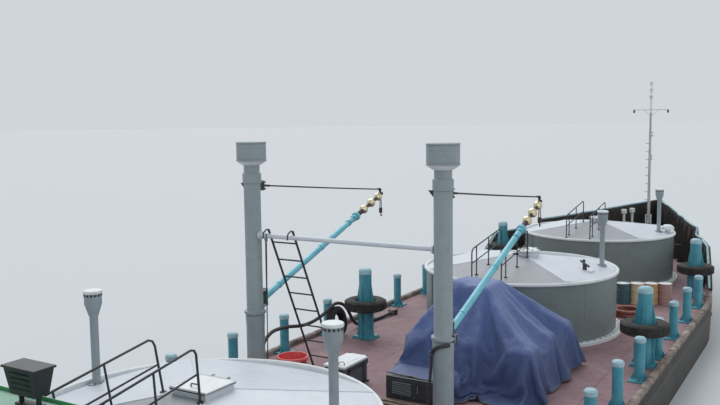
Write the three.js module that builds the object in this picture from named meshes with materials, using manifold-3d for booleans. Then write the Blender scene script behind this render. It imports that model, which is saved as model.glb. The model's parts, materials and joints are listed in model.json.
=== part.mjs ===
// A self-propelled river cleaning vessel: a flat-decked tank boat that takes waste water and oil
// off other ships through hose booms. Millimetres, +Y to the bow, +X to starboard, +Z up.
// The origin is the middle of the flat keel plane.
import * as THREE from 'three';
import { mergeVertices } from 'three/addons/utils/BufferGeometryUtils.js';
import Module from 'manifold-3d';

const wasm = await Module();
wasm.setup();

// Driving dimensions
const halfLength = 19800;
const deckZ = 2400;
const contactGap = 0.3;

const hullRows = [
  // y, half-breadth at the deck, half-breadth at the bottom, height of the bottom
  { y: -19800, deck: 3350, low: 3050, bottom: 1480 },
  { y: -19500, deck: 3640, low: 3340, bottom: 1450 },
  { y: -18600, deck: 3860, low: 3620, bottom: 1430 },
  { y: -17300, deck: 3950, low: 3760, bottom: 1360 },
  { y: -16300, deck: 3950, low: 3820, bottom: 1040 },
  { y: -15100, deck: 3950, low: 3860, bottom: 440 },
  { y: -13900, deck: 3950, low: 3890, bottom: 80 },
  { y: -12900, deck: 3950, low: 3900, bottom: 0 },
  { y: 6300, deck: 3950, low: 3900, bottom: 0 },
  { y: 7700, deck: 3840, low: 3740, bottom: 0 },
  { y: 9300, deck: 3530, low: 3320, bottom: 0 },
  { y: 10800, deck: 3140, low: 2760, bottom: 0 },
  { y: 12300, deck: 2680, low: 2120, bottom: 20 },
  { y: 13800, deck: 2180, low: 1480, bottom: 130 },
  { y: 15300, deck: 1660, low: 920, bottom: 400 },
  { y: 16800, deck: 1140, low: 490, bottom: 840 },
  { y: 18200, deck: 660, low: 220, bottom: 1370 },
  { y: 19200, deck: 320, low: 110, bottom: 1820 },
  { y: 19800, deck: 110, low: 60, bottom: 2150 },
];
const bilgeRadius = 320;
const bilgeSteps = 4;
const strake = { z: 2270, halfHeight: 70, root: 65, inset: 5, depth: 85, from: -17300, to: 6300 };

const bulwark = { from: 8300, full: 9500, step: 12000, low: 1200, high: 1420, stem: 1560, plate: 60 };
const forecastle = { from: 13500, to: 19300, height: 520, gap: 2 };

const pad = { half: 200, height: 20 };
const padPlaces = {
  midDeck: [0, -5200], aftDeck: [0, -19100], houseRoof: [2600, -15600], wheelRoof: [1200, -15000],
};

const foredeckVents = [{ x: -760, y: 16700 }, { x: -560, y: 17250 }];

const gunwale = { width: 140, height: 110, from: -18900, to: 8200 };
const sidePost = { x: 3670, radius: 100, height: 890, base: 190, plate: 30, sides: 8 };
const sidePostYs = [-11530, -9750, -7970, -6190, -4410, -2630, -850, 930, 2710, 4490, 6270];

const tank = {
  radius: 2345, rimRadius: 2400, rimZ: 1476, rimDepth: 60, flangeRadius: 2490, flangeHeight: 80, sides: 32,
  apex: 330, faceDrop: 396,
};
const tankRows = [
  {
    name: 'aft', y: -9480, square: true, coaming: 15, lidAt: [50, 40], vents: [[-2190, 250], [1960, 180]],
    railEnd: 2150, railLean: 1,
  },
  {
    name: 'middle', y: 2430, square: false, coaming: 70, lidAt: [220, 0], vents: [[1850, 790]],
    railEnd: 2050, railLean: 0,
  },
  {
    name: 'forward', y: 9830, square: false, coaming: 70, lidAt: [0, 0], vents: [[1870, 250]],
    railEnd: 2050, railLean: 0,
  },
];
const vent = { radius: 60, neckZ: 1180, headRadius: 135, topZ: 1450 };
const roofRails = [{ x: -430, start: 190, lean: -140 }, { x: 300, start: 300, lean: -50 }];
const roofRail = { stops: [1020, 1770], height: 690, radius: 19 };
const manhole = { radius: 245, lidRadius: 275, lidHeight: 42, hinge: 345, side: 300 };

const kingpost = {
  x: 1822, y: -5980, radius: 145, baseRadius: 160, sleeveRadius: 162, collarRadius: 188,
  collarZ: 1840, collarHeight: 70, sleeveZ: 4140, neckZ: 4310, coneZ: 4450, headZ: 4530, headRadius: 256,
  lipRadius: 264, topZ: 4850, flangeRadius: 320, flangeHeight: 40, sides: 16,
};
const crossbar = { z: 3230, radius: 40, sides: 10 };
const boomPin = {
  forward: 300, lowZ: 1880, highZ: 2120, liftZ: 4070, liftHalf: 48, plate: 14, halfWidth: 55, hubRadius: 46,
};
const boom = { radius: 57, length: 3360, sides: 12 };
const boomSides = [
  // rise over run, and how far the hub stands above its usual height
  { name: 'port', side: -1, rise: 0.35, lift: 70 }, { name: 'starboard', side: 1, rise: 0.382, lift: -70 },
];
const couplingBands = [
  // distance from the boom's end, distance to, radius
  [0, 30, 89], [20, 250, 60], [240, 430, 92], [420, 580, 58], [570, 760, 92], [750, 900, 58], [890, 1080, 88],
  [1070, 1150, 45],
];
const couplingEye = { distance: 1120, rise: 110, radius: 42, half: 14, lug: 24 };
const pendant = { distance: 1110, radius: 18, length: 430, block: 40, blockLength: 130 };
const lift = { radius: 16, eyeRadius: 34 };

const ladder = { x: -1244, halfWidth: 255, railRadius: 20, rungRadius: 14, rungs: 10, footY: -4478 };
const hatch = {
  x0: -1475, x1: -1030, y0: -4320, y1: -3470, height: 470, lid: 50, overhang: 25,
  wall: 40, floor: 60, hinge: 55,
};
const tub = { x: -2620, y: -3780, radius: 320, bottomRadius: 250, height: 385, wall: 14 };
const tarp = { x: 870, y: -1930, sides: 24, squareness: 3.2, wave: 0.02, waves: 7 };
const tarpRows = [
  // height, half width, half depth, shift of the middle in x
  { z: 0, halfX: 1560, halfY: 1560, shift: 0 }, { z: 420, halfX: 1490, halfY: 1480, shift: 0 },
  { z: 850, halfX: 1390, halfY: 1360, shift: 0 }, { z: 1400, halfX: 880, halfY: 860, shift: -80 },
  { z: 1850, halfX: 500, halfY: 480, shift: -150 }, { z: 2020, halfX: 300, halfY: 280, shift: -170 },
];
const pumpBox = { x0: -250, x1: 950, y0: -4100, y1: -3450, height: 450, frame: 40, proud: 12, edge: 60 };
const leaningTyre = { outer: 360, inner: 190, width: 200, shoulder: 60, x: -3408, y: -850, lean: 12 };

const bitt = {
  postRadius: 150, height: 1690, base: 420, foot: 60, gusset: 262, tyreZ: 680, upper: 222, gussetTop: 1560,
  plate: 12, sides: 12,
};
const bittRows = [
  { name: 'port', x: -2720, y: -650 },
  { name: 'starboard', x: 3530, y: 230 },
  { name: 'bow_port', x: -2980, y: 9000 },
  { name: 'bow_starboard', x: 3370, y: 7650 },
];
const tyre = { outer: 500, inner: 235, width: 270, shoulder: 70 };

const drum = {
  radius: 190, height: 580, hoop: 7, foot: 20, count: 4, x: 1770, y: 5870, pitch: 378, heading: 25.4,
};

const mast = { y: 17670, footZ: 560, radius: 60, topRadius: 34, topZ: 6560, armZ: 5430, armHalf: 690 };
const tabernacle = { y: 17670, cheek: 90, cheekX: 97.5, plate: 12.5 };
const windlass = { y: 15800, x: 620, z: 330, drumRadius: 170 };

// Hoses and rope: routes are x, y and the height above the deck
const suctionHose = {
  radius: 40, stub: 58, exit: [-3050, -4300, 250], chest: [-3262, 1600],
  route: [
    [-3050, -4300, 250], [-3050, -4300, 340], [-3062, -4255, 480], [-3095, -4160, 605], [-3170, -3960, 700],
    [-3300, -3560, 745], [-3420, -3100, 700], [-3526, -2640, 620], [-3500, -2280, 560], [-3475, -1900, 545],
    [-3460, -1480, 605], [-3450, -1130, 715], [-3448, -850, 788], [-3430, -590, 735], [-3415, -400, 600],
    [-3405, -270, 430], [-3400, -160, 265], [-3396, 0, 125], [-3385, 190, 58], [-3360, 450, 42],
    [-3320, 800, 42], [-3280, 1150, 48], [-3262, 1380, 60], [-3262, 1599.7, 60],
  ],
};
const kingpostHose = {
  radius: 22, pipe: 30, bendRadius: 192, elbowZ: 1700, startZ: 1620, elbowTurns: [-40, -90, -135],
  socket: [-152, -200, 130],
  route: [
    [1686.2, -6115.8, 1619.7], [1686.2, -6115.8, 1500], [1674, -6134, 1300], [1658, -6152, 1050],
    [1650, -6168, 800], [1652, -6178, 550], [1662, -6180, 350], [1670, -6180, 230], [1670, -6180, 130.3],
  ],
};
const mooringRope = {
  radius: 20,
  route: [
    [860, -4112.3, 90], [860, -4160, 90], [842, -4210, 50], [780, -4264, 22], [640, -4290, 20.3],
    [420, -4274, 20.3], [180, -4300, 20.3], [-60, -4282, 20.3], [-290, -4300, 20.3], [-420, -4340, 20.3],
    [-460, -4410, 20.3], [-400, -4466, 20.3], [-240, -4478, 20.3], [0, -4450, 20.3], [240, -4478, 20.3],
    [480, -4458, 20.3], [690, -4480, 20.3], [800, -4540, 20.3], [800, -4620, 20.3], [690, -4664, 20.3],
    [440, -4640, 20.3], [180, -4670, 20.3], [-80, -4642, 20.3], [-310, -4664, 20.3], [-430, -4712, 20.3],
    [-440, -4800, 20.3], [-330, -4850, 20.3], [-100, -4836, 20.3], [140, -4862, 20.3], [380, -4838, 20.3],
    [600, -4866, 20.3],
  ],
};
const washHoseCoil = { x: 2200, y: 4560, inner: 270, outer: 405, height: 180 };

const house = { halfX: 3000, aftY: -18200, foreY: -13100, height: 2750, wall: 80 };
const houseRoof = { overhang: 300, thickness: 140 };
const wheelhouse = { halfX: 1800, aftY: -16900, foreY: -14000, height: 2050, wall: 70 };
const wheelRoof = { overhang: 240, thickness: 110 };
const door = {
  width: 720, height: 1880, sill: 180, gap: 8, thick: 45, pinInset: 4, pinProud: 10, pinRadius: 14,
  handleReach: 640, handleRadius: 12,
};
const strap = { reach: 74, half: 7, height: 40, root: 14 };
const signalMast = { y: -16300, height: 2700, radius: 55, armZ: 1700, armHalf: 800 };
const funnel = { x: 0, y: -17650, halfX: 480, halfY: 330, height: 1250, pipe: 120 };
const floodlight = {
  x: 1310, y: -12935, top: [195, 100], bottom: [150, 75], lowZ: 100, highZ: 330, lip: 16,
  leg: 12, legX: 110, foot: 18,
};

const shaft = { x: 1450, z: 690, tubeRadius: 130, tubeEnd: -17450 };
const propeller = { hubRadius: 110, hubLength: 340, bladeRadius: 560, blades: 4 };
const rudder = {
  y: -18350, chordFore: 260, chordAft: 720, low: 130, high: 1180, thick: 90, stock: 55, trunk: 1280,
};

const finish = {
  deckPaint: new THREE.MeshStandardMaterial({ color: 0x6e5357, roughness: 0.85, metalness: 0 }),
  hullPaint: new THREE.MeshStandardMaterial({ color: 0x34383a, roughness: 0.7, metalness: 0 }),
  greyPaint: new THREE.MeshStandardMaterial({ color: 0x7f888a, roughness: 0.5, metalness: 0 }),
  tankPaint: new THREE.MeshStandardMaterial({ color: 0x6b7474, roughness: 0.5, metalness: 0 }),
  lidPaint: new THREE.MeshStandardMaterial({ color: 0xc8ced6, roughness: 0.4, metalness: 0 }),
  bluePaint: new THREE.MeshStandardMaterial({ color: 0x4b93a3, roughness: 0.5, metalness: 0 }),
  boomPaint: new THREE.MeshStandardMaterial({ color: 0x6cb4c4, roughness: 0.45, metalness: 0 }),
  whitePaint: new THREE.MeshStandardMaterial({ color: 0xd8dce0, roughness: 0.45, metalness: 0 }),
  greenPaint: new THREE.MeshStandardMaterial({ color: 0x9cc7a6, roughness: 0.6, metalness: 0 }),
  darkSteel: new THREE.MeshStandardMaterial({ color: 0x2b2f36, roughness: 0.6, metalness: 0.3 }),
  brass: new THREE.MeshStandardMaterial({ color: 0xb89a4a, roughness: 0.4, metalness: 0.8 }),
  bronze: new THREE.MeshStandardMaterial({ color: 0x9c7a45, roughness: 0.4, metalness: 0.9 }),
  rubber: new THREE.MeshStandardMaterial({ color: 0x2a2828, roughness: 0.9, metalness: 0 }),
  redPlastic: new THREE.MeshStandardMaterial({ color: 0xd8464a, roughness: 0.5, metalness: 0 }),
  blueCloth: new THREE.MeshStandardMaterial({ color: 0x4a5f96, roughness: 0.8, metalness: 0 }),
  drumPaint: new THREE.MeshStandardMaterial({ color: 0xb7a98a, roughness: 0.6, metalness: 0 }),
};

// Solids and joins
function solid(geometry) {
  const bare = geometry.index ? geometry.toNonIndexed() : geometry.clone();
  bare.deleteAttribute('normal');
  bare.deleteAttribute('uv');
  const merged = mergeVertices(bare, 1e-3);
  return new wasm.Manifold(new wasm.Mesh({
    numProp: 3,
    vertProperties: new Float32Array(merged.attributes.position.array),
    triVerts: new Uint32Array(merged.index.array),
  }));
}

function geometryOf(body) {
  const mesh = body.getMesh();
  const geometry = new THREE.BufferGeometry();
  geometry.setAttribute('position', new THREE.BufferAttribute(new Float32Array(mesh.vertProperties), 3));
  geometry.setIndex(new THREE.BufferAttribute(new Uint32Array(mesh.triVerts), 1));
  geometry.computeVertexNormals();
  return geometry;
}

const join = (...pieces) => pieces.map(solid).reduce((whole, piece) => whole.add(piece));
const joinTo = (body, ...pieces) => pieces.map(solid).reduce((whole, piece) => whole.add(piece), body);
const cutAway = (body, ...pieces) => pieces.map(solid).reduce((rest, piece) => rest.subtract(piece), body);

function box(x0, x1, y0, y1, z0, z1) {
  const shape = new THREE.BoxGeometry(x1 - x0, y1 - y0, z1 - z0);
  return shape.translate((x0 + x1) / 2, (y0 + y1) / 2, (z0 + z1) / 2);
}

// A round bar or cone from one point to another
function bar(from, to, radius, sides = 8, endRadius = radius) {
  const start = new THREE.Vector3(...from);
  const along = new THREE.Vector3(...to).sub(start);
  const shape = new THREE.CylinderGeometry(endRadius, radius, along.length(), sides);
  shape.translate(0, along.length() / 2, 0);
  const turn = new THREE.Quaternion().setFromUnitVectors(new THREE.Vector3(0, 1, 0), along.normalize());
  return shape.applyQuaternion(turn).translate(start.x, start.y, start.z);
}

// A plate of some thickness across Y, from [x, z] corners
function plateAcross(corners, thickness) {
  const shape = new THREE.Shape(corners.map(([x, z]) => new THREE.Vector2(x, z)));
  const plate = new THREE.ExtrudeGeometry(shape, { depth: thickness, bevelEnabled: false });
  return plate.rotateX(Math.PI / 2).translate(0, thickness / 2, 0);
}

// A turned solid about the Z axis; its [radius, z] pairs start and end on the axis, or at the same point
function turned(profile, sides) {
  const points = profile.map(([radius, z]) => new THREE.Vector2(radius, z));
  return new THREE.LatheGeometry(points, sides).rotateX(Math.PI / 2);
}

// A solid through rings of points that all have the same number of points
function loft(rings) {
  const count = rings[0].length;
  const positions = rings.flat().flatMap((point) => [point[0], point[1], point[2]]);
  const faces = [];
  for (let ring = 0; ring + 1 < rings.length; ring += 1) {
    for (let i = 0; i < count; i += 1) {
      const a = ring * count + i;
      const b = ring * count + ((i + 1) % count);
      faces.push(a, b, a + count, b, b + count, a + count);
    }
  }
  const last = (rings.length - 1) * count;
  for (let i = 1; i + 1 < count; i += 1) {
    faces.push(0, i + 1, i, last, last + i, last + i + 1);
  }
  const geometry = new THREE.BufferGeometry();
  geometry.setAttribute('position', new THREE.Float32BufferAttribute(positions, 3));
  geometry.setIndex(faces);
  return geometry;
}

function rightWayOut(geometry) {
  const body = solid(geometry);
  if (body.volume() > 0) return geometry;
  const order = geometry.index.array;
  for (let i = 0; i < order.length; i += 3) {
    [order[i], order[i + 1]] = [order[i + 1], order[i]];
  }
  return geometry;
}

function mirrored(geometry) {
  const copy = geometry.clone().scale(-1, 1, 1);
  const order = copy.index.array;
  for (let i = 0; i < order.length; i += 3) {
    [order[i], order[i + 1]] = [order[i + 1], order[i]];
  }
  return copy;
}

// One smooth value of the hull table at y
function hullAt(y, column) {
  const last = hullRows.length - 1;
  const i = Math.min(last - 1, Math.max(0, hullRows.findIndex((row) => row.y > y) - 1));
  const row = (k) => hullRows[Math.min(last, Math.max(0, k))];
  if (y >= hullRows[last].y) return hullRows[last][column];
  const [p0, p1, p2, p3] = [row(i - 1), row(i), row(i + 1), row(i + 2)];
  const flat = p1[column] === p2[column];
  if (flat) return p1[column];
  const span = p2.y - p1.y;
  const t = (y - p1.y) / span;
  const slope = (a, b) => (b.y === a.y ? 0 : (b[column] - a[column]) / (b.y - a.y));
  const startSlope = p0[column] === p1[column] ? 0 : slope(p0, p2);
  const endSlope = p3[column] === p2[column] ? 0 : slope(p1, p3);
  const [t2, t3] = [t * t, t * t * t];
  return (2 * t3 - 3 * t2 + 1) * p1[column] + (t3 - 2 * t2 + t) * span * startSlope
    + (3 * t2 - 2 * t3) * p2[column] + (t3 - t2) * span * endSlope;
}

const root = new THREE.Group();
const onDeck = new THREE.Group();
onDeck.position.z = deckZ;
root.add(onDeck);

// A raised doubler pad whose flat top takes a mount
function padAt([x, y], z) {
  return box(x - pad.half, x + pad.half, y - pad.half, y + pad.half, z - pad.height, z + pad.height);
}

function addMesh(parent, name, body, material, at = [0, 0, 0], turn = [0, 0, 0]) {
  const mesh = new THREE.Mesh(body.isBufferGeometry ? body : geometryOf(body), material);
  mesh.name = name;
  mesh.position.set(...at);
  mesh.rotation.set(...turn);
  parent.add(mesh);
  return mesh;
}

function stations(from, to, step) {
  const count = Math.ceil((to - from) / step);
  return Array.from({ length: count + 1 }, (_, i) => from + ((to - from) * i) / count);
}

// Hull: flat bottom, round bilges, raked bow and a stern that rises over the propellers
function hullSection(y) {
  const deck = hullAt(y, 'deck');
  const low = hullAt(y, 'low');
  const bottom = hullAt(y, 'bottom');
  const radius = Math.min(bilgeRadius, (deckZ - bottom) * 0.35, low * 0.8);
  const half = [[low - radius, bottom]];
  for (let step = 1; step <= bilgeSteps; step += 1) {
    const angle = (Math.PI / 2) * (step / bilgeSteps);
    half.push([low - radius + radius * Math.sin(angle), bottom + radius * (1 - Math.cos(angle))]);
  }
  half.push([deck, deckZ]);
  const starboard = half.map(([x, z]) => [x, y, z]);
  const port = half.map(([x, z]) => [-x, y, z]).reverse();
  return [...starboard, ...port];
}

function makeHull() {
  const ys = [...stations(-halfLength, -12900, 600), ...stations(6300, halfLength, 600)];
  const shell = rightWayOut(loft(ys.map(hullSection)));
  const strakes = [1, -1].map((side) => {
    const section = (y) => {
      const x = hullAt(y, 'deck') - strake.inset;
      const inside = x - strake.root;
      const rows = [
        [inside, -1], [x, -1], [x + strake.depth, -0.5], [x + strake.depth, 0.5], [x, 1], [inside, 1],
      ];
      return rows.map(([px, k]) => [side * px, y, strake.z + k * strake.halfHeight]);
    };
    return rightWayOut(loft([strake.from, strake.to].map(section)));
  });
  const bossings = [1, -1].map((side) => bar(
    [side * shaft.x, -13600, shaft.z], [side * shaft.x, shaft.tubeEnd, shaft.z], shaft.tubeRadius, 12,
  ));
  const struts = [1, -1].map((side) => box(
    side * shaft.x - 35, side * shaft.x + 35, shaft.tubeEnd + 60, shaft.tubeEnd + 420, shaft.z, 1600,
  ));
  const trunks = [1, -1].map((side) => bar(
    [side * shaft.x, rudder.y, rudder.trunk], [side * shaft.x, rudder.y, 1700], rudder.stock * 2, 12,
  ));
  const [exitX, exitY, exitZ] = suctionHose.exit;
  const [chestX, chestY] = suctionHose.chest;
  const fittings = [
    bar([exitX, exitY, deckZ - 40], [exitX, exitY, deckZ + exitZ - contactGap], suctionHose.stub, 10),
    box(chestX - 90, chestX + 90, chestY, chestY + 200, deckZ - 40, deckZ + 140),
    padAt(padPlaces.midDeck, deckZ), padAt(padPlaces.aftDeck, deckZ),
  ];
  const pieces = [shell, ...strakes, ...bossings, ...struts, ...trunks, ...fittings];
  addMesh(root, 'hull', join(...pieces), finish.hullPaint);
}

// Bulwark round the bow, in two halves that meet at the stem
function bulwarkTop(y) {
  if (y < bulwark.full) {
    return 150 + (bulwark.low - 150) * ((y - bulwark.from) / (bulwark.full - bulwark.from));
  }
  if (y < bulwark.step) return bulwark.low;
  const forward = (y - bulwark.step) / (halfLength - bulwark.step);
  return bulwark.high + (bulwark.stem - bulwark.high) * forward ** 2;
}

const bowYs = [
  ...stations(bulwark.from, bulwark.full, 600), ...stations(bulwark.full + 500, bulwark.step - 1, 650),
  bulwark.step + 120, ...stations(bulwark.step + 800, halfLength, 650),
];

function makeBulwarks() {
  const section = (y) => {
    const outer = hullAt(y, 'deck');
    const inner = y > halfLength - 1 ? 0 : Math.max(0, outer - bulwark.plate);
    const top = bulwarkTop(y);
    return [[outer, y, 0], [outer + 20, y, top], [Math.max(0, inner + 20), y, top], [inner, y, 0]];
  };
  const plate = rightWayOut(loft(bowYs.map(section)));
  addMesh(onDeck, 'bulwark_starboard', solid(plate), finish.hullPaint);
  addMesh(onDeck, 'bulwark_port', solid(mirrored(plate)), finish.hullPaint);
}

function makeForecastle() {
  const section = (y) => {
    const half = hullAt(y, 'deck') - bulwark.plate - forecastle.gap;
    return [[half, y, 0], [half, y, forecastle.height], [-half, y, forecastle.height], [-half, y, 0]];
  };
  const ys = bowYs.filter((y) => y > forecastle.from && y < forecastle.to);
  const platform = rightWayOut(loft(ys.map(section)));
  const vents = foredeckVents.map(({ x, y }) => bar([x, y, 500], [x, y, 1300], 55));
  const caps = foredeckVents.map(({ x, y }) => bar([x, y, 1250], [x, y, 1420], 110, 10));
  const { y, cheek, cheekX, plate } = tabernacle;
  const [floor, high] = [forecastle.height, forecastle.height + mast.footZ + 70];
  const step = [
    box(-180, 180, y - 160, y + 160, floor - 20, floor + 30),
    ...[-1, 1].map((side) => box(
      side * cheekX - plate, side * cheekX + plate, y - cheek, y + cheek, floor, high,
    )),
  ];
  addMesh(onDeck, 'forecastle', join(platform, ...vents, ...caps, ...step), finish.deckPaint);
}

// Low kerb along each deck edge with its row of short mooring posts
function makeGunwales() {
  const ys = [...stations(gunwale.from, -17300, 550), ...stations(6300, gunwale.to, 500)];
  const section = (y) => {
    const outer = hullAt(y, 'deck');
    const inner = outer - gunwale.width;
    return [[outer, y, 0], [outer, y, gunwale.height], [inner, y, gunwale.height], [inner, y, 0]];
  };
  const kerb = solid(rightWayOut(loft(ys.map(section))));
  const { x, base, plate, radius, height, sides } = sidePost;
  const posts = sidePostYs.map((y) => join(
    box(x - base, x + base - 20, y - base, y + base, 0, plate), bar([x, y, 0], [x, y, height], radius, sides),
  ));
  const whole = posts.reduce((sum, post) => sum.add(post), kerb);
  addMesh(onDeck, 'gunwale_starboard', whole, finish.bluePaint);
  addMesh(onDeck, 'gunwale_port', geometryOf(whole.mirror([1, 0, 0])), finish.bluePaint);
}

// Tanks: a round wall, a lipped rim and a roof of four flat plates that rise to a manhole
function roofZ(x, y) {
  return tank.rimZ + tank.apex - (tank.faceDrop * Math.max(Math.abs(x), Math.abs(y))) / tank.radius;
}

function roofPlates() {
  const reach = tank.radius + 200;
  const low = roofZ(reach, reach);
  const pyramid = new THREE.ConeGeometry(reach * Math.SQRT2, tank.rimZ + tank.apex - low, 4);
  pyramid.rotateX(Math.PI / 2).rotateZ(Math.PI / 4);
  pyramid.translate(0, 0, (tank.rimZ + tank.apex + low) / 2);
  const plates = solid(pyramid).add(solid(box(-reach, reach, -reach, reach, 400, low + 1)));
  return plates.intersect(solid(bar([0, 0, 0], [0, 0, 3000], tank.radius, tank.sides)));
}

function ventPipe(x, y) {
  const foot = roofZ(x, y) - 60;
  const { radius, neckZ, headRadius, topZ } = vent;
  return turned([
    [0, 0], [radius + 60, 0], [radius + 60, 80], [radius, 80], [radius, neckZ - 120],
    [headRadius - 10, neckZ + 60], [headRadius, topZ - 30], [headRadius * 0.6, topZ], [0, topZ],
  ], 10).translate(x, y, foot);
}

function roofRailing({ x, start, lean }, { railEnd, railLean }) {
  const { stops, height, radius } = roofRail;
  const ys = [start, ...stops, railEnd].map((y) => -y);
  const above = (y, rise) => [x + (railLean * lean * rise) / height, y, roofZ(x, y) + rise];
  const post = (y) => bar(above(y, -30), above(y, height), radius, 4);
  const rail = (rise) => bar(above(-start, rise), above(-railEnd, rise), radius, 4);
  return [...ys.map(post), rail(height - 10), rail(height * 0.52)];
}

function makeTank(row) {
  const wall = turned([
    [0, 0], [tank.flangeRadius, 0], [tank.flangeRadius, tank.flangeHeight], [tank.radius, tank.flangeHeight],
    [tank.radius, tank.rimZ - tank.rimDepth], [tank.rimRadius, tank.rimZ - tank.rimDepth],
    [tank.rimRadius, tank.rimZ + 8], [tank.radius - 12, tank.rimZ + 8], [tank.radius - 12, 900], [0, 900],
  ], tank.sides);
  const top = tank.rimZ + tank.apex + row.coaming;
  const [lidX, lidY] = row.lidAt;
  const side = manhole.side - 20;
  const coaming = row.square
    ? box(-side, side, -side, side, top - 200, top)
    : bar([0, 0, top - 200], [0, 0, top], manhole.radius, 16);
  const lugs = [-1, 1].flatMap((k) => [
    box(k * 130 - 15, k * 130 + 15, manhole.radius - 60, manhole.hinge + 25, top - 190, top - 6),
    box(k * 130 - 15, k * 130 + 15, manhole.side + 12, manhole.hinge + 25, top - 10, top + 45),
  ]);
  const vents = row.vents.map(([x, y]) => ventPipe(x, y));
  const rails = roofRails.flatMap((rail) => roofRailing(rail, row));
  const neck = join(coaming, ...lugs).translate(lidX, lidY, 0);
  const body = joinTo(solid(wall).add(roofPlates()), ...vents, ...rails).add(neck);
  const group = new THREE.Group();
  group.position.set(0, row.y, 0);
  onDeck.add(group);
  addMesh(group, `tank_${row.name}`, body, finish.tankPaint);

  const lidZ = top + contactGap;
  const plate = row.square
    ? box(-manhole.side, manhole.side, -manhole.side, manhole.side, lidZ, lidZ + manhole.lidHeight)
    : turned([[0, 0], [manhole.lidRadius, 0], [manhole.lidRadius, manhole.lidHeight - 12],
      [manhole.lidRadius - 30, manhole.lidHeight], [0, manhole.lidHeight]], 16).translate(0, 0, lidZ);
  const arm = box(-100, 100, manhole.radius - 80, manhole.hinge, lidZ + 4, lidZ + manhole.lidHeight - 12);
  const barrel = bar([-114.5, manhole.hinge, lidZ + 20], [114.5, manhole.hinge, lidZ + 20], 18, 12);
  const grip = bar([-70, -150, lidZ + 75], [70, -150, lidZ + 75], 12, 8);
  const feet = [-70, 70].map((x) => bar([x, -150, lidZ + 20], [x, -150, lidZ + 82], 12, 8));
  const lid = join(plate, arm, barrel, grip, ...feet).translate(lidX, lidY, 0);
  addMesh(group, `lid_${row.name}`, lid, finish.lidPaint);
}

// Kingposts with drum heads on shallow cones, and the brackets that carry the booms
function makeKingposts() {
  const column = turned([
    [0, 0], [kingpost.flangeRadius, 0], [kingpost.flangeRadius, kingpost.flangeHeight],
    [kingpost.baseRadius, kingpost.flangeHeight], [kingpost.baseRadius, kingpost.collarZ - 20],
    [kingpost.collarRadius, kingpost.collarZ], [kingpost.collarRadius, kingpost.collarZ + 50],
    [kingpost.radius, kingpost.collarZ + kingpost.collarHeight], [kingpost.radius, kingpost.sleeveZ],
    [kingpost.sleeveRadius, kingpost.sleeveZ + 15], [kingpost.sleeveRadius, kingpost.neckZ],
    [kingpost.radius - 5, kingpost.neckZ + 20], [kingpost.radius - 5, kingpost.coneZ],
    [kingpost.lipRadius, kingpost.headZ], [kingpost.lipRadius, kingpost.headZ + 20],
    [kingpost.headRadius, kingpost.headZ + 25], [kingpost.headRadius, kingpost.topZ - 20],
    [kingpost.headRadius * 0.8, kingpost.topZ], [0, kingpost.topZ],
  ], kingpost.sides);
  const { lowZ, highZ, liftZ, liftHalf, plate, halfWidth, forward } = boomPin;
  const plateAt = (z) => box(-halfWidth, halfWidth, 60, forward + 50, z - plate, z + plate);
  const [body, starboardPost] = boomSides.map((row) => join(
    column,
    ...[lowZ - plate, highZ + plate].map((z) => plateAt(z + row.lift)),
    ...[liftZ - liftHalf - plate, liftZ + liftHalf + plate].map(plateAt),
  ));
  const { bendRadius, startZ, elbowZ, elbowTurns, pipe, socket } = kingpostHose;
  const turn = elbowTurns.map((degrees) => {
    const angle = (degrees * Math.PI) / 180;
    return [bendRadius * Math.cos(angle), bendRadius * Math.sin(angle), elbowZ];
  });
  const last = turn[turn.length - 1];
  const elbow = [
    ...turn.slice(1).map((to, i) => bar(turn[i], to, pipe, 8)),
    bar([last[0], last[1], elbowZ + pipe], [last[0], last[1], startZ], pipe, 8),
    bar([socket[0], socket[1], 20], [socket[0], socket[1], socket[2]], pipe, 8),
  ];
  const starboardBody = joinTo(starboardPost, ...elbow);
  for (const [side, name, post] of [[-1, 'port', body], [1, 'starboard', starboardBody]]) {
    addMesh(onDeck, `kingpost_${name}`, post, finish.greyPaint, [side * kingpost.x, kingpost.y, 0]);
  }
  const { z, radius, sides } = crossbar;
  const rail = solid(bar([-kingpost.x, 0, z], [kingpost.x, 0, z], radius, sides));
  const posts = [-1, 1].map((side) => bar(
    [side * kingpost.x, 0, 2000], [side * kingpost.x, 0, 4000], kingpost.radius + contactGap, kingpost.sides,
  ));
  addMesh(onDeck, 'kingpost_crossbar', cutAway(rail, ...posts), finish.greyPaint, [0, kingpost.y, 0]);
}

// Hose booms: a pipe on a slewing hub, its end coupling, and the topping lift that turns with it
function makeBooms() {
  for (const { name, side, rise, lift: raised } of boomSides) {
    const group = new THREE.Group();
    group.position.set(side * kingpost.x, kingpost.y + boomPin.forward, 0);
    onDeck.add(group);
    addBoom(group, name, Math.atan(rise), raised);
  }
}

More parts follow.
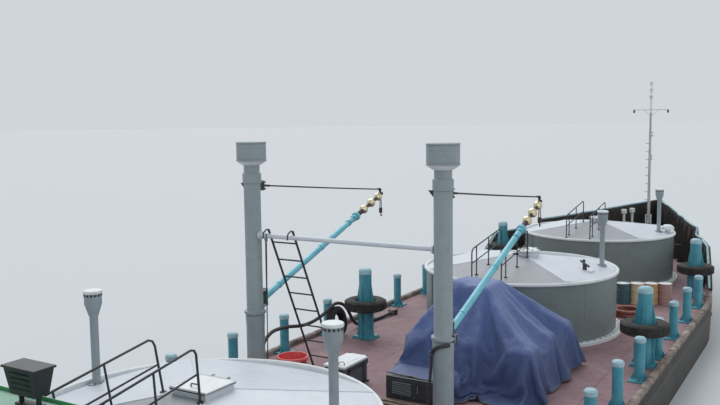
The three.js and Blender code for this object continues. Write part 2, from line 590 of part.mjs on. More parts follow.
function addBoom(group, name, slope, raised) {
  const { hubRadius, liftZ, liftHalf } = boomPin;
  const [lowZ, highZ] = [boomPin.lowZ + raised, boomPin.highZ + raised];
  const hubZ = (lowZ + highZ) / 2;
  const [run, climb] = [Math.cos(slope), Math.sin(slope)];
  const along = (distance, rise = 0) => [
    0, distance * run - rise * climb, hubZ + distance * climb + rise * run,
  ];
  const upright = (low, high, radius) => bar([0, 0, low + contactGap], [0, 0, high - contactGap], radius, 16);
  const hub = upright(lowZ, highZ, hubRadius);
  const pipe = bar(along(0), along(boom.length), boom.radius, boom.sides);
  const flange = bar(along(boom.length - 30), along(boom.length), boom.radius + 32, boom.sides);
  addMesh(group, `boom_${name}`, join(hub, pipe, flange), finish.boomPaint);

  const start = boom.length + contactGap;
  const bands = couplingBands.map(([from, to, band]) => (
    bar(along(start + from), along(start + to), band, 10)
  ));
  const { distance, rise, radius, half, lug } = couplingEye;
  const eyeAt = along(start + distance, rise);
  const acrossEye = (reach, round) => bar(
    [-reach, eyeAt[1], eyeAt[2]], [reach, eyeAt[1], eyeAt[2]], round, 12,
  );
  const stem = bar(along(start + distance), eyeAt, lug, 8);
  const top = along(start + pendant.distance);
  const under = (drop) => [0, top[1], top[2] - drop];
  const hook = [
    bar(top, under(pendant.length), pendant.radius, 8),
    bar(under(pendant.length - pendant.blockLength), under(pendant.length), pendant.block, 8),
  ];
  const coupling = join(...bands, acrossEye(half, radius), stem, ...hook);
  addMesh(group, `hose_coupling_${name}`, coupling, finish.brass);

  const liftHub = upright(liftZ - liftHalf, liftZ + liftHalf, lift.eyeRadius);
  const rope = join(bar([0, 0, liftZ], eyeAt, lift.radius, 10), liftHub);
  const room = acrossEye(lift.radius, radius + contactGap);
  addMesh(group, `topping_lift_${name}`, cutAway(rope, room), finish.darkSteel);
}

// Ladder that leans on the crossbar
function makeLadder() {
  const lean = Math.atan2(ladder.footY - kingpost.y, crossbar.z);
  const reach = (crossbar.radius + ladder.railRadius + contactGap) / Math.cos(lean);
  const top = new THREE.Vector3(0, kingpost.y + reach, crossbar.z);
  const foot = new THREE.Vector3(0, ladder.footY + reach, 0);
  const run = foot.clone().sub(top);
  const head = top.clone().addScaledVector(run, -0.035);
  const at = (t) => head.clone().lerp(foot, t);
  const rails = [-1, 1].map((side) => {
    const x = ladder.x + side * ladder.halfWidth;
    return bar([x, head.y, head.z], [x, foot.y, 26], ladder.railRadius, 6);
  });
  const shoes = [-1, 1].map((side) => {
    const x = ladder.x + side * ladder.halfWidth;
    return box(x - 26, x + 26, foot.y - 40, foot.y + 40, 0, 46);
  });
  const [left, right] = [ladder.x - ladder.halfWidth, ladder.x + ladder.halfWidth];
  const rungs = Array.from({ length: ladder.rungs }, (_, i) => {
    const { y, z } = at(0.07 + (0.88 * i) / (ladder.rungs - 1));
    return bar([left, y, z], [right, y, z], ladder.rungRadius, 4);
  });
  addMesh(onDeck, 'ladder', join(...rails, ...shoes, ...rungs), finish.darkSteel);
}

function makeDeckGear() {
  const { x0, x1, y0, y1, height, wall, floor } = hatch;
  const coaming = solid(box(x0, x1, y0, y1, 0, height));
  const inner = box(x0 + wall, x1 - wall, y0 + wall, y1 - wall, floor, height + 10);
  const middle = (x0 + x1) / 2;
  const hingeY = y1 + hatch.hinge;
  const lidZ = height + contactGap;
  const lugs = [-1, 1].flatMap((k) => [[-10, -120, -6], [14, -10, 50]].map(([start, low, high]) => box(
    middle + k * 190 - 12, middle + k * 190 + 12, y1 + start, hingeY + 22, height + low, height + high,
  )));
  addMesh(onDeck, 'hatch_box', joinTo(cutAway(coaming, inner), ...lugs), finish.greyPaint);
  const { overhang, lid } = hatch;
  const lidPlate = box(x0 - overhang, x1 + overhang, y0 - overhang, y1 + 4, lidZ, lidZ + lid);
  const tongue = box(middle - 170, middle + 170, y1 - 60, hingeY, lidZ + 6, lidZ + lid - 6);
  const barrel = bar([middle - 177, hingeY, lidZ + 25], [middle + 177, hingeY, lidZ + 25], 19, 12);
  addMesh(onDeck, 'hatch_lid', join(lidPlate, tongue, barrel), finish.lidPaint);

  const rim = tub.height - 20;
  addMesh(onDeck, 'red_tub', solid(turned([
    [0, 0], [tub.bottomRadius, 0], [tub.radius - 12, rim], [tub.radius, rim], [tub.radius, tub.height],
    [tub.radius - tub.wall - 10, tub.height], [tub.bottomRadius - tub.wall, tub.wall], [0, tub.wall],
  ], 20)), finish.redPlastic, [tub.x, tub.y, 0]);
}

// A straight row of waste drums
function makeDrums() {
  const heading = (drum.heading * Math.PI) / 180;
  const hoop = drum.radius + drum.hoop;
  const one = turned([
    [0, 0], [hoop, 0], [hoop, drum.foot], [drum.radius, drum.foot],
    [drum.radius, drum.height], [0, drum.height],
  ], 16);
  const drums = Array.from({ length: drum.count }, (_, i) => {
    const along = i * drum.pitch;
    return one.clone().translate(drum.x + along * Math.cos(heading), drum.y + along * Math.sin(heading), 0);
  });
  addMesh(onDeck, 'waste_drums', join(...drums), finish.drumPaint);
}

// The tarpaulin over the deck machinery is one plain block, and a steel box shows at its corner
function makeTarp() {
  const { squareness, waves, wave, sides } = tarp;
  const ring = ({ z, halfX, halfY, shift }) => Array.from({ length: sides }, (_, i) => {
    const angle = (2 * Math.PI * i) / sides;
    const [across, along] = [Math.cos(angle), Math.sin(angle)];
    const square = (Math.abs(across) ** squareness + Math.abs(along) ** squareness) ** (-1 / squareness);
    const reach = square * (1 + wave * Math.cos(waves * angle));
    return [tarp.x + shift + halfX * reach * across, tarp.y + halfY * reach * along, z];
  });
  const { x0, x1, y0, y1, height, frame, proud, edge } = pumpBox;
  const room = box(x0 - contactGap, x1 + contactGap, y0, y1 + contactGap, -10, height + contactGap);
  const cover = solid(rightWayOut(loft(tarpRows.map(ring))));
  addMesh(onDeck, 'tarp_cover', cutAway(cover, room), finish.blueCloth);
  addMesh(onDeck, 'pump_box', join(
    box(x0, x1, y0, y1, 0, height), box(x0 + frame, x1 - frame, y0 - proud, y0 + proud, edge, height - edge),
  ), finish.darkSteel);
}

function tyreRing({ outer, inner, width, shoulder }) {
  const half = width / 2;
  return rightWayOut(turned([
    [inner, -half], [outer - shoulder, -half], [outer, -half * 0.6], [outer, half * 0.6],
    [outer - shoulder, half], [inner, half], [inner, -half],
  ], 18));
}

// Tall mooring bitts with gussets, each with a lorry tyre dropped over it as a fender
function makeBitts() {
  const { tyreZ, upper, plate, gussetTop } = bitt;
  const narrow = bitt.postRadius * 0.8;
  const gusset = plateAcross([
    [0, tyreZ], [upper, tyreZ], [upper, tyreZ + tyre.width], [narrow, gussetTop],
    [-narrow, gussetTop], [-upper, tyreZ + tyre.width], [-upper, tyreZ],
  ], plate * 2);
  const post = join(
    turned([[0, 0], [bitt.postRadius, 0], [bitt.postRadius, bitt.height - 60],
      [bitt.postRadius - 50, bitt.height], [0, bitt.height]], bitt.sides),
    box(-bitt.base / 2 - 60, bitt.base / 2 + 60, -bitt.base / 2, bitt.base / 2, 0, bitt.foot),
    box(-plate, plate, -bitt.gusset, bitt.gusset, 0, tyreZ),
    box(-bitt.gusset, bitt.gusset, -plate, plate, 0, tyreZ),
    gusset, gusset.clone().rotateZ(Math.PI / 2),
  );
  for (const row of bittRows) {
    addMesh(onDeck, `bitt_${row.name}`, post, finish.bluePaint, [row.x, row.y, 0]);
    addMesh(onDeck, `tyre_${row.name}`, solid(tyreRing(tyre)), finish.rubber,
      [row.x, row.y, tyreZ + tyre.width / 2 + contactGap]);
  }
}

// A smaller tyre that leans on a side post
function makeLeaningTyre() {
  const lean = (leaningTyre.lean * Math.PI) / 180;
  const ring = tyreRing(leaningTyre).rotateY(Math.PI / 2 - lean);
  ring.computeBoundingBox();
  addMesh(onDeck, 'tyre_leaning', solid(ring), finish.rubber,
    [leaningTyre.x, leaningTyre.y, contactGap - ring.boundingBox.min.z]);
}

// Hoses and rope as plain tubes, and the coil as one ring
function makeCords() {
  const section = (radius, sides) => new THREE.Shape(Array.from({ length: sides }, (_, i) => {
    const angle = (2 * Math.PI * i) / sides;
    return new THREE.Vector2(radius * Math.cos(angle), radius * Math.sin(angle));
  }));
  const cords = [
    ['suction_hose', suctionHose, 60], ['kingpost_hose', kingpostHose, 16], ['mooring_rope', mooringRope, 78],
  ];
  for (const [name, { radius, route }, steps] of cords) {
    const points = route.map((point) => new THREE.Vector3(...point));
    const path = new THREE.CatmullRomCurve3(points, false, 'catmullrom', 0.5);
    const run = { steps, extrudePath: path, bevelEnabled: false };
    addMesh(onDeck, name, solid(new THREE.ExtrudeGeometry(section(radius, 8), run)), finish.rubber);
  }
  const { x, y, inner, outer, height } = washHoseCoil;
  addMesh(onDeck, 'wash_hose_coil', solid(rightWayOut(turned([
    [inner, contactGap], [outer, contactGap], [outer, height], [inner, height], [inner, contactGap],
  ], 20))), finish.rubber, [x, y, 0]);
}

// Bow mast on its tabernacle, and the anchor windlass
function makeForedeck() {
  const group = new THREE.Group();
  group.position.set(0, 0, forecastle.height);
  onDeck.add(group);
  const hingeZ = mast.footZ;
  const base = forecastle.height;
  const top = mast.topZ - base;
  const arm = mast.armZ - base;
  const foot = 60;
  const upright = (y, low, high, radius, sides) => bar([0, y, low], [0, y, high], radius, sides);
  const pieces = [
    bar([0, mast.y, foot], [0, mast.y, top - 500], mast.radius, 10, mast.topRadius),
    upright(mast.y, top - 510, top, 20, 6),
    bar([-mast.armHalf, mast.y, arm], [mast.armHalf, mast.y, arm], 22, 6),
    bar([-84.5, mast.y, hingeZ], [84.5, mast.y, hingeZ], 32),
    ...[[160, 70], [420, 75], [700, 85]].map(([drop, radius]) => (
      upright(mast.y, top - drop, top - drop + 150, radius)
    )),
    ...[3400 - base, 4350 - base].map((z) => upright(mast.y + 90, z, z + 190, 75)),
    ...[3400 - base, 4350 - base].map((z) => box(-50, 50, mast.y - 40, mast.y + 120, z - 25, z + 2)),
  ];
  addMesh(group, 'bow_mast', join(...pieces), finish.whitePaint);

  const cheeks = [-1, 1].map((side) => box(
    side * windlass.x - 40, side * windlass.x + 40, windlass.y - 230, windlass.y + 230, 0, windlass.z + 90,
  ));
  const bed = box(-windlass.x - 100, windlass.x + 100, windlass.y - 300, windlass.y + 300, 0, 60);
  const motor = box(-200, 200, windlass.y - 760, windlass.y - 240, 0, 430);
  const rim = windlass.x - 40 - contactGap;
  addMesh(group, 'windlass_bed', join(bed, ...cheeks, motor), finish.greyPaint);
  const across = (left, right, radius, sides) => bar(
    [left, windlass.y, windlass.z], [right, windlass.y, windlass.z], radius, sides,
  );
  addMesh(group, 'windlass_drum', join(
    across(-rim, rim, 60, 8), across(-280, 280, windlass.drumRadius - 40, 10),
    across(-500, -360, windlass.drumRadius + 40, 12), across(360, 500, windlass.drumRadius + 40, 12),
  ), finish.darkSteel);
}

// A hollow house: four walls with their windows and doorways cut through
function walls({ halfX, aftY, foreY, wall, height }) {
  const outer = solid(box(-halfX, halfX, aftY, foreY, 0, height));
  return cutAway(outer, box(-halfX + wall, halfX - wall, aftY + wall, foreY - wall, -10, height + 10));
}

// A flat roof with one doubler pad on it
function roofOver({ halfX, aftY, foreY, height }, { overhang, thickness }, place) {
  const top = height + thickness;
  const plate = box(-halfX - overhang, halfX + overhang, aftY - overhang, foreY + overhang, height, top);
  return join(plate, padAt(place, top));
}

const doorway = (halfWidth) => ({ low: door.sill, high: door.sill + door.height, halfWidth });

// Fixed straps and pin ends above and below each moving knuckle; jamb and out are unit steps from the pin
function hingeStraps([pinX, pinY], jamb, out, knuckles) {
  const plate = (near, far, inner, outer, low, high) => {
    const xs = [near, far].flatMap((k) => [inner, outer].map((m) => pinX + jamb[0] * k + out[0] * m));
    const ys = [near, far].flatMap((k) => [inner, outer].map((m) => pinY + jamb[1] * k + out[1] * m));
    return box(Math.min(...xs), Math.max(...xs), Math.min(...ys), Math.max(...ys), low, high);
  };
  return knuckles.flatMap(([low, high]) => [
    [low - strap.height, low - contactGap], [high + contactGap, high + strap.height],
  ]).flatMap(([z0, z1]) => [
    plate(door.pinInset + door.gap, strap.reach, -strap.root, strap.half, z0, z1),
    plate(0, door.pinInset + door.gap + 5, -strap.half, strap.half, z0, z1),
    bar([pinX, pinY, z0], [pinX, pinY, z1], strap.half, 10),
  ]);
}

function makeDeckhouse() {
  const { halfX, aftY, foreY } = house;
  const frame = doorway(door.width / 2 + door.gap);
  const [low, high] = [1250, 1850];
  const sideWindows = [-17200, -16100, -15000, -13900].map((y) => box(
    -halfX - 50, halfX + 50, y - 260, y + 260, low, high,
  ));
  const frontWindows = [-2100, -700, 700, 2100].map((x) => box(
    x - 270, x + 270, foreY - 150, foreY + 50, low, high,
  ));
  const doorX = -1400;
  const aftDoor = box(
    doorX - frame.halfWidth, doorX + frame.halfWidth, aftY - 50, aftY + 150, frame.low, frame.high,
  );
  const aftWindow = box(900, 1500, aftY - 50, aftY + 150, low, high);
  const hingeX = doorX - door.width / 2;
  const [pinX, pinY] = [hingeX + door.pinInset, aftY - door.pinProud];
  const knuckleZs = [[500, 660], [1500, 1660]];
  const shell = cutAway(walls(house), ...sideWindows, ...frontWindows, aftDoor, aftWindow);
  const straps = hingeStraps([pinX, pinY], [-1, 0], [0, -1], knuckleZs);
  addMesh(onDeck, 'deckhouse', joinTo(shell, ...straps), finish.whitePaint);
  addMesh(onDeck, 'deckhouse_roof', roofOver(house, houseRoof, padPlaces.houseRoof), finish.greenPaint);

  const leaf = box(
    hingeX, hingeX + door.width, aftY, aftY + door.thick, frame.low + door.gap, frame.high - door.gap,
  );
  const knuckles = knuckleZs.map(([z0, z1]) => bar([pinX, pinY, z0], [pinX, pinY, z1], door.pinRadius, 10));
  const handleX = hingeX + door.handleReach;
  const handle = bar([handleX, aftY - 45, 1000], [handleX, aftY - 45, 1140], door.handleRadius, 8);
  const stub = bar([handleX, aftY + 5, 1070], [handleX, aftY - 50, 1070], door.handleRadius, 8);
  addMesh(onDeck, 'deckhouse_door', join(leaf, ...knuckles, handle, stub), finish.whitePaint);
}

function makeWheelhouse() {
  const group = new THREE.Group();
  group.position.set(0, 0, house.height + houseRoof.thickness);
  onDeck.add(group);
  const { halfX, aftY, foreY } = wheelhouse;
  const frame = doorway(door.width / 2 + door.gap);
  const [low, high] = [980, 1800];
  const doorY = -16100;
  const fronts = [-1180, 0, 1180].map((x) => box(x - 500, x + 500, foreY - 150, foreY + 50, low, high));
  const sides = box(-halfX - 50, halfX + 50, -14880, -14170, low, high);
  const doors = box(
    -halfX - 50, halfX + 50, doorY - frame.halfWidth, doorY + frame.halfWidth, frame.low, high + door.gap,
  );
  const afts = [-850, 850].map((x) => box(x - 450, x + 450, aftY - 50, aftY + 150, low, high));
  const hingeY = doorY + door.width / 2;
  const pinAt = (side) => [side * (halfX + door.pinProud), hingeY - door.pinInset];
  const knuckleZs = [[400, 550], [1400, 1550]];
  const straps = [-1, 1].flatMap((side) => hingeStraps(pinAt(side), [0, 1], [side, 0], knuckleZs));
  const shell = cutAway(walls(wheelhouse), ...fronts, sides, doors, ...afts);
  addMesh(group, 'wheelhouse', joinTo(shell, ...straps), finish.whitePaint);
  addMesh(group, 'wheelhouse_roof', roofOver(wheelhouse, wheelRoof, padPlaces.wheelRoof), finish.greenPaint);

  for (const [side, name] of [[-1, 'port'], [1, 'starboard']]) {
    const [x0, x1] = side > 0 ? [halfX - door.thick, halfX] : [-halfX, -halfX + door.thick];
    const leaf = solid(box(x0, x1, hingeY - door.width, hingeY, frame.low + door.gap, high));
    const pane = box(x0 - 50, x1 + 50, hingeY - door.width + 130, hingeY - 130, low + 60, high - 110);
    const [pinX, pinY] = pinAt(side);
    const knuckles = knuckleZs.map(([z0, z1]) => bar([pinX, pinY, z0], [pinX, pinY, z1], door.pinRadius, 10));
    const handleY = hingeY - door.handleReach;
    const grip = side * (halfX + 45);
    const handle = bar([grip, handleY, 900], [grip, handleY, 1040], door.handleRadius, 8);
    const [inner, outer] = [side * (halfX - 5), side * (halfX + 50)];
    const stub = bar([inner, handleY, 970], [outer, handleY, 970], door.handleRadius, 8);
    const body = joinTo(cutAway(leaf, pane), ...knuckles, handle, stub);
    addMesh(group, `wheelhouse_door_${name}`, body, finish.whitePaint);
  }

  const desk = join(
    box(-750, 750, foreY - 560, foreY - 90, 0, 860), box(-300, 300, foreY - 700, foreY - 540, 0, 780),
    bar([0, foreY - 690, 700], [0, foreY - 790, 700], 30, 10),
    bar([0, foreY - 775, 700], [0, foreY - 815, 700], 260, 20),
  );
  addMesh(group, 'helm_console', desk, finish.darkSteel);

  const mastGroup = new THREE.Group();
  mastGroup.position.set(0, signalMast.y, wheelhouse.height + wheelRoof.thickness);
  group.add(mastGroup);
  addMesh(mastGroup, 'signal_mast_step', join(
    box(-160, 160, -140, 140, 0, 25), box(-95, -70, -80, 80, 0, 240), box(70, 95, -80, 80, 0, 240),
  ), finish.darkSteel);
  addMesh(mastGroup, 'signal_mast', join(
    bar([0, 0, 60], [0, 0, signalMast.height], signalMast.radius, 8, 30),
    bar([-69.5, 0, 180], [69.5, 0, 180], 26),
    bar([-signalMast.armHalf, 0, signalMast.armZ], [signalMast.armHalf, 0, signalMast.armZ], 22, 6),
    bar([0, 80, 1250], [0, 80, 1420], 75), box(-45, 45, -30, 110, 1225, 1252),
    bar([0, 0, signalMast.height - 10], [0, 0, signalMast.height + 150], 70),
    box(-50, 50, -30, 260, 900, 930), bar([0, 210, 925], [0, 210, 1010], 90),
    box(-600, 600, 175, 245, 1005, 1075),
  ), finish.whitePaint);
}

function makeRoofGear() {
  const roofZTop = house.height + houseRoof.thickness;
  const { x, y, halfX, halfY, height, pipe } = funnel;
  addMesh(onDeck, 'funnel', join(
    box(x - halfX, x + halfX, y - halfY, y + halfY, 0, height),
    ...[-1, 1].map((k) => bar([x + k * 220, y, height - 50], [x + k * 220, y - 60, height + 330], pipe, 16)),
  ), finish.greyPaint, [0, 0, roofZTop]);

  const { top, bottom, lowZ, highZ, lip, leg, legX, foot } = floodlight;
  const ring = ([a, b], z) => [[-a, -b, z], [a, -b, z], [a, b, z], [-a, b, z]];
  const lamp = rightWayOut(loft([ring(bottom, lowZ), ring(top, highZ)]));
  const [brimX, brimY] = top.map((half) => half + lip);
  const hood = box(-brimX, brimX, -brimY, brimY, highZ - 5, highZ + lip);
  const legs = [-1, 1].map((k) => box(k * legX - leg, k * legX + leg, -20, 20, 0, lowZ + 40));
  const plate = box(-legX - 30, legX + 30, -50, 50, 0, foot);
  addMesh(onDeck, 'floodlight', join(lamp, hood, ...legs, plate), finish.darkSteel,
    [floodlight.x, floodlight.y, roofZTop]);
}

// Twin screws and rudders under the rising stern
function makeRunningGear() {
  const hub = bar([0, 0, 0], [0, -propeller.hubLength, 0], propeller.hubRadius, 12, 60);
  const blades = Array.from({ length: propeller.blades }, (_, i) => {
    const blade = new THREE.SphereGeometry(1, 8, 5);
    blade.scale(150, 26, 250).rotateZ(0.55).translate(0, 0, propeller.bladeRadius - 250);
    return blade.rotateY((2 * Math.PI * i) / propeller.blades).translate(0, -propeller.hubLength / 2 + 10, 0);
  });
  const screw = join(hub, ...blades);
  const blade = join(
    box(-rudder.thick / 2, rudder.thick / 2, -rudder.chordAft, rudder.chordFore, rudder.low, rudder.high),
    bar([0, 0, rudder.high - 20], [0, 0, rudder.trunk - contactGap], rudder.stock, 12),
  );
  for (const [side, name] of [[-1, 'port'], [1, 'starboard']]) {
    addMesh(root, `propeller_${name}`, screw, finish.bronze,
      [side * shaft.x, shaft.tubeEnd - contactGap, shaft.z]);
    addMesh(root, `rudder_${name}`, blade, finish.hullPaint, [side * shaft.x, rudder.y, 0]);
  }
}

makeHull();
makeBulwarks();
makeForecastle();
makeGunwales();
tankRows.forEach(makeTank);
makeKingposts();
makeBooms();
makeLadder();
makeDeckGear();
makeDrums();
makeTarp();
makeBitts();
makeLeaningTyre();
makeCords();
makeForedeck();
makeDeckhouse();
makeWheelhouse();
makeRoofGear();
makeRunningGear();

export default root;
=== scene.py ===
import json
import math

import bmesh
import bpy
from mathutils import Matrix, Vector, noise

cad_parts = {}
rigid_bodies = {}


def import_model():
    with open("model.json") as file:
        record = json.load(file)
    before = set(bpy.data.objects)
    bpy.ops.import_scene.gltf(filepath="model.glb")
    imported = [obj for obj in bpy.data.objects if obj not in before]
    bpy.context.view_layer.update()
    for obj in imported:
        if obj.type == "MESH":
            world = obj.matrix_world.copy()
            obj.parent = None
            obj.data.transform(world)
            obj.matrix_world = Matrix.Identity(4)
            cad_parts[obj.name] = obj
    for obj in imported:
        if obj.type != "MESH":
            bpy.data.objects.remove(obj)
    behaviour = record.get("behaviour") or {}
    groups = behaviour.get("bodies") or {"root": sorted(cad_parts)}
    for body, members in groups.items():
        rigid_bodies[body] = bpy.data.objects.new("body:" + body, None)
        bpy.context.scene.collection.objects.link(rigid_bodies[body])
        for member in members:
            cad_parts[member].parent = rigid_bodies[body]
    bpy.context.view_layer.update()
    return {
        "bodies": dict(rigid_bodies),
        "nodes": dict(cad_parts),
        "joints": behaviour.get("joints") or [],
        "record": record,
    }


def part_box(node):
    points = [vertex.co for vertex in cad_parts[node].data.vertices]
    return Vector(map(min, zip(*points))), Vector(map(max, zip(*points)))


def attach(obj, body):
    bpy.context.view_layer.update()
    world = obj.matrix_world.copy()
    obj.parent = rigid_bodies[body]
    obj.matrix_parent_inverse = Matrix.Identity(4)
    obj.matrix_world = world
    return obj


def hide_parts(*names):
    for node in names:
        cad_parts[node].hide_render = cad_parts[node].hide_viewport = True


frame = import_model()
nodes = frame["nodes"]

waterline = 1.4
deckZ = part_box("tank_aft")[0].z
quarter = math.pi / 2


# Small tools
def toLinear(code):
    channels = [int(code[i:i + 2], 16) / 255 for i in (1, 3, 5)]
    return tuple(c / 12.92 if c <= 0.04045 else ((c + 0.055) / 1.055) ** 2.4 for c in channels) + (1.0,)


def addNode(tree, kind, inputs=None, **settings):
    node = tree.nodes.new(kind)
    for key, value in settings.items():
        setattr(node, key, value)
    for key, value in (inputs or {}).items():
        if isinstance(value, bpy.types.NodeSocket):
            tree.links.new(value, node.inputs[key])
        else:
            node.inputs[key].default_value = value
    return node


def linked(name, data):
    obj = bpy.data.objects.new(name, data)
    bpy.context.scene.collection.objects.link(obj)
    return obj


def turnTo(direction):
    return Vector(direction).to_track_quat("Z", "Y").to_matrix().to_4x4()


def joinRings(bm, rings, slot=0, smooth=True, closed=False, slots=None):
    pairs = list(zip(rings, rings[1:] + rings[:1] if closed else rings[1:]))
    for k, (a, b) in enumerate(pairs):
        count = max(len(a), len(b))
        for i in range(count):
            j = (i + 1) % count
            corners = [a[i % len(a)], a[j % len(a)], b[j % len(b)], b[i % len(b)]]
            face = bm.faces.new(list(dict.fromkeys(corners)))
            face.smooth = smooth
            face.material_index = slots[k] if slots else slot


def addBox(bm, low, high, slot=0, bevel=0.004, place=None):
    low, high = Vector(low), Vector(high)
    size, middle = high - low, (high + low) / 2
    verts = bmesh.ops.create_cube(bm, size=1)["verts"]
    for vert in verts:
        vert.co = Vector([vert.co[i] * size[i] + middle[i] for i in range(3)])
        if place:
            vert.co = place @ vert.co
    edges = list({edge for vert in verts for edge in vert.link_edges})
    for face in {face for vert in verts for face in vert.link_faces}:
        face.material_index = slot
    if bevel:
        bmesh.ops.bevel(bm, geom=edges, offset=min(bevel, min(size) * 0.3), segments=1, affect="EDGES")


# A turned shape from [radius, height] pairs, with an optional slot for each band
def addLathe(bm, profile, place=None, segments=48, slot=0, slots=None, closed=False):
    place = place or Matrix()
    rings = []
    for radius, height in profile:
        if radius < 1e-6:
            rings.append([bm.verts.new(place @ Vector((0, 0, height)))])
            continue
        angles = [2 * math.pi * i / segments for i in range(segments)]
        rings.append([bm.verts.new(place @ Vector((radius * math.cos(a), radius * math.sin(a), height)))
                      for a in angles])
    joinRings(bm, rings, slot=slot, slots=slots, closed=closed)


def addBar(bm, start, end, radius, endRadius=None, sides=16, slot=0, rim=0.0):
    start, end = Vector(start), Vector(end)
    length = (end - start).length
    last = radius if endRadius is None else endRadius
    rim = min(rim, length * 0.3, min(radius, last) * 0.5)
    profile = [(0, 0), (radius - rim, 0), (radius, rim), (last, length - rim), (last - rim, length), (0, length)]
    if not rim:
        profile = [(0, 0), (radius, 0), (last, length), (0, length)]
    addLathe(bm, profile, Matrix.Translation(start) @ turnTo(end - start), sides, slot)


# A tube along points, with rings that don't twist
def addTube(bm, points, radius, sides=10, slot=0, uv=None, closed=False):
    points = [Vector(point) for point in points]
    count = len(points)
    rings = []
    side = None
    travelled = 0.0
    marks = []
    for i, point in enumerate(points):
        before = points[i - 1] if i or closed else point
        after = points[(i + 1) % count] if i + 1 < count or closed else point
        along = (after - before).normalized()
        if side is None:
            side = along.orthogonal().normalized()
        side = (side - along * side.dot(along)).normalized()
        other = along.cross(side)
        reach = radius[i] if isinstance(radius, (list, tuple)) else radius
        rings.append([bm.verts.new(point + (side * math.cos(a) + other * math.sin(a)) * reach)
                      for a in [2 * math.pi * k / sides for k in range(sides)]])
        travelled += (point - points[i - 1]).length if i else 0
        marks.append(travelled)
    for k in range(count if closed else count - 1):
        a, b = rings[k], rings[(k + 1) % count]
        for i in range(sides):
            j = (i + 1) % sides
            face = bm.faces.new((a[i], a[j], b[j], b[i]))
            face.smooth = True
            face.material_index = slot
            if uv:
                spots = [(i, k), (i + 1, k), (i + 1, k + 1), (i, k + 1)]
                for loop, (u, v) in zip(face.loops, spots):
                    loop[uv].uv = (u / sides, marks[min(v, count - 1)])
    if not closed:
        for ring in (list(reversed(rings[0])), rings[-1]):
            face = bm.faces.new(ring)
            face.material_index = slot


# A section of (across, up) pairs swept level along a path; across is to the right of the way it runs
def addSweep(bm, path, section, slot=0, smooth=False, closed=False):
    path = [Vector(point) for point in path]
    count = len(path)
    rings = []
    for i, point in enumerate(path):
        before = path[i - 1] if i or closed else point
        after = path[(i + 1) % count] if i + 1 < count or closed else point
        along = (after - before)
        right = Vector((along.y, -along.x, 0)).normalized()
        rings.append([bm.verts.new(point + right * across + Vector((0, 0, up))) for across, up in section])
    joinRings(bm, rings, slot=slot, smooth=smooth, closed=closed)
    if not closed:
        for ring in (rings[0], rings[-1]):
            bm.faces.new(ring).material_index = slot


# A flat outline of (x, y) corners given some thickness along its own z
def addPrism(bm, outline, thickness, place, slot=0):
    rings = [[bm.verts.new(place @ Vector((x, y, z))) for x, y in outline] for z in (-thickness / 2, thickness / 2)]
    joinRings(bm, rings, slot=slot, smooth=False)
    for ring in rings:
        bm.faces.new(ring).material_index = slot


def makePiece(name, bm, finishes, body="vessel", replaced=(), sharp=32):
    bmesh.ops.recalc_face_normals(bm, faces=bm.faces)
    mesh = bpy.data.meshes.new(name)
    bm.to_mesh(mesh)
    bm.free()
    for finish in finishes:
        mesh.materials.append(finish)
    mesh.set_sharp_from_angle(angle=math.radians(sharp))
    return declare(linked(name, mesh), body, replaced)


def declare(obj, body="vessel", replaced=()):
    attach(obj, body)
    if replaced:
        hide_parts(*replaced)
    return obj


# The CAD form itself, with its triangles merged to plates, its hard edges eased and its faces sorted by finish
def dressedCopy(name, node, finishes, body="vessel", bevel=0.006, slotOf=None, sharp=28, extra=None):
    bm = bmesh.new()
    bm.from_mesh(nodes[node].data)
    bmesh.ops.remove_doubles(bm, verts=bm.verts, dist=1e-4)
    bmesh.ops.dissolve_limit(bm, angle_limit=math.radians(0.6), verts=bm.verts, edges=bm.edges)
    if bevel:
        hard = [edge for edge in bm.edges if len(edge.link_faces) == 2 and edge.calc_face_angle() > math.radians(40)]
        bmesh.ops.bevel(bm, geom=hard, offset=bevel, segments=1, affect="EDGES", clamp_overlap=True)
    for face in bm.faces:
        face.smooth = True
        if slotOf:
            face.material_index = slotOf(face)
    if extra:
        extra(bm)
    return makePiece(name, bm, finishes, body, (node,), sharp)


# Geometry Nodes: each tree ends in Realize Instances and Set Material
def nodeTree(name, sockets):
    tree = bpy.data.node_groups.new(name, "GeometryNodeTree")
    tree.interface.new_socket("Geometry", in_out="INPUT", socket_type="NodeSocketGeometry")
    for label, kind in sockets:
        tree.interface.new_socket(label, in_out="INPUT", socket_type="NodeSocket" + kind)
    tree.interface.new_socket("Finish", in_out="INPUT", socket_type="NodeSocketMaterial")
    tree.interface.new_socket("Geometry", in_out="OUTPUT", socket_type="NodeSocketGeometry")
    return tree, addNode(tree, "NodeGroupInput").outputs


def endTree(tree, geometry, given):
    real = addNode(tree, "GeometryNodeRealizeInstances", {"Geometry": geometry})
    painted = addNode(tree, "GeometryNodeSetMaterial", {"Geometry": real.outputs[0], "Material": given["Finish"]})
    addNode(tree, "NodeGroupOutput", {"Geometry": painted.outputs[0]})
    return tree


def rowTree():  # the given piece, copied along a straight row
    tree, given = nodeTree("rowOfCopies", [("Count", "Int"), ("Step", "Vector")])
    line = addNode(tree, "GeometryNodeMeshLine", {"Count": given["Count"], "Offset": given["Step"]})
    copies = addNode(tree, "GeometryNodeInstanceOnPoints", {"Points": line.outputs[0], "Instance": given["Geometry"]})
    return endTree(tree, copies.outputs[0], given)


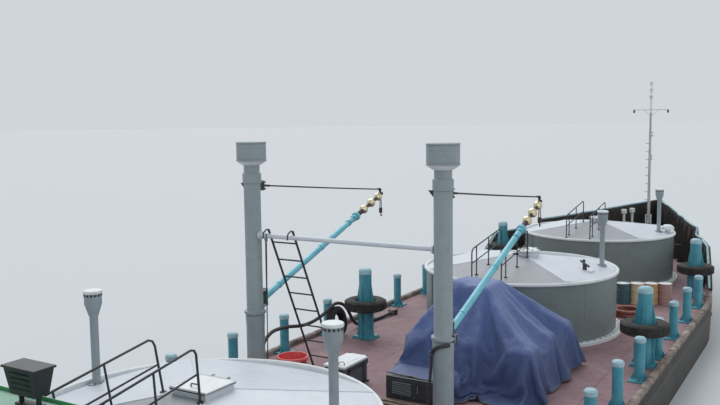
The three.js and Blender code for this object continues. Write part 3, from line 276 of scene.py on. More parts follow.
def ringTree():  # the given piece, made about its own Z axis, copied round it and then put in place
    tree, given = nodeTree("ringOfCopies", [("Count", "Int"), ("Turn", "Vector"), ("Place", "Vector")])
    line = addNode(tree, "GeometryNodeMeshLine", {"Count": given["Count"], "Offset": (0, 0, 0)})
    index = addNode(tree, "GeometryNodeInputIndex").outputs[0]
    step = addNode(tree, "ShaderNodeMath", {0: 2 * math.pi, 1: given["Count"]}, operation="DIVIDE")
    angle = addNode(tree, "ShaderNodeMath", {0: index, 1: step.outputs[0]}, operation="MULTIPLY")
    spin = addNode(tree, "ShaderNodeCombineXYZ", {"Z": angle.outputs[0]})
    copies = addNode(tree, "GeometryNodeInstanceOnPoints", {
        "Points": line.outputs[0], "Instance": given["Geometry"], "Rotation": spin.outputs[0]})
    put = addNode(tree, "GeometryNodeTransform", {
        "Geometry": copies.outputs[0], "Translation": given["Place"], "Rotation": given["Turn"]})
    return endTree(tree, put.outputs[0], given)


def boltTree():  # a hexagon head at each point, along the point's own facing
    tree, given = nodeTree("boltsAtPoints", [("Width", "Float"), ("Height", "Float")])
    head = addNode(tree, "GeometryNodeMeshCylinder", {
        "Vertices": 6, "Radius": given["Width"], "Depth": given["Height"]})
    facing = addNode(tree, "GeometryNodeInputNamedAttribute", {"Name": "facing"}, data_type="FLOAT_VECTOR")
    align = addNode(tree, "FunctionNodeAlignEulerToVector", {"Vector": facing.outputs[0]}, axis="Z")
    copies = addNode(tree, "GeometryNodeInstanceOnPoints", {
        "Points": given["Geometry"], "Instance": head.outputs["Mesh"], "Rotation": align.outputs[0]})
    return endTree(tree, copies.outputs[0], given)


def railingTree():  # posts along a path, with a top rail and a lower rail
    tree, given = nodeTree("railing", [("Height", "Float"), ("Spacing", "Float"), ("Pipe", "Float"), ("Lower", "Float")])
    path = addNode(tree, "GeometryNodeMeshToCurve", {"Mesh": given["Geometry"]})
    spots = addNode(tree, "GeometryNodeResampleCurve", {
        "Curve": path.outputs[0], "Length": given["Spacing"]}, mode="LENGTH")
    half = addNode(tree, "ShaderNodeMath", {0: given["Height"], 1: 0.5}, operation="MULTIPLY")
    rise = addNode(tree, "ShaderNodeCombineXYZ", {"Z": half.outputs[0]})
    post = addNode(tree, "GeometryNodeMeshCylinder", {
        "Vertices": 10, "Radius": given["Pipe"], "Depth": given["Height"]})
    lifted = addNode(tree, "GeometryNodeTransform", {"Geometry": post.outputs["Mesh"], "Translation": rise.outputs[0]})
    posts = addNode(tree, "GeometryNodeInstanceOnPoints", {
        "Points": spots.outputs[0], "Instance": lifted.outputs[0]})
    ring = addNode(tree, "GeometryNodeCurvePrimitiveCircle", {"Resolution": 10, "Radius": given["Pipe"]})
    joined = addNode(tree, "GeometryNodeJoinGeometry", {"Geometry": posts.outputs[0]})
    for level in ("Height", "Lower"):
        up = addNode(tree, "ShaderNodeCombineXYZ", {"Z": given[level]})
        raised = addNode(tree, "GeometryNodeSetPosition", {"Geometry": path.outputs[0], "Offset": up.outputs[0]})
        rail = addNode(tree, "GeometryNodeCurveToMesh", {
            "Curve": raised.outputs[0], "Profile Curve": ring.outputs[0], "Fill Caps": True})
        tree.links.new(rail.outputs[0], joined.inputs[0])
    return endTree(tree, joined.outputs[0], given)


def chainTree():  # links along a path, every other one turned by a quarter
    tree, given = nodeTree("chain", [("Pitch", "Float"), ("Wire", "Float")])
    path = addNode(tree, "GeometryNodeMeshToCurve", {"Mesh": given["Geometry"]})
    spots = addNode(tree, "GeometryNodeResampleCurve", {
        "Curve": path.outputs[0], "Length": given["Pitch"]}, mode="LENGTH")
    stretch = addNode(tree, "ShaderNodeCombineXYZ", {"X": 0.62, "Y": 1.0, "Z": 1.0})
    loop = addNode(tree, "GeometryNodeCurvePrimitiveCircle", {"Resolution": 10, "Radius": given["Pitch"]})
    oval = addNode(tree, "GeometryNodeTransform", {"Geometry": loop.outputs[0], "Scale": stretch.outputs[0]})
    wire = addNode(tree, "GeometryNodeCurvePrimitiveCircle", {"Resolution": 5, "Radius": given["Wire"]})
    link = addNode(tree, "GeometryNodeCurveToMesh", {"Curve": oval.outputs[0], "Profile Curve": wire.outputs[0]})
    tangent = addNode(tree, "GeometryNodeInputTangent")
    align = addNode(tree, "FunctionNodeAlignEulerToVector", {"Vector": tangent.outputs[0]}, axis="Y")
    odd = addNode(tree, "ShaderNodeMath", {
        0: addNode(tree, "GeometryNodeInputIndex").outputs[0], 1: 2.0}, operation="MODULO")
    angle = addNode(tree, "ShaderNodeMath", {0: odd.outputs[0], 1: quarter}, operation="MULTIPLY")
    twist = addNode(tree, "ShaderNodeCombineXYZ", {"Y": angle.outputs[0]})
    turned = addNode(tree, "FunctionNodeRotateEuler", {
        "Rotation": align.outputs[0], "Rotate By": twist.outputs[0]}, space="LOCAL")
    copies = addNode(tree, "GeometryNodeInstanceOnPoints", {
        "Points": spots.outputs[0], "Instance": link.outputs[0], "Rotation": turned.outputs[0]})
    return endTree(tree, copies.outputs[0], given)


def grow(name, tree, base, finish, body="vessel", slot=None, replaced=(), sharp=32, **values):
    obj = linked(name, base)
    modifier = obj.modifiers.new("grow", "NODES")
    modifier.node_group = tree
    values["Finish"] = finish
    for item in tree.interface.items_tree:
        if item.in_out == "INPUT" and item.name in values:
            modifier[item.identifier] = values[item.name]
    obj.update_tag()
    evaluated = obj.evaluated_get(bpy.context.evaluated_depsgraph_get())
    mesh = bpy.data.meshes.new_from_object(evaluated)
    obj.modifiers.clear()
    obj.data = mesh
    mesh.set_sharp_from_angle(angle=math.radians(sharp))
    return declare(obj, body, replaced)


def pointMesh(spots):  # points with the way that each one faces
    mesh = bpy.data.meshes.new("spots")
    mesh.from_pydata([place for place, _ in spots], [], [])
    facing = mesh.attributes.new("facing", "FLOAT_VECTOR", "POINT")
    facing.data.foreach_set("vector", [x for _, way in spots for x in way])
    return mesh


def pathMesh(*paths):
    verts, edges = [], []
    for path in paths:
        start = len(verts)
        verts += [tuple(point) for point in path]
        edges += [(start + i, start + i + 1) for i in range(len(path) - 1)]
    mesh = bpy.data.meshes.new("path")
    mesh.from_pydata(verts, edges, [])
    return mesh


def meshOf(bm):
    bmesh.ops.recalc_face_normals(bm, faces=bm.faces)
    mesh = bpy.data.meshes.new("shape")
    bm.to_mesh(mesh)
    bm.free()
    return mesh


# Points of one smooth line through the given ones, as the CAD route runs
def smoothRoute(points, steps=8):
    points = [Vector(point) for point in points]
    padded = [points[0] * 2 - points[1], *points, points[-1] * 2 - points[-2]]
    line = []
    for i in range(1, len(padded) - 2):
        p0, p1, p2, p3 = padded[i - 1:i + 3]
        for k in range(steps):
            t = k / steps
            line.append(((p1 * 2) + (p2 - p0) * t + (p0 * 2 - p1 * 5 + p2 * 4 - p3) * t * t
                         + (p1 * 3 - p0 - p2 * 3 + p3) * t ** 3) / 2)
    return [*line, points[-1]]


rowOfCopies, ringOfCopies, boltsAtPoints = rowTree(), ringTree(), boltTree()
railing, chain = railingTree(), chainTree()
print("tools ready")


# Camera at the photograph's angle, floor at the waterline and soft light
cameraView = {"place": (7.092, -17.2, 7.638), "heading": 30.97, "pitch": 5.889, "roll": 0.672, "lens": 41.06}


def makeCamera():
    heading, pitch, roll = [math.radians(cameraView[key]) for key in ("heading", "pitch", "roll")]
    forward = Vector((-math.sin(heading) * math.cos(pitch), math.cos(heading) * math.cos(pitch), -math.sin(pitch)))
    right = Vector((math.cos(heading), math.sin(heading), 0))
    up = right.cross(forward)
    rolled = right * math.cos(roll) - up * math.sin(roll)
    upright = rolled.cross(forward)
    camera = linked("camera", bpy.data.cameras.new("camera"))
    camera.data.lens = cameraView["lens"]
    camera.data.sensor_width = 36
    camera.data.clip_end = 2000
    basis = Matrix((rolled, upright, -forward)).transposed().to_4x4()
    camera.matrix_world = Matrix.Translation(cameraView["place"]) @ basis
    bpy.context.scene.camera = camera


studio = {
    "floor": "#c9ccce", "floorReach": 600, "sky": "#dfe5ea", "skyStrength": 0.85,
    "sunStrength": 1.5, "sunSpread": 50, "sunFrom": (-0.55, 0.6, 0.9), "fillStrength": 0.25, "fillFrom": (0.7, -0.6, 0.6),
}


def makeStudio():
    bm = bmesh.new()
    reach = studio["floorReach"]
    bmesh.ops.create_circle(bm, cap_ends=True, radius=reach, segments=64)
    mesh = meshOf(bm)
    mesh.transform(Matrix.Translation((0, 0, waterline)))
    material = bpy.data.materials.new("matte pale floor")
    material.use_nodes = True
    shader = material.node_tree.nodes["Principled BSDF"]
    shader.inputs["Base Color"].default_value = toLinear(studio["floor"])
    shader.inputs["Roughness"].default_value = 0.9
    mesh.materials.append(material)
    linked("floor", mesh)
    world = bpy.data.worlds.new("soft sky")
    world.use_nodes = True
    world.node_tree.nodes["Background"].inputs["Color"].default_value = toLinear(studio["sky"])
    world.node_tree.nodes["Background"].inputs["Strength"].default_value = studio["skyStrength"]
    bpy.context.scene.world = world
    for name in ("sun", "fill"):
        light = bpy.data.lights.new(name, "SUN")
        light.energy = studio[name + "Strength"]
        light.angle = math.radians(studio["sunSpread"])
        lamp = linked(name, light)
        lamp.matrix_world = turnTo(studio[name + "From"])


makeCamera()
makeStudio()
bpy.context.scene.view_settings.view_transform = "Standard"
print("camera and studio ready")


# Finishes. Sizes are real ones in millimetres.
def perMetre(millimetres):
    return 1000 / millimetres


def newFinish(name):
    material = bpy.data.materials.new(name)
    material.use_nodes = True
    tree = material.node_tree
    return material, tree, tree.nodes["Principled BSDF"]


def steelPaint(name, look):
    material, tree, shader = newFinish(name)
    place = addNode(tree, "ShaderNodeTexCoord").outputs["Object"]

    def spots(size, low, high, detail=4.0, vector=place, top=1.0):
        pattern = addNode(tree, "ShaderNodeTexNoise", {
            "Vector": vector, "Scale": perMetre(size), "Detail": detail, "Roughness": 0.6})
        return addNode(tree, "ShaderNodeMapRange", {
            "Value": pattern.outputs[0], "From Min": low, "From Max": high, "To Max": top}).outputs[0]

    def over(under, colour, amount):
        other = toLinear(colour) if isinstance(colour, str) else colour
        return addNode(tree, "ShaderNodeMix", {0: amount, 6: under, 7: other}, data_type="RGBA").outputs[2]

    fade = spots(look.get("fadeSize", 900), 0.35, 0.7, top=look.get("fade", 0.6))
    colour = over(toLinear(look["colour"]), look["faded"], fade)
    colour = over(colour, look["dirt"], spots(look.get("dirtSize", 160), 0.5, 0.8, 6.0, top=look.get("dirtAmount", 0.35)))
    parts = addNode(tree, "ShaderNodeSeparateXYZ", {"Vector": place})
    ridges = None
    if "plates" in look:
        length, width, axes = look["plates"]
        flat = addNode(tree, "ShaderNodeCombineXYZ", {"X": parts.outputs[axes[0]], "Y": parts.outputs[axes[1]]})
        seams = addNode(tree, "ShaderNodeTexBrick", {
            "Vector": flat.outputs[0], "Scale": 1.0, "Mortar Size": 0.012, "Mortar Smooth": 0.6,
            "Brick Width": length / 1000, "Row Height": width / 1000})
        ridges = seams.outputs["Fac"]
        colour = over(colour, look["dirt"], addNode(
            tree, "ShaderNodeMath", {0: ridges, 1: 0.55}, operation="MULTIPLY").outputs[0])
    stretched = addNode(tree, "ShaderNodeMapping", {"Vector": place, "Scale": (1.0, 1.0, look.get("streakFlow", 0.06))})
    streaks = spots(look.get("streakWidth", 45), 0.62 - 0.12 * look["streaks"], 0.8, 3.0, stretched.outputs[0])
    patches = spots(look.get("patchSize", 1400), 0.5, 0.72)
    run = addNode(tree, "ShaderNodeMath", {0: streaks, 1: patches}, operation="MULTIPLY").outputs[0]
    run = addNode(tree, "ShaderNodeMath", {0: run, 1: look["streaks"]}, operation="MULTIPLY").outputs[0]
    colour = over(colour, look["rust"], run)
    chips = spots(look.get("chipSize", 60), 0.74 - 0.2 * look["chips"], 0.77 - 0.2 * look["chips"], 8.0)
    colour = over(colour, look["rust"], chips)
    for low, high, shade, amount in look.get("levels", []):  # a colour that ends at a height, such as below a waterline
        edge = addNode(tree, "ShaderNodeMapRange", {
            "Value": parts.outputs["Z"], "From Min": high, "From Max": low, "To Max": amount})
        ragged = addNode(tree, "ShaderNodeMath", {
            0: edge.outputs[0], 1: spots(90, 0.2, 0.5, 5.0)}, operation="MULTIPLY")
        colour = over(colour, shade, ragged.outputs[0] if look.get("ragged") else edge.outputs[0])
    tree.links.new(colour, shader.inputs["Base Color"])
    worn = addNode(tree, "ShaderNodeMath", {0: chips, 1: run}, operation="MAXIMUM").outputs[0]
    dull = addNode(tree, "ShaderNodeMapRange", {
        "Value": worn, "To Min": look["roughness"], "To Max": 0.9})
    tree.links.new(dull.outputs[0], shader.inputs["Roughness"])
    shader.inputs["IOR"].default_value = 1.5
    brush = spots(look.get("brushSize", 9), 0.2, 0.8, 3.0)
    wave = spots(look.get("waveSize", 420), 0.3, 0.7, 2.0)
    height = addNode(tree, "ShaderNodeMath", {0: wave, 1: 5.0, 2: brush}, operation="MULTIPLY_ADD").outputs[0]
    height = addNode(tree, "ShaderNodeMath", {0: worn, 1: -0.8, 2: height}, operation="MULTIPLY_ADD").outputs[0]
    if ridges:
        height = addNode(tree, "ShaderNodeMath", {0: ridges, 1: 4.0, 2: height}, operation="MULTIPLY_ADD").outputs[0]
    bump = addNode(tree, "ShaderNodeBump", {
        "Height": height, "Strength": 1.0, "Distance": look.get("relief", 0.9) / 1000})
    tree.links.new(bump.outputs[0], shader.inputs["Normal"])
    return material


# Two-part deck paint rolled on steel plate: chalky red-brown, trodden pale, dirty along the welds
deckPaint = steelPaint("worn red-brown deck paint", {
    "colour": "#84656a", "faded": "#9c8286", "dirt": "#57464a", "rust": "#66493c", "streaks": 0.15, "chips": 0.16,
    "chipSize": 110, "roughness": 0.72, "fadeSize": 700, "plates": (6000, 1500, "YX"), "relief": 1.2, "dirtAmount": 0.65,
})
# Bitumen-black side paint over plating, salt-greyed and rubbed brown, red antifouling below the water
hullPaint = steelPaint("worn black hull paint", {
    "colour": "#2d2b28", "faded": "#4a463f", "dirt": "#242220", "rust": "#6e4a34", "streaks": 0.6, "chips": 0.45,
    "roughness": 0.6, "plates": (6000, 1300, "YZ"), "relief": 1.5, "levels": [(1.34, 1.46, "#5f2c26", 1.0)],
})
# Kerb paint scraped by hawsers: brown with pale bare scuffs
kerbPaint = steelPaint("scraped brown kerb paint", {
    "colour": "#57453c", "faded": "#c6bbb1", "fade": 0.6, "fadeSize": 260, "dirt": "#3c332d", "rust": "#5c3d2d",
    "streaks": 0.3, "chips": 0.5, "roughness": 0.75, "dirtAmount": 0.6, "relief": 1.6,
})
# Alkyd enamel brushed on plate: satin mid grey with soft dents and a few rust runs
tankPaint = steelPaint("satin grey tank enamel", {
    "colour": "#6f7a7a", "faded": "#7f8989", "dirt": "#5d6461", "rust": "#74604f", "streaks": 0.4, "chips": 0.05,
    "roughness": 0.42, "relief": 1.1, "waveSize": 700,
})
aftTankPaint = steelPaint("paler grey tank enamel", {
    "colour": "#7f8b8d", "faded": "#8f9a9c", "dirt": "#68706f", "rust": "#74604f", "streaks": 0.4, "chips": 0.05,
    "roughness": 0.42, "relief": 1.1, "waveSize": 700,
})
postPaint = steelPaint("satin grey post enamel", {
    "colour": "#8a959b", "faded": "#9ca5aa", "dirt": "#70797b", "rust": "#6d5a48", "streaks": 0.3, "chips": 0.12,
    "roughness": 0.45, "relief": 0.8, "chipSize": 45,
})
# Roof coat, thicker and chalked nearly white by the sun. Its darker copy below is painted shade for the aft-facing roof
# plates.
roofPaint = steelPaint("chalked pale roof enamel", {
    "colour": "#c6ccd4", "faded": "#d6dbe1", "dirt": "#a3a8ad", "rust": "#8b7764", "streaks": 0.08, "chips": 0.06,
    "roughness": 0.4, "relief": 1.0, "dirtAmount": 0.3, "streakFlow": 1.0,
})
# The roof coat darkened: painted shade on the aft-facing quarter of each tank roof, which faces away from the light
shadedRoofPaint = steelPaint("roof enamel darkened as painted shade", {
    "colour": "#84888f", "faded": "#93979d", "dirt": "#6c7076", "rust": "#77685a", "streaks": 0.08, "chips": 0.06,
    "roughness": 0.45, "relief": 1.0, "dirtAmount": 0.3, "streakFlow": 1.0,
})
rimPaint = steelPaint("white rim enamel", {
    "colour": "#dfe3e5", "faded": "#ced3d4", "dirt": "#a9a9a2", "rust": "#80604b", "streaks": 0.3, "chips": 0.12,
    "roughness": 0.45, "relief": 0.7, "fadeSize": 400,
})
# Gloss enamel, many coats, knocked by ropes down to rust
postBlue = steelPaint("turquoise mooring enamel", {
    "colour": "#3f8b9d", "faded": "#5fa5b2", "dirt": "#2f5d66", "rust": "#5b4436", "streaks": 0.4, "chips": 0.35,
    "chipSize": 40, "roughness": 0.42, "relief": 0.8, "fadeSize": 300,
})
# Pale cap coat: real rope wear, with a painted highlight that lightens the tops of posts and bitts, the bulwark cap and
# the boom-end flange
capWearAndHighlightPaint = steelPaint("rope-worn pale cap enamel with painted highlight", {
    "colour": "#8fb5bf", "faded": "#b4cbd2", "dirt": "#5f8790", "rust": "#5b4436", "streaks": 0.1, "chips": 0.3,
    "chipSize": 30, "roughness": 0.5, "relief": 0.8, "fadeSize": 120,
})
boomPaint = steelPaint("light blue boom enamel", {
    "colour": "#62b3c5", "faded": "#85cbd8", "dirt": "#4c8b98", "rust": "#6b5442", "streaks": 0.1, "chips": 0.14,
    "chipSize": 35, "roughness": 0.35, "relief": 0.6, "fadeSize": 350,
})
whitePaint = steelPaint("gloss white house enamel", {
    "colour": "#dcdfde", "faded": "#cfd4d3", "dirt": "#b3b2a8", "rust": "#8a5f44", "streaks": 0.35, "chips": 0.08,
    "roughness": 0.35, "relief": 0.9, "plates": (3000, 1200, "YZ"), "dirtAmount": 0.25,
})
mastPaint = steelPaint("gloss white spar enamel", {
    "colour": "#e2e5e6", "faded": "#d2d8da", "dirt": "#b2b4ae", "rust": "#8a5f44", "streaks": 0.2, "chips": 0.06,
    "roughness": 0.3, "relief": 0.4,
})
greenPaint = steelPaint("matt pale green roof paint", {
    "colour": "#8fb7a5", "faded": "#a6cab8", "dirt": "#6f9080", "rust": "#7b6a52", "streaks": 0.1, "chips": 0.12,
    "roughness": 0.65, "relief": 1.0, "plates": (3000, 1500, "YX"),
})
fasciaPaint = steelPaint("green fascia enamel", {
    "colour": "#2f8a52", "faded": "#4a9c69", "dirt": "#276843", "rust": "#6b5442", "streaks": 0.3, "chips": 0.2,
    "chipSize": 40, "roughness": 0.4, "relief": 0.7, "fadeSize": 350,
})
blackPaint = steelPaint("matt black enamel", {
    "colour": "#2b2e33", "faded": "#3b3f44", "dirt": "#4a4641", "rust": "#6a4a36", "streaks": 0.2, "chips": 0.2,
    "chipSize": 30, "roughness": 0.55, "relief": 0.6, "fadeSize": 250,
})
lampBlack = steelPaint("satin black lamp enamel", {
    "colour": "#1f2225", "faded": "#2b2f33", "dirt": "#34322f", "rust": "#4f3a2e", "streaks": 0.1, "chips": 0.1,
    "chipSize": 30, "roughness": 0.45, "relief": 0.4, "fadeSize": 250,
})
greyGear = steelPaint("dull grey gear enamel", {
    "colour": "#6d7677", "faded": "#838b8b", "dirt": "#4f5453", "rust": "#684a38", "streaks": 0.35, "chips": 0.3,
    "chipSize": 50, "roughness": 0.55, "relief": 0.9, "fadeSize": 350,
})
darkGear = steelPaint("dark grey gear enamel", {
    "colour": "#53585e", "faded": "#666b70", "dirt": "#3d4043", "rust": "#5c4334", "streaks": 0.3, "chips": 0.25,
    "chipSize": 50, "roughness": 0.55, "relief": 0.9, "fadeSize": 350,
})
redLead = steelPaint("red lead primer", {
    "colour": "#7c3a30", "faded": "#8d4a3e", "dirt": "#52302a", "rust": "#5f4030", "streaks": 0.3, "chips": 0.3,
    "roughness": 0.7, "relief": 1.0,
})


def plainFinish(name, look):
    material, tree, shader = newFinish(name)
    place = addNode(tree, "ShaderNodeTexCoord").outputs["Object"]
    blotch = addNode(tree, "ShaderNodeTexNoise", {
        "Vector": place, "Scale": perMetre(look["blotchSize"]), "Detail": 5.0})
    grain = addNode(tree, "ShaderNodeTexNoise", {
        "Vector": place, "Scale": perMetre(look["grainSize"]), "Detail": 3.0})
    share = addNode(tree, "ShaderNodeMapRange", {"Value": blotch.outputs[0], "From Min": 0.35, "From Max": 0.7})
    mixed = addNode(tree, "ShaderNodeMix", {
        0: share.outputs[0], 6: toLinear(look["colour"]), 7: toLinear(look["other"])}, data_type="RGBA")
    tree.links.new(mixed.outputs[2], shader.inputs["Base Color"])
    dull = addNode(tree, "ShaderNodeMapRange", {
        "Value": grain.outputs[0], "To Min": look["roughness"] - 0.08, "To Max": look["roughness"] + 0.08})
    tree.links.new(dull.outputs[0], shader.inputs["Roughness"])
    bump = addNode(tree, "ShaderNodeBump", {
        "Height": grain.outputs[0], "Strength": 1.0, "Distance": look["relief"] / 1000})
    tree.links.new(bump.outputs[0], shader.inputs["Normal"])
    shader.inputs["Metallic"].default_value = look.get("metallic", 0.0)
    for key, value in look.get("sockets", {}).items():
        shader.inputs[key].default_value = value
    return material


# Vulcanised tyre rubber, greyed by sun and dust
tyreRubber = plainFinish("weathered tyre rubber", {
    "colour": "#262526", "other": "#45413f", "blotchSize": 120, "grainSize": 6, "roughness": 0.85, "relief": 0.8,
    "sockets": {"IOR": 1.52}})
# Moulded polyethylene: waxy red with a dull handled rim
redPlastic = plainFinish("moulded red polyethylene", {
    "colour": "#c8323a", "other": "#d65356", "blotchSize": 180, "grainSize": 3, "roughness": 0.42, "relief": 0.15,
    "sockets": {"IOR": 1.5}})
redRim = plainFinish("scuffed pale red polyethylene", {
    "colour": "#dd6a68", "other": "#e58d89", "blotchSize": 120, "grainSize": 3, "roughness": 0.5, "relief": 0.2,
    "sockets": {"IOR": 1.5}})
brass = plainFinish("handled brass", {
    "colour": "#e6dcc0", "other": "#cbbc90", "blotchSize": 60, "grainSize": 4, "roughness": 0.26, "relief": 0.1,
    "metallic": 1.0})
bronze = plainFinish("cast propeller bronze", {
    "colour": "#9a7440", "other": "#6f6a4c", "blotchSize": 150, "grainSize": 5, "roughness": 0.4, "relief": 0.3,
    "metallic": 1.0})
bareSteel = plainFinish("oiled bare steel", {
    "colour": "#77777a", "other": "#5c5550", "blotchSize": 70, "grainSize": 4, "roughness": 0.42, "relief": 0.2,
    "metallic": 1.0})
glass = plainFinish("dusty window glass", {
    "colour": "#1d262b", "other": "#2c363b", "blotchSize": 400, "grainSize": 20, "roughness": 0.14, "relief": 0.02,
    "sockets": {"IOR": 1.52, "Alpha": 0.82}})
lampGlass = plainFinish("frosted lamp glass", {
    "colour": "#e9ecec", "other": "#d8dcdd", "blotchSize": 60, "grainSize": 2, "roughness": 0.22, "relief": 0.05,
    "sockets": {"IOR": 1.52, "Transmission Weight": 0.25}})
redGlass = plainFinish("red lamp glass", {
    "colour": "#a51f1f", "other": "#8c1a1a", "blotchSize": 60, "grainSize": 2, "roughness": 0.2, "relief": 0.05})
greenGlass = plainFinish("green lamp glass", {
    "colour": "#1f7a4a", "other": "#19653d", "blotchSize": 60, "grainSize": 2, "roughness": 0.2, "relief": 0.05})
# Varnished oak for the helm wheel, and painted orange canvas for the lifebuoys
varnishedOak = plainFinish("varnished oak", {
    "colour": "#7a4f2c", "other": "#5d3a1f", "blotchSize": 45, "grainSize": 2, "roughness": 0.3, "relief": 0.15,
    "sockets": {"Coat Weight": 0.6, "Coat Roughness": 0.15}})
orangeCanvas = plainFinish("painted orange canvas", {
    "colour": "#d8622a", "other": "#c45422", "blotchSize": 90, "grainSize": 3, "roughness": 0.7, "relief": 0.4})
rustyBlack = steelPaint("rust-stained black enamel", {
    "colour": "#332c2a", "faded": "#4a3a34", "dirt": "#2a2422", "rust": "#6a4232", "streaks": 0.3, "chips": 0.6,
    "chipSize": 20, "roughness": 0.6, "relief": 0.6, "fadeSize": 80,
})
yellowPaint = steelPaint("yellow enamel", {
    "colour": "#d8b23c", "faded": "#e2c664", "dirt": "#8c7434", "rust": "#6b5442", "streaks": 0.1, "chips": 0.25,
    "chipSize": 25, "roughness": 0.45, "relief": 0.6, "fadeSize": 120,
})
drumColours = [("teal", "#36575f", "#466a70"), ("cream", "#c9b791", "#d8c9a8"), ("tan", "#b98f63", "#c8a47a"),
               ("pink", "#a5817d", "#b3928e")]
drumPaints = [steelPaint("faded " + word + " drum enamel", {
    "colour": main, "faded": pale, "dirt": "#5b5248", "rust": "#6b4a36", "streaks": 0.5, "chips": 0.35, "chipSize": 35,
    "roughness": 0.5, "relief": 0.8, "fadeSize": 200}) for word, main, pale in drumColours]


# Cord finishes follow the piece's own UV map: u round the cord, v along it in metres
def cordFinish(name, look):
    material, tree, shader = newFinish(name)
    way = addNode(tree, "ShaderNodeUVMap", uv_map="along").outputs[0]
    laid = addNode(tree, "ShaderNodeMapping", {
        "Vector": way, "Rotation": (0, 0, look["slant"]), "Scale": (look["round"], perMetre(look["pitch"]), 1)})
    ribs = addNode(tree, "ShaderNodeTexWave", {
        "Vector": laid.outputs[0], "Scale": 0.318, "Distortion": 0.0}, bands_direction="Y")
    soil = addNode(tree, "ShaderNodeTexNoise", {
        "Vector": addNode(tree, "ShaderNodeTexCoord").outputs["Object"], "Scale": perMetre(90), "Detail": 5.0})
    share = addNode(tree, "ShaderNodeMapRange", {"Value": soil.outputs[0], "From Min": 0.35, "From Max": 0.65})
    mixed = addNode(tree, "ShaderNodeMix", {
        0: share.outputs[0], 6: toLinear(look["colour"]), 7: toLinear(look["secondTone"])}, data_type="RGBA")
    # The grooves between ribs and strands are mixed towards near-black: painted shade in the grooves
    dark = addNode(tree, "ShaderNodeMapRange", {
        "Value": ribs.outputs["Fac"], "To Min": look["grooveShade"], "To Max": 0.0})
    shaded = addNode(tree, "ShaderNodeMix", {
        0: dark.outputs[0], 6: mixed.outputs[2], 7: toLinear("#1b1816")}, data_type="RGBA")
    tree.links.new(shaded.outputs[2], shader.inputs["Base Color"])
    shader.inputs["Roughness"].default_value = look["roughness"]
    bump = addNode(tree, "ShaderNodeBump", {
        "Height": ribs.outputs["Fac"], "Strength": 1.0, "Distance": look["relief"] / 1000})
    tree.links.new(bump.outputs[0], shader.inputs["Normal"])
    return material


# Wire-ribbed rubber suction hose, a smooth rubber wash hose and three-strand laid rope
blackHose = cordFinish("wire-ribbed black rubber", {
    "colour": "#232324", "secondTone": "#3d3a38", "slant": 0.0, "round": 1.0, "pitch": 22, "grooveShade": 0.5,
    "roughness": 0.62, "relief": 4})
smoothHose = cordFinish("smooth black rubber", {
    "colour": "#202123", "secondTone": "#353537", "slant": 0.0, "round": 1.0, "pitch": 8, "grooveShade": 0.15,
    "roughness": 0.55, "relief": 0.6})
redHose = cordFinish("red-brown wash hose rubber", {
    "colour": "#84463c", "secondTone": "#9b6457", "slant": 0.0, "round": 1.0, "pitch": 12, "grooveShade": 0.2,
    "roughness": 0.6, "relief": 1.0})
creamRope = cordFinish("three-strand cream rope", {
    "colour": "#c3b59a", "secondTone": "#8f8370", "slant": 0.6, "round": 3.0, "pitch": 40, "grooveShade": 0.7,
    "roughness": 0.85, "relief": 6})
deepGreen = steelPaint("dark green enamel", {
    "colour": "#1f4a3a", "faded": "#2f5c4a", "dirt": "#22332c", "rust": "#6b4a36", "streaks": 0.2, "chips": 0.2,
    "chipSize": 30, "roughness": 0.45, "relief": 0.6, "fadeSize": 200,
})
print("finishes ready")


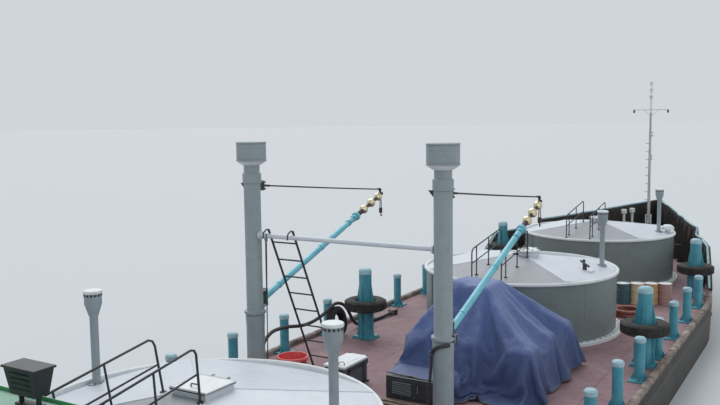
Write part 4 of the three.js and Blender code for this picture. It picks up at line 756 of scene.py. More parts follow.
# Cords first: the routes are those of the CAD solids, with heights above the deck
cordRoutes = {
    "suctionHose": {
        "radius": 0.04, "finish": blackHose, "slot": "black_hose", "node": "suction_hose", "end": "object",
        "route": [
            (-3.05, -4.3, 0.25), (-3.05, -4.3, 0.34), (-3.062, -4.255, 0.48), (-3.095, -4.16, 0.605),
            (-3.17, -3.96, 0.7), (-3.3, -3.56, 0.745), (-3.42, -3.1, 0.7), (-3.526, -2.64, 0.62), (-3.5, -2.28, 0.56),
            (-3.475, -1.9, 0.545), (-3.46, -1.48, 0.605), (-3.45, -1.13, 0.715), (-3.448, -0.85, 0.788),
            (-3.43, -0.59, 0.735), (-3.415, -0.4, 0.6), (-3.405, -0.27, 0.43), (-3.4, -0.16, 0.265),
            (-3.396, 0, 0.125), (-3.385, 0.19, 0.058), (-3.36, 0.45, 0.042), (-3.32, 0.8, 0.042),
            (-3.28, 1.15, 0.048), (-3.262, 1.38, 0.06), (-3.262, 1.5997, 0.06)]},
    "kingpostHose": {
        "radius": 0.022, "finish": smoothHose, "slot": "black_hose", "node": "kingpost_hose", "end": "object",
        "route": [
            (1.6862, -6.1158, 1.6197), (1.6862, -6.1158, 1.5), (1.674, -6.134, 1.3), (1.658, -6.152, 1.05),
            (1.65, -6.168, 0.8), (1.652, -6.178, 0.55), (1.662, -6.18, 0.35), (1.67, -6.18, 0.23),
            (1.67, -6.18, 0.1303)]},
    "mooringRope": {
        "radius": 0.02, "finish": creamRope, "slot": "cream_rope", "node": "mooring_rope", "end": "bare",
        "route": [
            (0.86, -4.1123, 0.09), (0.86, -4.16, 0.09), (0.842, -4.21, 0.05), (0.78, -4.264, 0.022),
            (0.64, -4.29, 0.0203), (0.42, -4.274, 0.0203), (0.18, -4.3, 0.0203), (-0.06, -4.282, 0.0203),
            (-0.29, -4.3, 0.0203), (-0.42, -4.34, 0.0203), (-0.46, -4.41, 0.0203), (-0.4, -4.466, 0.0203),
            (-0.24, -4.478, 0.0203), (0, -4.45, 0.0203), (0.24, -4.478, 0.0203), (0.48, -4.458, 0.0203),
            (0.69, -4.48, 0.0203), (0.8, -4.54, 0.0203), (0.8, -4.62, 0.0203), (0.69, -4.664, 0.0203),
            (0.44, -4.64, 0.0203), (0.18, -4.67, 0.0203), (-0.08, -4.642, 0.0203), (-0.31, -4.664, 0.0203),
            (-0.43, -4.712, 0.0203), (-0.44, -4.8, 0.0203), (-0.33, -4.85, 0.0203), (-0.1, -4.836, 0.0203),
            (0.14, -4.862, 0.0203), (0.38, -4.838, 0.0203), (0.6, -4.866, 0.0203)]},
}
coilLook = {"centre": (2.2, 4.56), "inner": 0.27, "radius": 0.0225, "across": 3, "layers": 4, "pointsPerTurn": 36}


def makeCord(name, line, look, sides=14):
    bm = bmesh.new()
    along = bm.loops.layers.uv.new("along")
    addTube(bm, line, look["radius"], sides, uv=along)
    piece = makePiece(name, bm, [look["finish"]], "vessel", (look["node"],), sharp=60)
    return piece


def makeCords():
    for name, look in cordRoutes.items():
        line = smoothRoute([Vector(point) + Vector((0, 0, deckZ)) for point in look["route"]])
        makeCord(name, line, look)
    radius, centre = coilLook["radius"], coilLook["centre"]
    line = []
    for layer in range(coilLook["layers"]):
        rings = list(range(coilLook["across"]))
        if layer % 2:
            rings.reverse()
        for ring in rings:
            for k in range(coilLook["pointsPerTurn"]):
                share = k / coilLook["pointsPerTurn"]
                step = ring + max((share - 0.85) / 0.15, 0) * (-1 if layer % 2 else 1)
                step = min(max(step, 0), coilLook["across"] - 1)
                reach = coilLook["inner"] + radius + step * radius * 2
                angle = 2 * math.pi * share
                height = radius + 0.0005 + layer * radius * 1.98
                if ring == rings[-1] and layer + 1 < coilLook["layers"]:
                    height += min(max((share - 0.7) / 0.2, 0), 1) * radius * 1.98
                line.append(Vector((centre[0] + reach * math.cos(angle), centre[1] + reach * math.sin(angle),
                                    deckZ + height)))
    look = {"radius": radius, "finish": redHose, "slot": "red_hose", "node": "wash_hose_coil"}
    way = (line[-1] - line[-2]).normalized()
    bm = bmesh.new()
    addBar(bm, line[-1] - way * 0.01, line[-1] + way * 0.05, 0.027, sides=16, rim=0.003)
    addBar(bm, line[-1] + way * 0.05, line[-1] + way * 0.19, 0.019, endRadius=0.012, sides=16, rim=0.002)
    makePiece("washHoseNozzle", bm, [brass])
    makeCord("washHoseCoil", line, look, sides=10)


makeCords()
print("cords ready")

def at(x, y, height):
    return Vector((x, y, deckZ + height))


# The crest or edge of a CAD node, as points from aft to forward on its starboard side
def edgeOf(node, height=None):
    rows = {}
    for vert in nodes[node].data.vertices:
        x, y, z = vert.co
        if x > 0.05 and (height is None or abs(z - height) < 0.002):
            key = round(y, 2)
            level = z if height is None else x
            if key not in rows or level > rows[key][0]:
                rows[key] = (level, Vector((x, y, z)))
    line = [rows[key][1] for key in sorted(rows)]
    pads = [k for k in range(1, len(line) - 1) if line[k].x + 0.5 < min(
        max(point.x for point in line[:k]), max(point.x for point in line[k + 1:]))]
    return [point for k, point in enumerate(line) if k not in pads]  # the mounting pads' corners lie inside the edge


def widthAt(edge, y):
    for a, b in zip(edge, edge[1:]):
        if a.y <= y <= b.y:
            return a.x + (b.x - a.x) * (y - a.y) / max(b.y - a.y, 1e-6)
    return edge[-1].x if y > edge[-1].y else edge[0].x


def mirroredX(points):
    return [Vector((-point[0], point[1], point[2])) for point in points]


deckEdge = edgeOf("hull", deckZ)
print("deck edge has", len(deckEdge), "points")


# Hull, deck, bulwarks and kerb
def makeHull():
    def hullSlot(face):
        return 1 if face.normal.z > 0.9 and face.calc_center_median().z > deckZ - 0.01 else 0
    dressedCopy("hullPlating", "hull", [hullPaint, deckPaint], slotOf=hullSlot, bevel=0)


bulwarkLook = {"capRadius": 0.035, "stayFrom": 9.3, "stayTo": 18.6, "stayStep": 0.8, "stayFoot": 0.34}


def makeBulwarks():
    crest = edgeOf("bulwark_starboard")
    for side, name, turn in ((1, "starboard", list), (-1, "port", mirroredX)):
        node = "bulwark_" + name
        dressedCopy("bulwark" + name.title(), node, [hullPaint], bevel=0.008)
        bm = bmesh.new()
        cap = [point + Vector((-0.03, 0, 0.012)) for point in crest if point.y < 19.7]
        addTube(bm, turn(cap), bulwarkLook["capRadius"], 10)
        # The cap rail takes the pale cap coat: a painted highlight along the bulwark top
        makePiece("bulwarkCap" + name.title(), bm, [capWearAndHighlightPaint])
        bm = bmesh.new()
        y = bulwarkLook["stayFrom"]
        while y < bulwarkLook["stayTo"]:
            top = next(b.z for a, b in zip(crest, crest[1:]) if a.y <= y <= b.y) - 0.1
            foot = 2.93 if y > 13.6 else deckZ
            x = widthAt(crest, y) - 0.075
            outline = [(0, 0), (0, top - foot), (-0.07, top - foot), (-bulwarkLook["stayFoot"], 0)]
            place = Matrix.Translation((side * x, y, foot)) @ Matrix.Rotation(quarter, 4, "X")
            if side < 0:
                outline = [(-across, up) for across, up in outline]
            if x > 0.9:
                addPrism(bm, outline, 0.014, place)
            y += bulwarkLook["stayStep"]
        makePiece("bulwarkStays" + name.title(), bm, [hullPaint])


kerbLook = {"width": 0.14, "height": 0.11, "from": -18.9, "to": 8.2, "strakeHeight": 2.27}
postLook = {"x": 3.67, "first": -11.53, "step": 1.78, "count": 11, "radius": 0.1, "height": 0.89, "base": 0.38}


def makeKerb():
    height, width = kerbLook["height"], kerbLook["width"]
    section = [(-0.002, -0.02), (-0.002, height - 0.03), (-0.03, height), (-width + 0.03, height),
               (-width, height - 0.03), (-width, -0.02)]
    ys = [-18.9, -18.6, -18.0, -17.3, *[-17.3 + 0.59 * k for k in range(1, 40)], 6.3, 6.8, 7.3, 7.75, 8.2]
    path = [Vector((widthAt(deckEdge, y), y, deckZ)) for y in ys]
    for side, name in ((1, "Starboard"), (-1, "Port")):
        bm = bmesh.new()
        line = path if side > 0 else list(reversed(mirroredX(path)))
        addSweep(bm, line, section)
        makePiece("kerb" + name, bm, [kerbPaint], replaced=("gunwale_" + name.lower(),))
        radius, top, base = postLook["radius"], postLook["height"], postLook["base"]
        post, cap = bmesh.new(), bmesh.new()
        place = Matrix.Translation(at(side * postLook["x"], postLook["first"], 0))
        addLathe(post, [(0, 0), (radius + 0.012, 0), (radius + 0.012, 0.04), (radius, 0.052), (radius, top - 0.11)],
                 place, 28)
        addLathe(cap, [(radius, top - 0.11), (radius + 0.012, top - 0.1), (radius + 0.012, top - 0.03),
                       (radius - 0.02, top), (0, top + 0.004)], place, 28)
        addBox(post, (-base / 2, -base / 2, 0), (base / 2 - 0.02, base / 2, 0.03), bevel=0.005,
               place=place @ Matrix.Scale(side, 4, (1, 0, 0)))
        for turn in range(4):
            wing = place @ Matrix.Rotation(turn * quarter, 4, "Z") @ Matrix.Rotation(quarter, 4, "X")
            addPrism(post, [(radius - 0.01, 0.02), (0.17, 0.02), (0.17, 0.05), (radius - 0.01, 0.2)], 0.012, wing)
        # The caps take the pale cap coat: a painted highlight on the post tops
        for kind, shape, finish in (("Posts", post, postBlue), ("PostCaps", cap, capWearAndHighlightPaint)):
            grow("mooring" + kind + name, rowOfCopies, meshOf(shape), finish,
                 Count=postLook["count"], Step=(0.0, postLook["step"], 0.0))


makeHull()
makeBulwarks()
makeKerb()
print("hull ready")


# Tanks: lathed walls with weld seams, roofs of four plates, lids, vents and rails
tankLook = {
    "radius": 2.345, "rimRadius": 2.4, "flangeRadius": 2.49, "rimZ": 1.476, "apex": 0.33, "faceDrop": 0.396,
    "segments": 128, "weld": 0.006, "bolts": 72,
}
tankRows = {
    "Aft": {"y": -9.48, "square": True, "coaming": 0.015, "lidAt": (0.05, 0.04), "railEnd": 2.15, "lean": 1,
            "vents": [(-2.19, 0.25), (1.96, 0.18)]},
    "Middle": {"y": 2.43, "square": False, "coaming": 0.07, "lidAt": (0.22, 0), "railEnd": 2.05, "lean": 0,
               "vents": [(1.85, 0.79)], "valves": [(1.68, -0.13)]},
    "Forward": {"y": 9.83, "square": False, "coaming": 0.07, "lidAt": (0, 0), "railEnd": 2.05, "lean": 0,
                "vents": [(1.87, 0.25)], "mushrooms": [(2.1, 0.5)]},
}
manholeLook = {"radius": 0.245, "half": 0.28, "lidRadius": 0.275, "lidHalf": 0.3, "hinge": 0.345, "nuts": 6}
ventLook = {"radius": 0.06, "neck": 1.18, "headRadius": 0.135, "top": 1.45, "cap": 0.045, "holes": 14, "bolts": 6}
railLook = {"runs": ((-0.43, 0.19, -0.14), (0.3, 0.3, -0.05)), "stops": (1.02, 1.77), "height": 0.69, "radius": 0.016}


def roofHeight(x, y):
    return tankLook["rimZ"] + tankLook["apex"] - tankLook["faceDrop"] * max(abs(x), abs(y)) / tankLook["radius"]


def addWelds(bm, radius, levels, place, slot=0):
    weld = tankLook["weld"]
    for level in levels:
        addLathe(bm, [(radius - 0.01, level - weld * 2), (radius + weld * 0.4, level - weld), (radius + weld, level),
                      (radius + weld * 0.4, level + weld), (radius - 0.01, level + weld * 2)], place, 96, slot)


def addRoof(bm, place, reach):
    count = tankLook["segments"]
    rings = []
    for r in (0.2, 0.7, 1.2, 1.7, reach):
        spots = [(r * math.cos(2 * math.pi * i / count), r * math.sin(2 * math.pi * i / count)) for i in range(count)]
        rings.append([bm.verts.new(place @ Vector((x, y, roofHeight(x, y)))) for x, y in spots])
    for a, b in zip(rings, rings[1:]):
        for i in range(count):
            face = bm.faces.new((a[i], b[i], b[(i + 1) % count], a[(i + 1) % count]))
            # The aft-facing quarter of each roof takes slot 3, the darker roof copy: painted shade
            face.material_index = 3 if 0.625 < (i + 0.5) / count < 0.875 else 2
            face.smooth = False
    skirt = [bm.verts.new(vert.co - Vector((0, 0, 0.2))) for vert in rings[-1]]
    joinRings(bm, [rings[-1], skirt], slot=1)
    for k in range(4):
        a = math.pi / 4 + k * quarter
        start, end = [place @ Vector((r * math.cos(a), r * math.sin(a), roofHeight(r * math.cos(a), r * math.sin(a))))
                      for r in (0.3, reach)]
        addBar(bm, start, end, 0.009, sides=8, slot=2)


def makeTankShell(name, row):
    bm = bmesh.new()
    place = Matrix.Translation(at(0, row["y"], 0))
    radius, rim, top = tankLook["radius"], tankLook["rimRadius"], tankLook["rimZ"]
    flange, count = tankLook["flangeRadius"], tankLook["segments"]
    addLathe(bm, [(radius, 0.08), (radius, top - 0.05)], place, count)
    addLathe(bm, [(radius - 0.02, 0.075), (flange - 0.012, 0.08), (flange, 0.068), (flange, 0.0)], place, count, slot=1)
    rimProfile = [(radius - 0.01, top - 0.062), (rim - 0.016, top - 0.062), (rim, top - 0.046), (rim, top - 0.008),
                  (rim - 0.018, top + 0.01), (radius - 0.002, top + 0.01), (radius - 0.014, top - 0.004),
                  (radius - 0.014, top - 0.15)]
    addLathe(bm, rimProfile, place, count, slot=1)
    addWelds(bm, radius, [0.56, 1.02], place)
    for k in range(7):
        turn = Matrix.Rotation(2 * math.pi * k / 7 + 0.35, 4, "Z")
        low, high = (0.08, 0.56) if k % 2 else (0.56, 1.41)
        addBox(bm, (radius - 0.01, -0.011, low), (radius + 0.005, 0.011, high), bevel=0.004, place=place @ turn)
    addRoof(bm, place, radius - 0.012)
    addCoaming(bm, row)
    makePiece("tankShell" + name, bm, [aftTankPaint if row["square"] else tankPaint, rimPaint, roofPaint, shadedRoofPaint, greyGear],
              replaced=("tank_" + name.lower(),))


def lidPlace(row, rise=0.0):  # the middle of the coaming's top
    x, y = row["lidAt"]
    return Matrix.Translation(at(x, row["y"] + y, tankLook["rimZ"] + tankLook["apex"] + row["coaming"] + rise))


def addCoaming(bm, row):
    half, radius, hinge, place = manholeLook["half"], manholeLook["radius"], manholeLook["hinge"], lidPlace(row)
    if row["square"]:
        addBox(bm, (-half, -half, -0.2), (half, half, 0), slot=2, bevel=0.006, place=place)
    else:
        addLathe(bm, [(0, 0), (radius - 0.02, 0), (radius, -0.006), (radius, -0.16), (radius + 0.03, -0.17)],
                 place, 48, slot=2)
    for x in (-0.13, 0.13):
        addBox(bm, (x - 0.015, 0.2, -0.19), (x + 0.015, hinge + 0.025, -0.006), 4, 0.004, place)
        addBox(bm, (x - 0.015, hinge - 0.033, -0.01), (x + 0.015, hinge + 0.025, 0.045), 4, 0.006, place)


def makeTankBolts(name, row):
    flange = (tankLook["flangeRadius"] + tankLook["radius"]) / 2
    spots = []
    for k in range(tankLook["bolts"]):
        a = 2 * math.pi * k / tankLook["bolts"]
        spots.append((at(flange * math.cos(a), row["y"] + flange * math.sin(a), 0.088), (0, 0, 1)))
    ring = ventLook["radius"] + 0.035
    for x, y in row["vents"]:
        for k in range(ventLook["bolts"]):
            a = 2 * math.pi * k / ventLook["bolts"]
            foot = at(x + ring * math.cos(a), row["y"] + y + ring * math.sin(a), roofHeight(x, y) + 0.028)
            spots.append((foot, (0, 0, 1)))
    grow("tankBolts" + name, boltsAtPoints, pointMesh(spots), greyGear, Width=0.016, Height=0.02)


def makeVents(name, row):
    bm = bmesh.new()
    r, neck, head, top, cap = [ventLook[key] for key in ("radius", "neck", "headRadius", "top", "cap")]
    for x, y in row["vents"]:
        place = Matrix.Translation(at(x, row["y"] + y, roofHeight(x, y) - 0.06))
        addLathe(bm, [(r + 0.06, 0), (r + 0.06, 0.074), (r + 0.052, 0.08), (r + 0.014, 0.084), (r, 0.11),
                      (r, neck - 0.12), (r + 0.012, neck - 0.1), (head - 0.02, neck + 0.04), (head - 0.01, neck + 0.06),
                      (head - 0.01, top - cap)], place, 36)
        addLathe(bm, [(head - 0.012, top - cap), (head, top - cap), (head, top - 0.012), (head - 0.01, top - 0.004),
                      (head * 0.6, top), (0, top)], place, 36, slot=1)
        for k in range(ventLook["holes"]):
            turn = place @ Matrix.Rotation(2 * math.pi * k / ventLook["holes"], 4, "Z")
            level = top - cap - 0.028
            addBar(bm, turn @ Vector((head - 0.02, 0, level)), turn @ Vector((head - 0.006, 0, level)), 0.018,
                   sides=10, slot=2)
    for x, y in row.get("mushrooms", ()):
        place = Matrix.Translation(at(x, row["y"] + y, roofHeight(x, y) - 0.02))
        addLathe(bm, [(0.08, 0), (0.08, 0.14), (0.2, 0.13), (0.205, 0.16), (0.18, 0.22), (0.11, 0.27), (0, 0.285)],
                 place, 32, slot=1)
    for x, y in row.get("valves", ()):
        place = Matrix.Translation(at(x, row["y"] + y, roofHeight(x, y)))
        addBox(bm, (-0.2, -0.15, -0.03), (0.2, 0.15, 0.012), 1, 0.004, place)
        addBar(bm, place.translation, place @ Vector((0, 0, 0.16)), 0.05, sides=16, slot=2, rim=0.008)
        addBar(bm, place @ Vector((-0.13, 0.12, 0.2)), place @ Vector((0.13, -0.12, 0.12)), 0.026, sides=10, slot=2)
        addBar(bm, place @ Vector((-0.05, 0.1, 0.1)), place @ Vector((-0.05, 0.1, 0.24)), 0.035, sides=10, slot=2)
    makePiece("tankVents" + name, bm, [postPaint, rimPaint, blackPaint])


def makeRoofRails(name, row):
    bm = bmesh.new()
    radius, height = railLook["radius"], railLook["height"]
    for x, start, lean in railLook["runs"]:
        first, last, bend, lower = -start, -row["railEnd"], 0.09, height * 0.52
        slant = row["lean"] * lean / height

        def spot(y, rise):
            return at(x + slant * rise, row["y"] + y, roofHeight(x, y) + rise)
        addTube(bm, [spot(first, 0), spot(first, height - bend), spot(first - bend * 0.3, height - bend * 0.3),
                     spot(first - bend, height), spot(last + bend, height),
                     spot(last + bend * 0.3, height - bend * 0.3), spot(last, height - bend), spot(last, 0)], radius, 10)
        addTube(bm, [spot(first, lower), spot(last, lower)], radius * 0.85, 10)
        for stop in railLook["stops"]:
            head = spot(first, height).lerp(spot(last, height), (stop - start) / (row["railEnd"] - start))
            addBar(bm, spot(-stop, 0), head, radius * 0.9, sides=10)
        for y in (first, *[-stop for stop in railLook["stops"]], last):
            base = spot(y, 0)
            addBar(bm, base - Vector((0, 0, 0.02)), base + Vector((0, 0, 0.012)), 0.045, sides=14)
    makePiece("roofRails" + name, bm, [blackPaint])


def makeLid(name, row):
    bm = bmesh.new()
    place = lidPlace(row, 0.0003)
    half, radius, hinge, nuts = [manholeLook[key] for key in ("lidHalf", "lidRadius", "hinge", "nuts")]
    if row["square"]:
        addBox(bm, (-half, -half, 0), (half, half, 0.034), 0, 0.008, place)
        for k in range(4):
            addBox(bm, (-half, half - 0.014, 0.0), (half, half, 0.042), 0, 0.005,
                   place @ Matrix.Rotation(k * quarter, 4, "Z"))
    else:
        addLathe(bm, [(0, 0.042), (radius - 0.11, 0.041), (radius - 0.04, 0.037), (radius - 0.012, 0.028),
                      (radius, 0.014), (radius, 0.0), (0, 0)], place, 56)
        for k in range(nuts):
            foot = place @ Matrix.Rotation(2 * math.pi * k / nuts + 0.26, 4, "Z") @ Vector((radius - 0.045, 0, 0.03))
            addBar(bm, foot, foot + Vector((0, 0, 0.032)), 0.017, sides=6, slot=1)
    addBox(bm, (-0.1, 0.19, 0.004), (0.1, hinge - 0.01, 0.03), 0, 0.004, place)
    addBar(bm, place @ Vector((-0.1145, hinge, 0.02)), place @ Vector((0.1145, hinge, 0.02)), 0.018, sides=20, slot=0)
    grip = [(-0.07, -0.15, 0.03), (-0.07, -0.15, 0.062), (-0.058, -0.15, 0.075), (0.058, -0.15, 0.075),
            (0.07, -0.15, 0.062), (0.07, -0.15, 0.03)]
    addTube(bm, [place @ Vector(point) for point in grip], 0.011, 10, slot=1)
    makePiece("manholeLid" + name, bm, [rimPaint, greyGear], "lid_" + name.lower(), ("lid_" + name.lower(),))


for tankName, tankRow in tankRows.items():
    makeTankShell(tankName, tankRow)
    makeTankBolts(tankName, tankRow)
    makeVents(tankName, tankRow)
    makeRoofRails(tankName, tankRow)
    makeLid(tankName, tankRow)
print("tanks ready")


# Kingposts with drum heads, their crossbar, booms, couplings and topping lifts
kingpostLook = {"x": 1.822, "y": -5.98, "radius": 0.145, "bolts": 12}
kingpostProfile = [
    (0, 0), (0.32, 0), (0.32, 0.03), (0.31, 0.04), (0.175, 0.044), (0.163, 0.06), (0.16, 1.6), (0.168, 1.77),
    (0.168, 1.805), (0.15, 1.815), (0.15, 1.835), (0.184, 1.84), (0.188, 1.845), (0.188, 1.885), (0.184, 1.89),
    (0.152, 1.895), (0.145, 1.91), (0.145, 4.13), (0.162, 4.14), (0.162, 4.3), (0.15, 4.31),
    (0.137, 4.315), (0.137, 4.44), (0.15, 4.446), (0.225, 4.49), (0.256, 4.516), (0.262, 4.524), (0.262, 4.54),
    (0.256, 4.546), (0.25, 4.55), (0.25, 4.556), (0.256, 4.56), (0.256, 4.64), (0.253, 4.643), (0.253, 4.647),
    (0.256, 4.65), (0.256, 4.73), (0.253, 4.733), (0.253, 4.737), (0.256, 4.74), (0.256, 4.81), (0.25, 4.815),
    (0.25, 4.82), (0.263, 4.824), (0.263, 4.84), (0.255, 4.848), (0.2, 4.85), (0, 4.85),
]
# The band of the flared lip under the drum head is painted white: a painted highlight on its rounded underside
lipHighlightHeights = (4.446, 4.52)
crossbarLook = {"height": 3.23, "radius": 0.04}
boomLook = {"radius": 0.057, "length": 3.36, "lift": 4.07, "forward": 0.3, "gap": 0.0003}
boomSides = (("port", -1, 0.35, 2.07), ("starboard", 1, 0.382, 1.93))  # name, side, rise over run, height of the hub


def makeKingposts():
    for boom, side, _, hub in boomSides:
        name = boom.title()
        bm = bmesh.new()
        place = Matrix.Translation(at(side * kingpostLook["x"], kingpostLook["y"], 0))
        # Profile bands within the lip take slot 1, white enamel, as a painted highlight
        slots = [1 if lipHighlightHeights[0] < (a[1] + b[1]) / 2 < lipHighlightHeights[1] else 0
                 for a, b in zip(kingpostProfile, kingpostProfile[1:])]
        addLathe(bm, kingpostProfile, place, 56, slots=slots)
        for low, slot in ((hub - 0.134, 0), (hub + 0.134, 0), (4.008, 3), (4.132, 3)):
            outline = [(-0.055, 0.06), (0.055, 0.06), (0.055, 0.3), (0.04, 0.335), (0.02, 0.348), (-0.02, 0.348),
                       (-0.04, 0.335), (-0.055, 0.3)]
            addPrism(bm, outline, 0.028, place @ Matrix.Translation((0, 0, low)), slot)
        for x in (-0.052, 0.052):
            addBox(bm, (x - 0.006, 0.13, 3.995), (x + 0.006, 0.25, 4.145), 3, 0.002, place)
        upright = place @ Matrix.Rotation(quarter, 4, "Z") @ Matrix.Rotation(quarter, 4, "X")
        addPrism(bm, [(0.13, hub - 0.29), (0.31, hub - 0.15), (0.13, hub - 0.15)], 0.014, upright)
        addPrism(bm, [(0.13, hub + 0.15), (0.27, hub + 0.15), (0.13, hub + 0.26)], 0.014, upright)
        for low, high, reach in ((hub - 0.16, hub + 0.16, 0.024), (3.98, 4.16, 0.02)):
            addBar(bm, place @ Vector((0, 0.3, low)), place @ Vector((0, 0.3, high)), reach, sides=16, slot=2, rim=0.005)
        addPrism(bm, [(0.13, 3.99), (0.25, 4.13), (0.13, 4.13)], 0.012,
                 place @ Matrix.Rotation(math.pi, 4, "Z") @ Matrix.Rotation(quarter, 4, "X"), 3)
        if side > 0:
            addElbow(bm, place)
            addBox(bm, (0.12, 0.0, 1.8), (0.2, 0.09, 1.93), 3, 0.008, place)
        makePiece("kingpost" + name, bm, [postPaint, rimPaint, bareSteel, blackPaint],
                  replaced=("kingpost_" + name.lower(),))
        spots = []
        for k in range(kingpostLook["bolts"]):
            a = 2 * math.pi * k / kingpostLook["bolts"]
            spots.append((place @ Vector((0.25 * math.cos(a), 0.25 * math.sin(a), 0.05)), (0, 0, 1)))
        grow("kingpostBolts" + name, boltsAtPoints, pointMesh(spots), greyGear, Width=0.02, Height=0.022)
        if side < 0:
            makeTautRopes(place)


def makeTautRopes(place):  # two thin falls set up tight from the crossbar to an eye on the deck
    bm = bmesh.new()
    for x, y in ((0.24, 0.03), (0.31, -0.03)):
        addBar(bm, place @ Vector((x, y, 3.2)), place @ Vector((x - 0.03, y * 2, 0.06)), 0.008, sides=8, slot=1)
        addBar(bm, place @ Vector((x, y, 3.14)), place @ Vector((x, y, 3.27)), 0.02, sides=12, rim=0.005)
        addBar(bm, place @ Vector((x - 0.03, y * 2, 0)), place @ Vector((x - 0.03, y * 2, 0.1)), 0.022, sides=12, rim=0.006)
    makePiece("tautFalls", bm, [greyGear, blackPaint])


def addElbow(bm, place):  # a hose pipe that wraps the after side of the post
    points = []
    for k in range(15):
        a = math.radians(-36 - 99 * k / 14)
        points.append(place @ Vector((0.192 * math.cos(a), 0.192 * math.sin(a), 1.79 - 0.15 * (k / 14) ** 2.5)))
    last = points[-1]
    points += [last + Vector((0, 0, -0.03)), Vector((last.x, last.y, deckZ + 1.62))]
    addTube(bm, points, 0.03, 12, slot=3)
    addBar(bm, place @ Vector((-0.152, -0.2, 0.02)), place @ Vector((-0.152, -0.2, 0.13)), 0.03, sides=16, slot=3)
    end = Vector((last.x, last.y, 0))
    addBar(bm, end + Vector((0, 0, deckZ + 1.622)), end + Vector((0, 0, deckZ + 1.66)), 0.036, sides=16, slot=2)


def makeCrossbar():
    bm = bmesh.new()
    x, y, height = kingpostLook["x"] - 0.146, kingpostLook["y"], crossbarLook["height"]
    addBar(bm, at(-x, y, height), at(x, y, height), crossbarLook["radius"], sides=24)
    for side in (-1, 1):
        addBar(bm, at(side * (x - 0.03), y, height), at(side * x, y, height), 0.075, sides=24)
    makePiece("crossbar", bm, [roofPaint], replaced=("kingpost_crossbar",))


couplingLook = {
    "balls": [(0.24, 0.43, 0.092), (0.57, 0.76, 0.092), (0.89, 1.08, 0.088)],
    "necks": [(0.43, 0.57, 0.036), (0.76, 0.89, 0.036), (1.08, 1.15, 0.032)],
    "sleeve": (0.02, 0.27, 0.05), "eye": (1.12, 0.11, 0.042), "tip": 1.11, "drop": 0.43,
}


def makeBooms():
    for name, side, rise, hub in boomSides:
        slope = math.atan(rise)
        pivot = at(side * kingpostLook["x"], kingpostLook["y"] + boomLook["forward"], hub)
        place = Matrix.Translation(pivot) @ Matrix.Rotation(slope - quarter, 4, "X")
        makeBoomPipe(name, place)
        eye = makeCoupling(name, place, boomLook["length"] + boomLook["gap"])
        makeLift(name, pivot + Vector((0, 0, boomLook["lift"] - hub)), eye)


def makeBoomPipe(name, place):
    length, radius = boomLook["length"], boomLook["radius"]
    pivot = place.translation
    bm = bmesh.new()
    addLathe(bm, [(0, 0), (radius, 0.0), (radius, length - 0.05), (radius + 0.02, length - 0.04),
                  (radius + 0.032, length - 0.03), (radius + 0.032, length - 0.004), (radius + 0.028, length),
                  (0, length)], place, 32)
    for level in (0.42, 1.9):
        addLathe(bm, [(radius - 0.01, level), (radius + 0.008, level + 0.004), (radius + 0.008, level + 0.05),
                      (radius - 0.01, level + 0.054)], place, 32)
    addBar(bm, pivot + Vector((0, 0, -0.1197)), pivot + Vector((0, 0, 0.1197)), 0.046, sides=28, rim=0.005, slot=2)
    addBox(bm, (-0.04, -0.045, 0.05), (0.04, 0.045, 0.34), slot=2, bevel=0.008, place=place)
    for level in (length - 0.36, length - 0.16):
        addLathe(bm, [(radius - 0.01, level), (radius + 0.01, level), (radius + 0.01, level + 0.03),
                      (radius - 0.01, level + 0.03)], place, 32, slot=1)
    body = "boom_" + name
    makePiece("boom" + name.title(), bm, [boomPaint, postBlue, deepGreen], body, (body,))


def makeCoupling(name, place, start):  # flange, dark sleeve, three swivel balls and a hook; gives the lift's eye
    bm = bmesh.new()
    addLathe(bm, [(0, start), (0.083, start), (0.089, start + 0.006), (0.089, start + 0.024), (0.083, start + 0.03),
                  (0, start + 0.03)], place, 24, 1)
    low, high, reach = couplingLook["sleeve"]
    addLathe(bm, [(0, start + low), (reach, start + low), (reach, start + high), (0, start + high)], place, 24, 2)
    for low, high, reach in couplingLook["balls"]:
        ball = [(reach * math.sin(math.pi * k / 12), start + (low + high - (high - low) * math.cos(math.pi * k / 12)) / 2)
                for k in range(13)]
        addLathe(bm, ball, place, 28, 0)
    for low, high, reach in couplingLook["necks"]:
        addBar(bm, place @ Vector((0, 0, start + low - 0.03)), place @ Vector((0, 0, start + high + 0.03)), reach,
               sides=20, slot=2)
    along, rise, reach = couplingLook["eye"]
    eye = place @ Vector((0, -rise, start + along))
    addBar(bm, eye - Vector((0.014, 0, 0)), eye + Vector((0.014, 0, 0)), reach, sides=24, rim=0.004, slot=2)
    addBar(bm, place @ Vector((0, 0, start + along)), eye, 0.024, sides=16, slot=2)
    tip = place @ Vector((0, 0, start + couplingLook["tip"]))
    foot = tip - Vector((0, 0, couplingLook["drop"]))
    for x in (-0.02, 0.02):
        addBar(bm, tip + Vector((x * 0.4, 0, 0)), foot + Vector((x, 0, 0.12)), 0.009, sides=8, slot=2)
    addBar(bm, foot + Vector((0, 0, 0.02)), foot + Vector((0, 0, 0.14)), 0.038, sides=16, slot=2, rim=0.012)
    hook = [foot + Vector((0, y, z)) for y, z in ((0, 0.03), (0.0, -0.02), (0.02, -0.05), (0.045, -0.035), (0.045, -0.01))]
    addTube(bm, smoothRoute(hook, 3), 0.009, 8, slot=2)
    # The flange takes the pale cap coat: a painted highlight on the boom end
    makePiece("hoseCoupling" + name.title(), bm, [brass, capWearAndHighlightPaint, rustyBlack], "boom_" + name,
              ("hose_coupling_" + name,))
    return eye


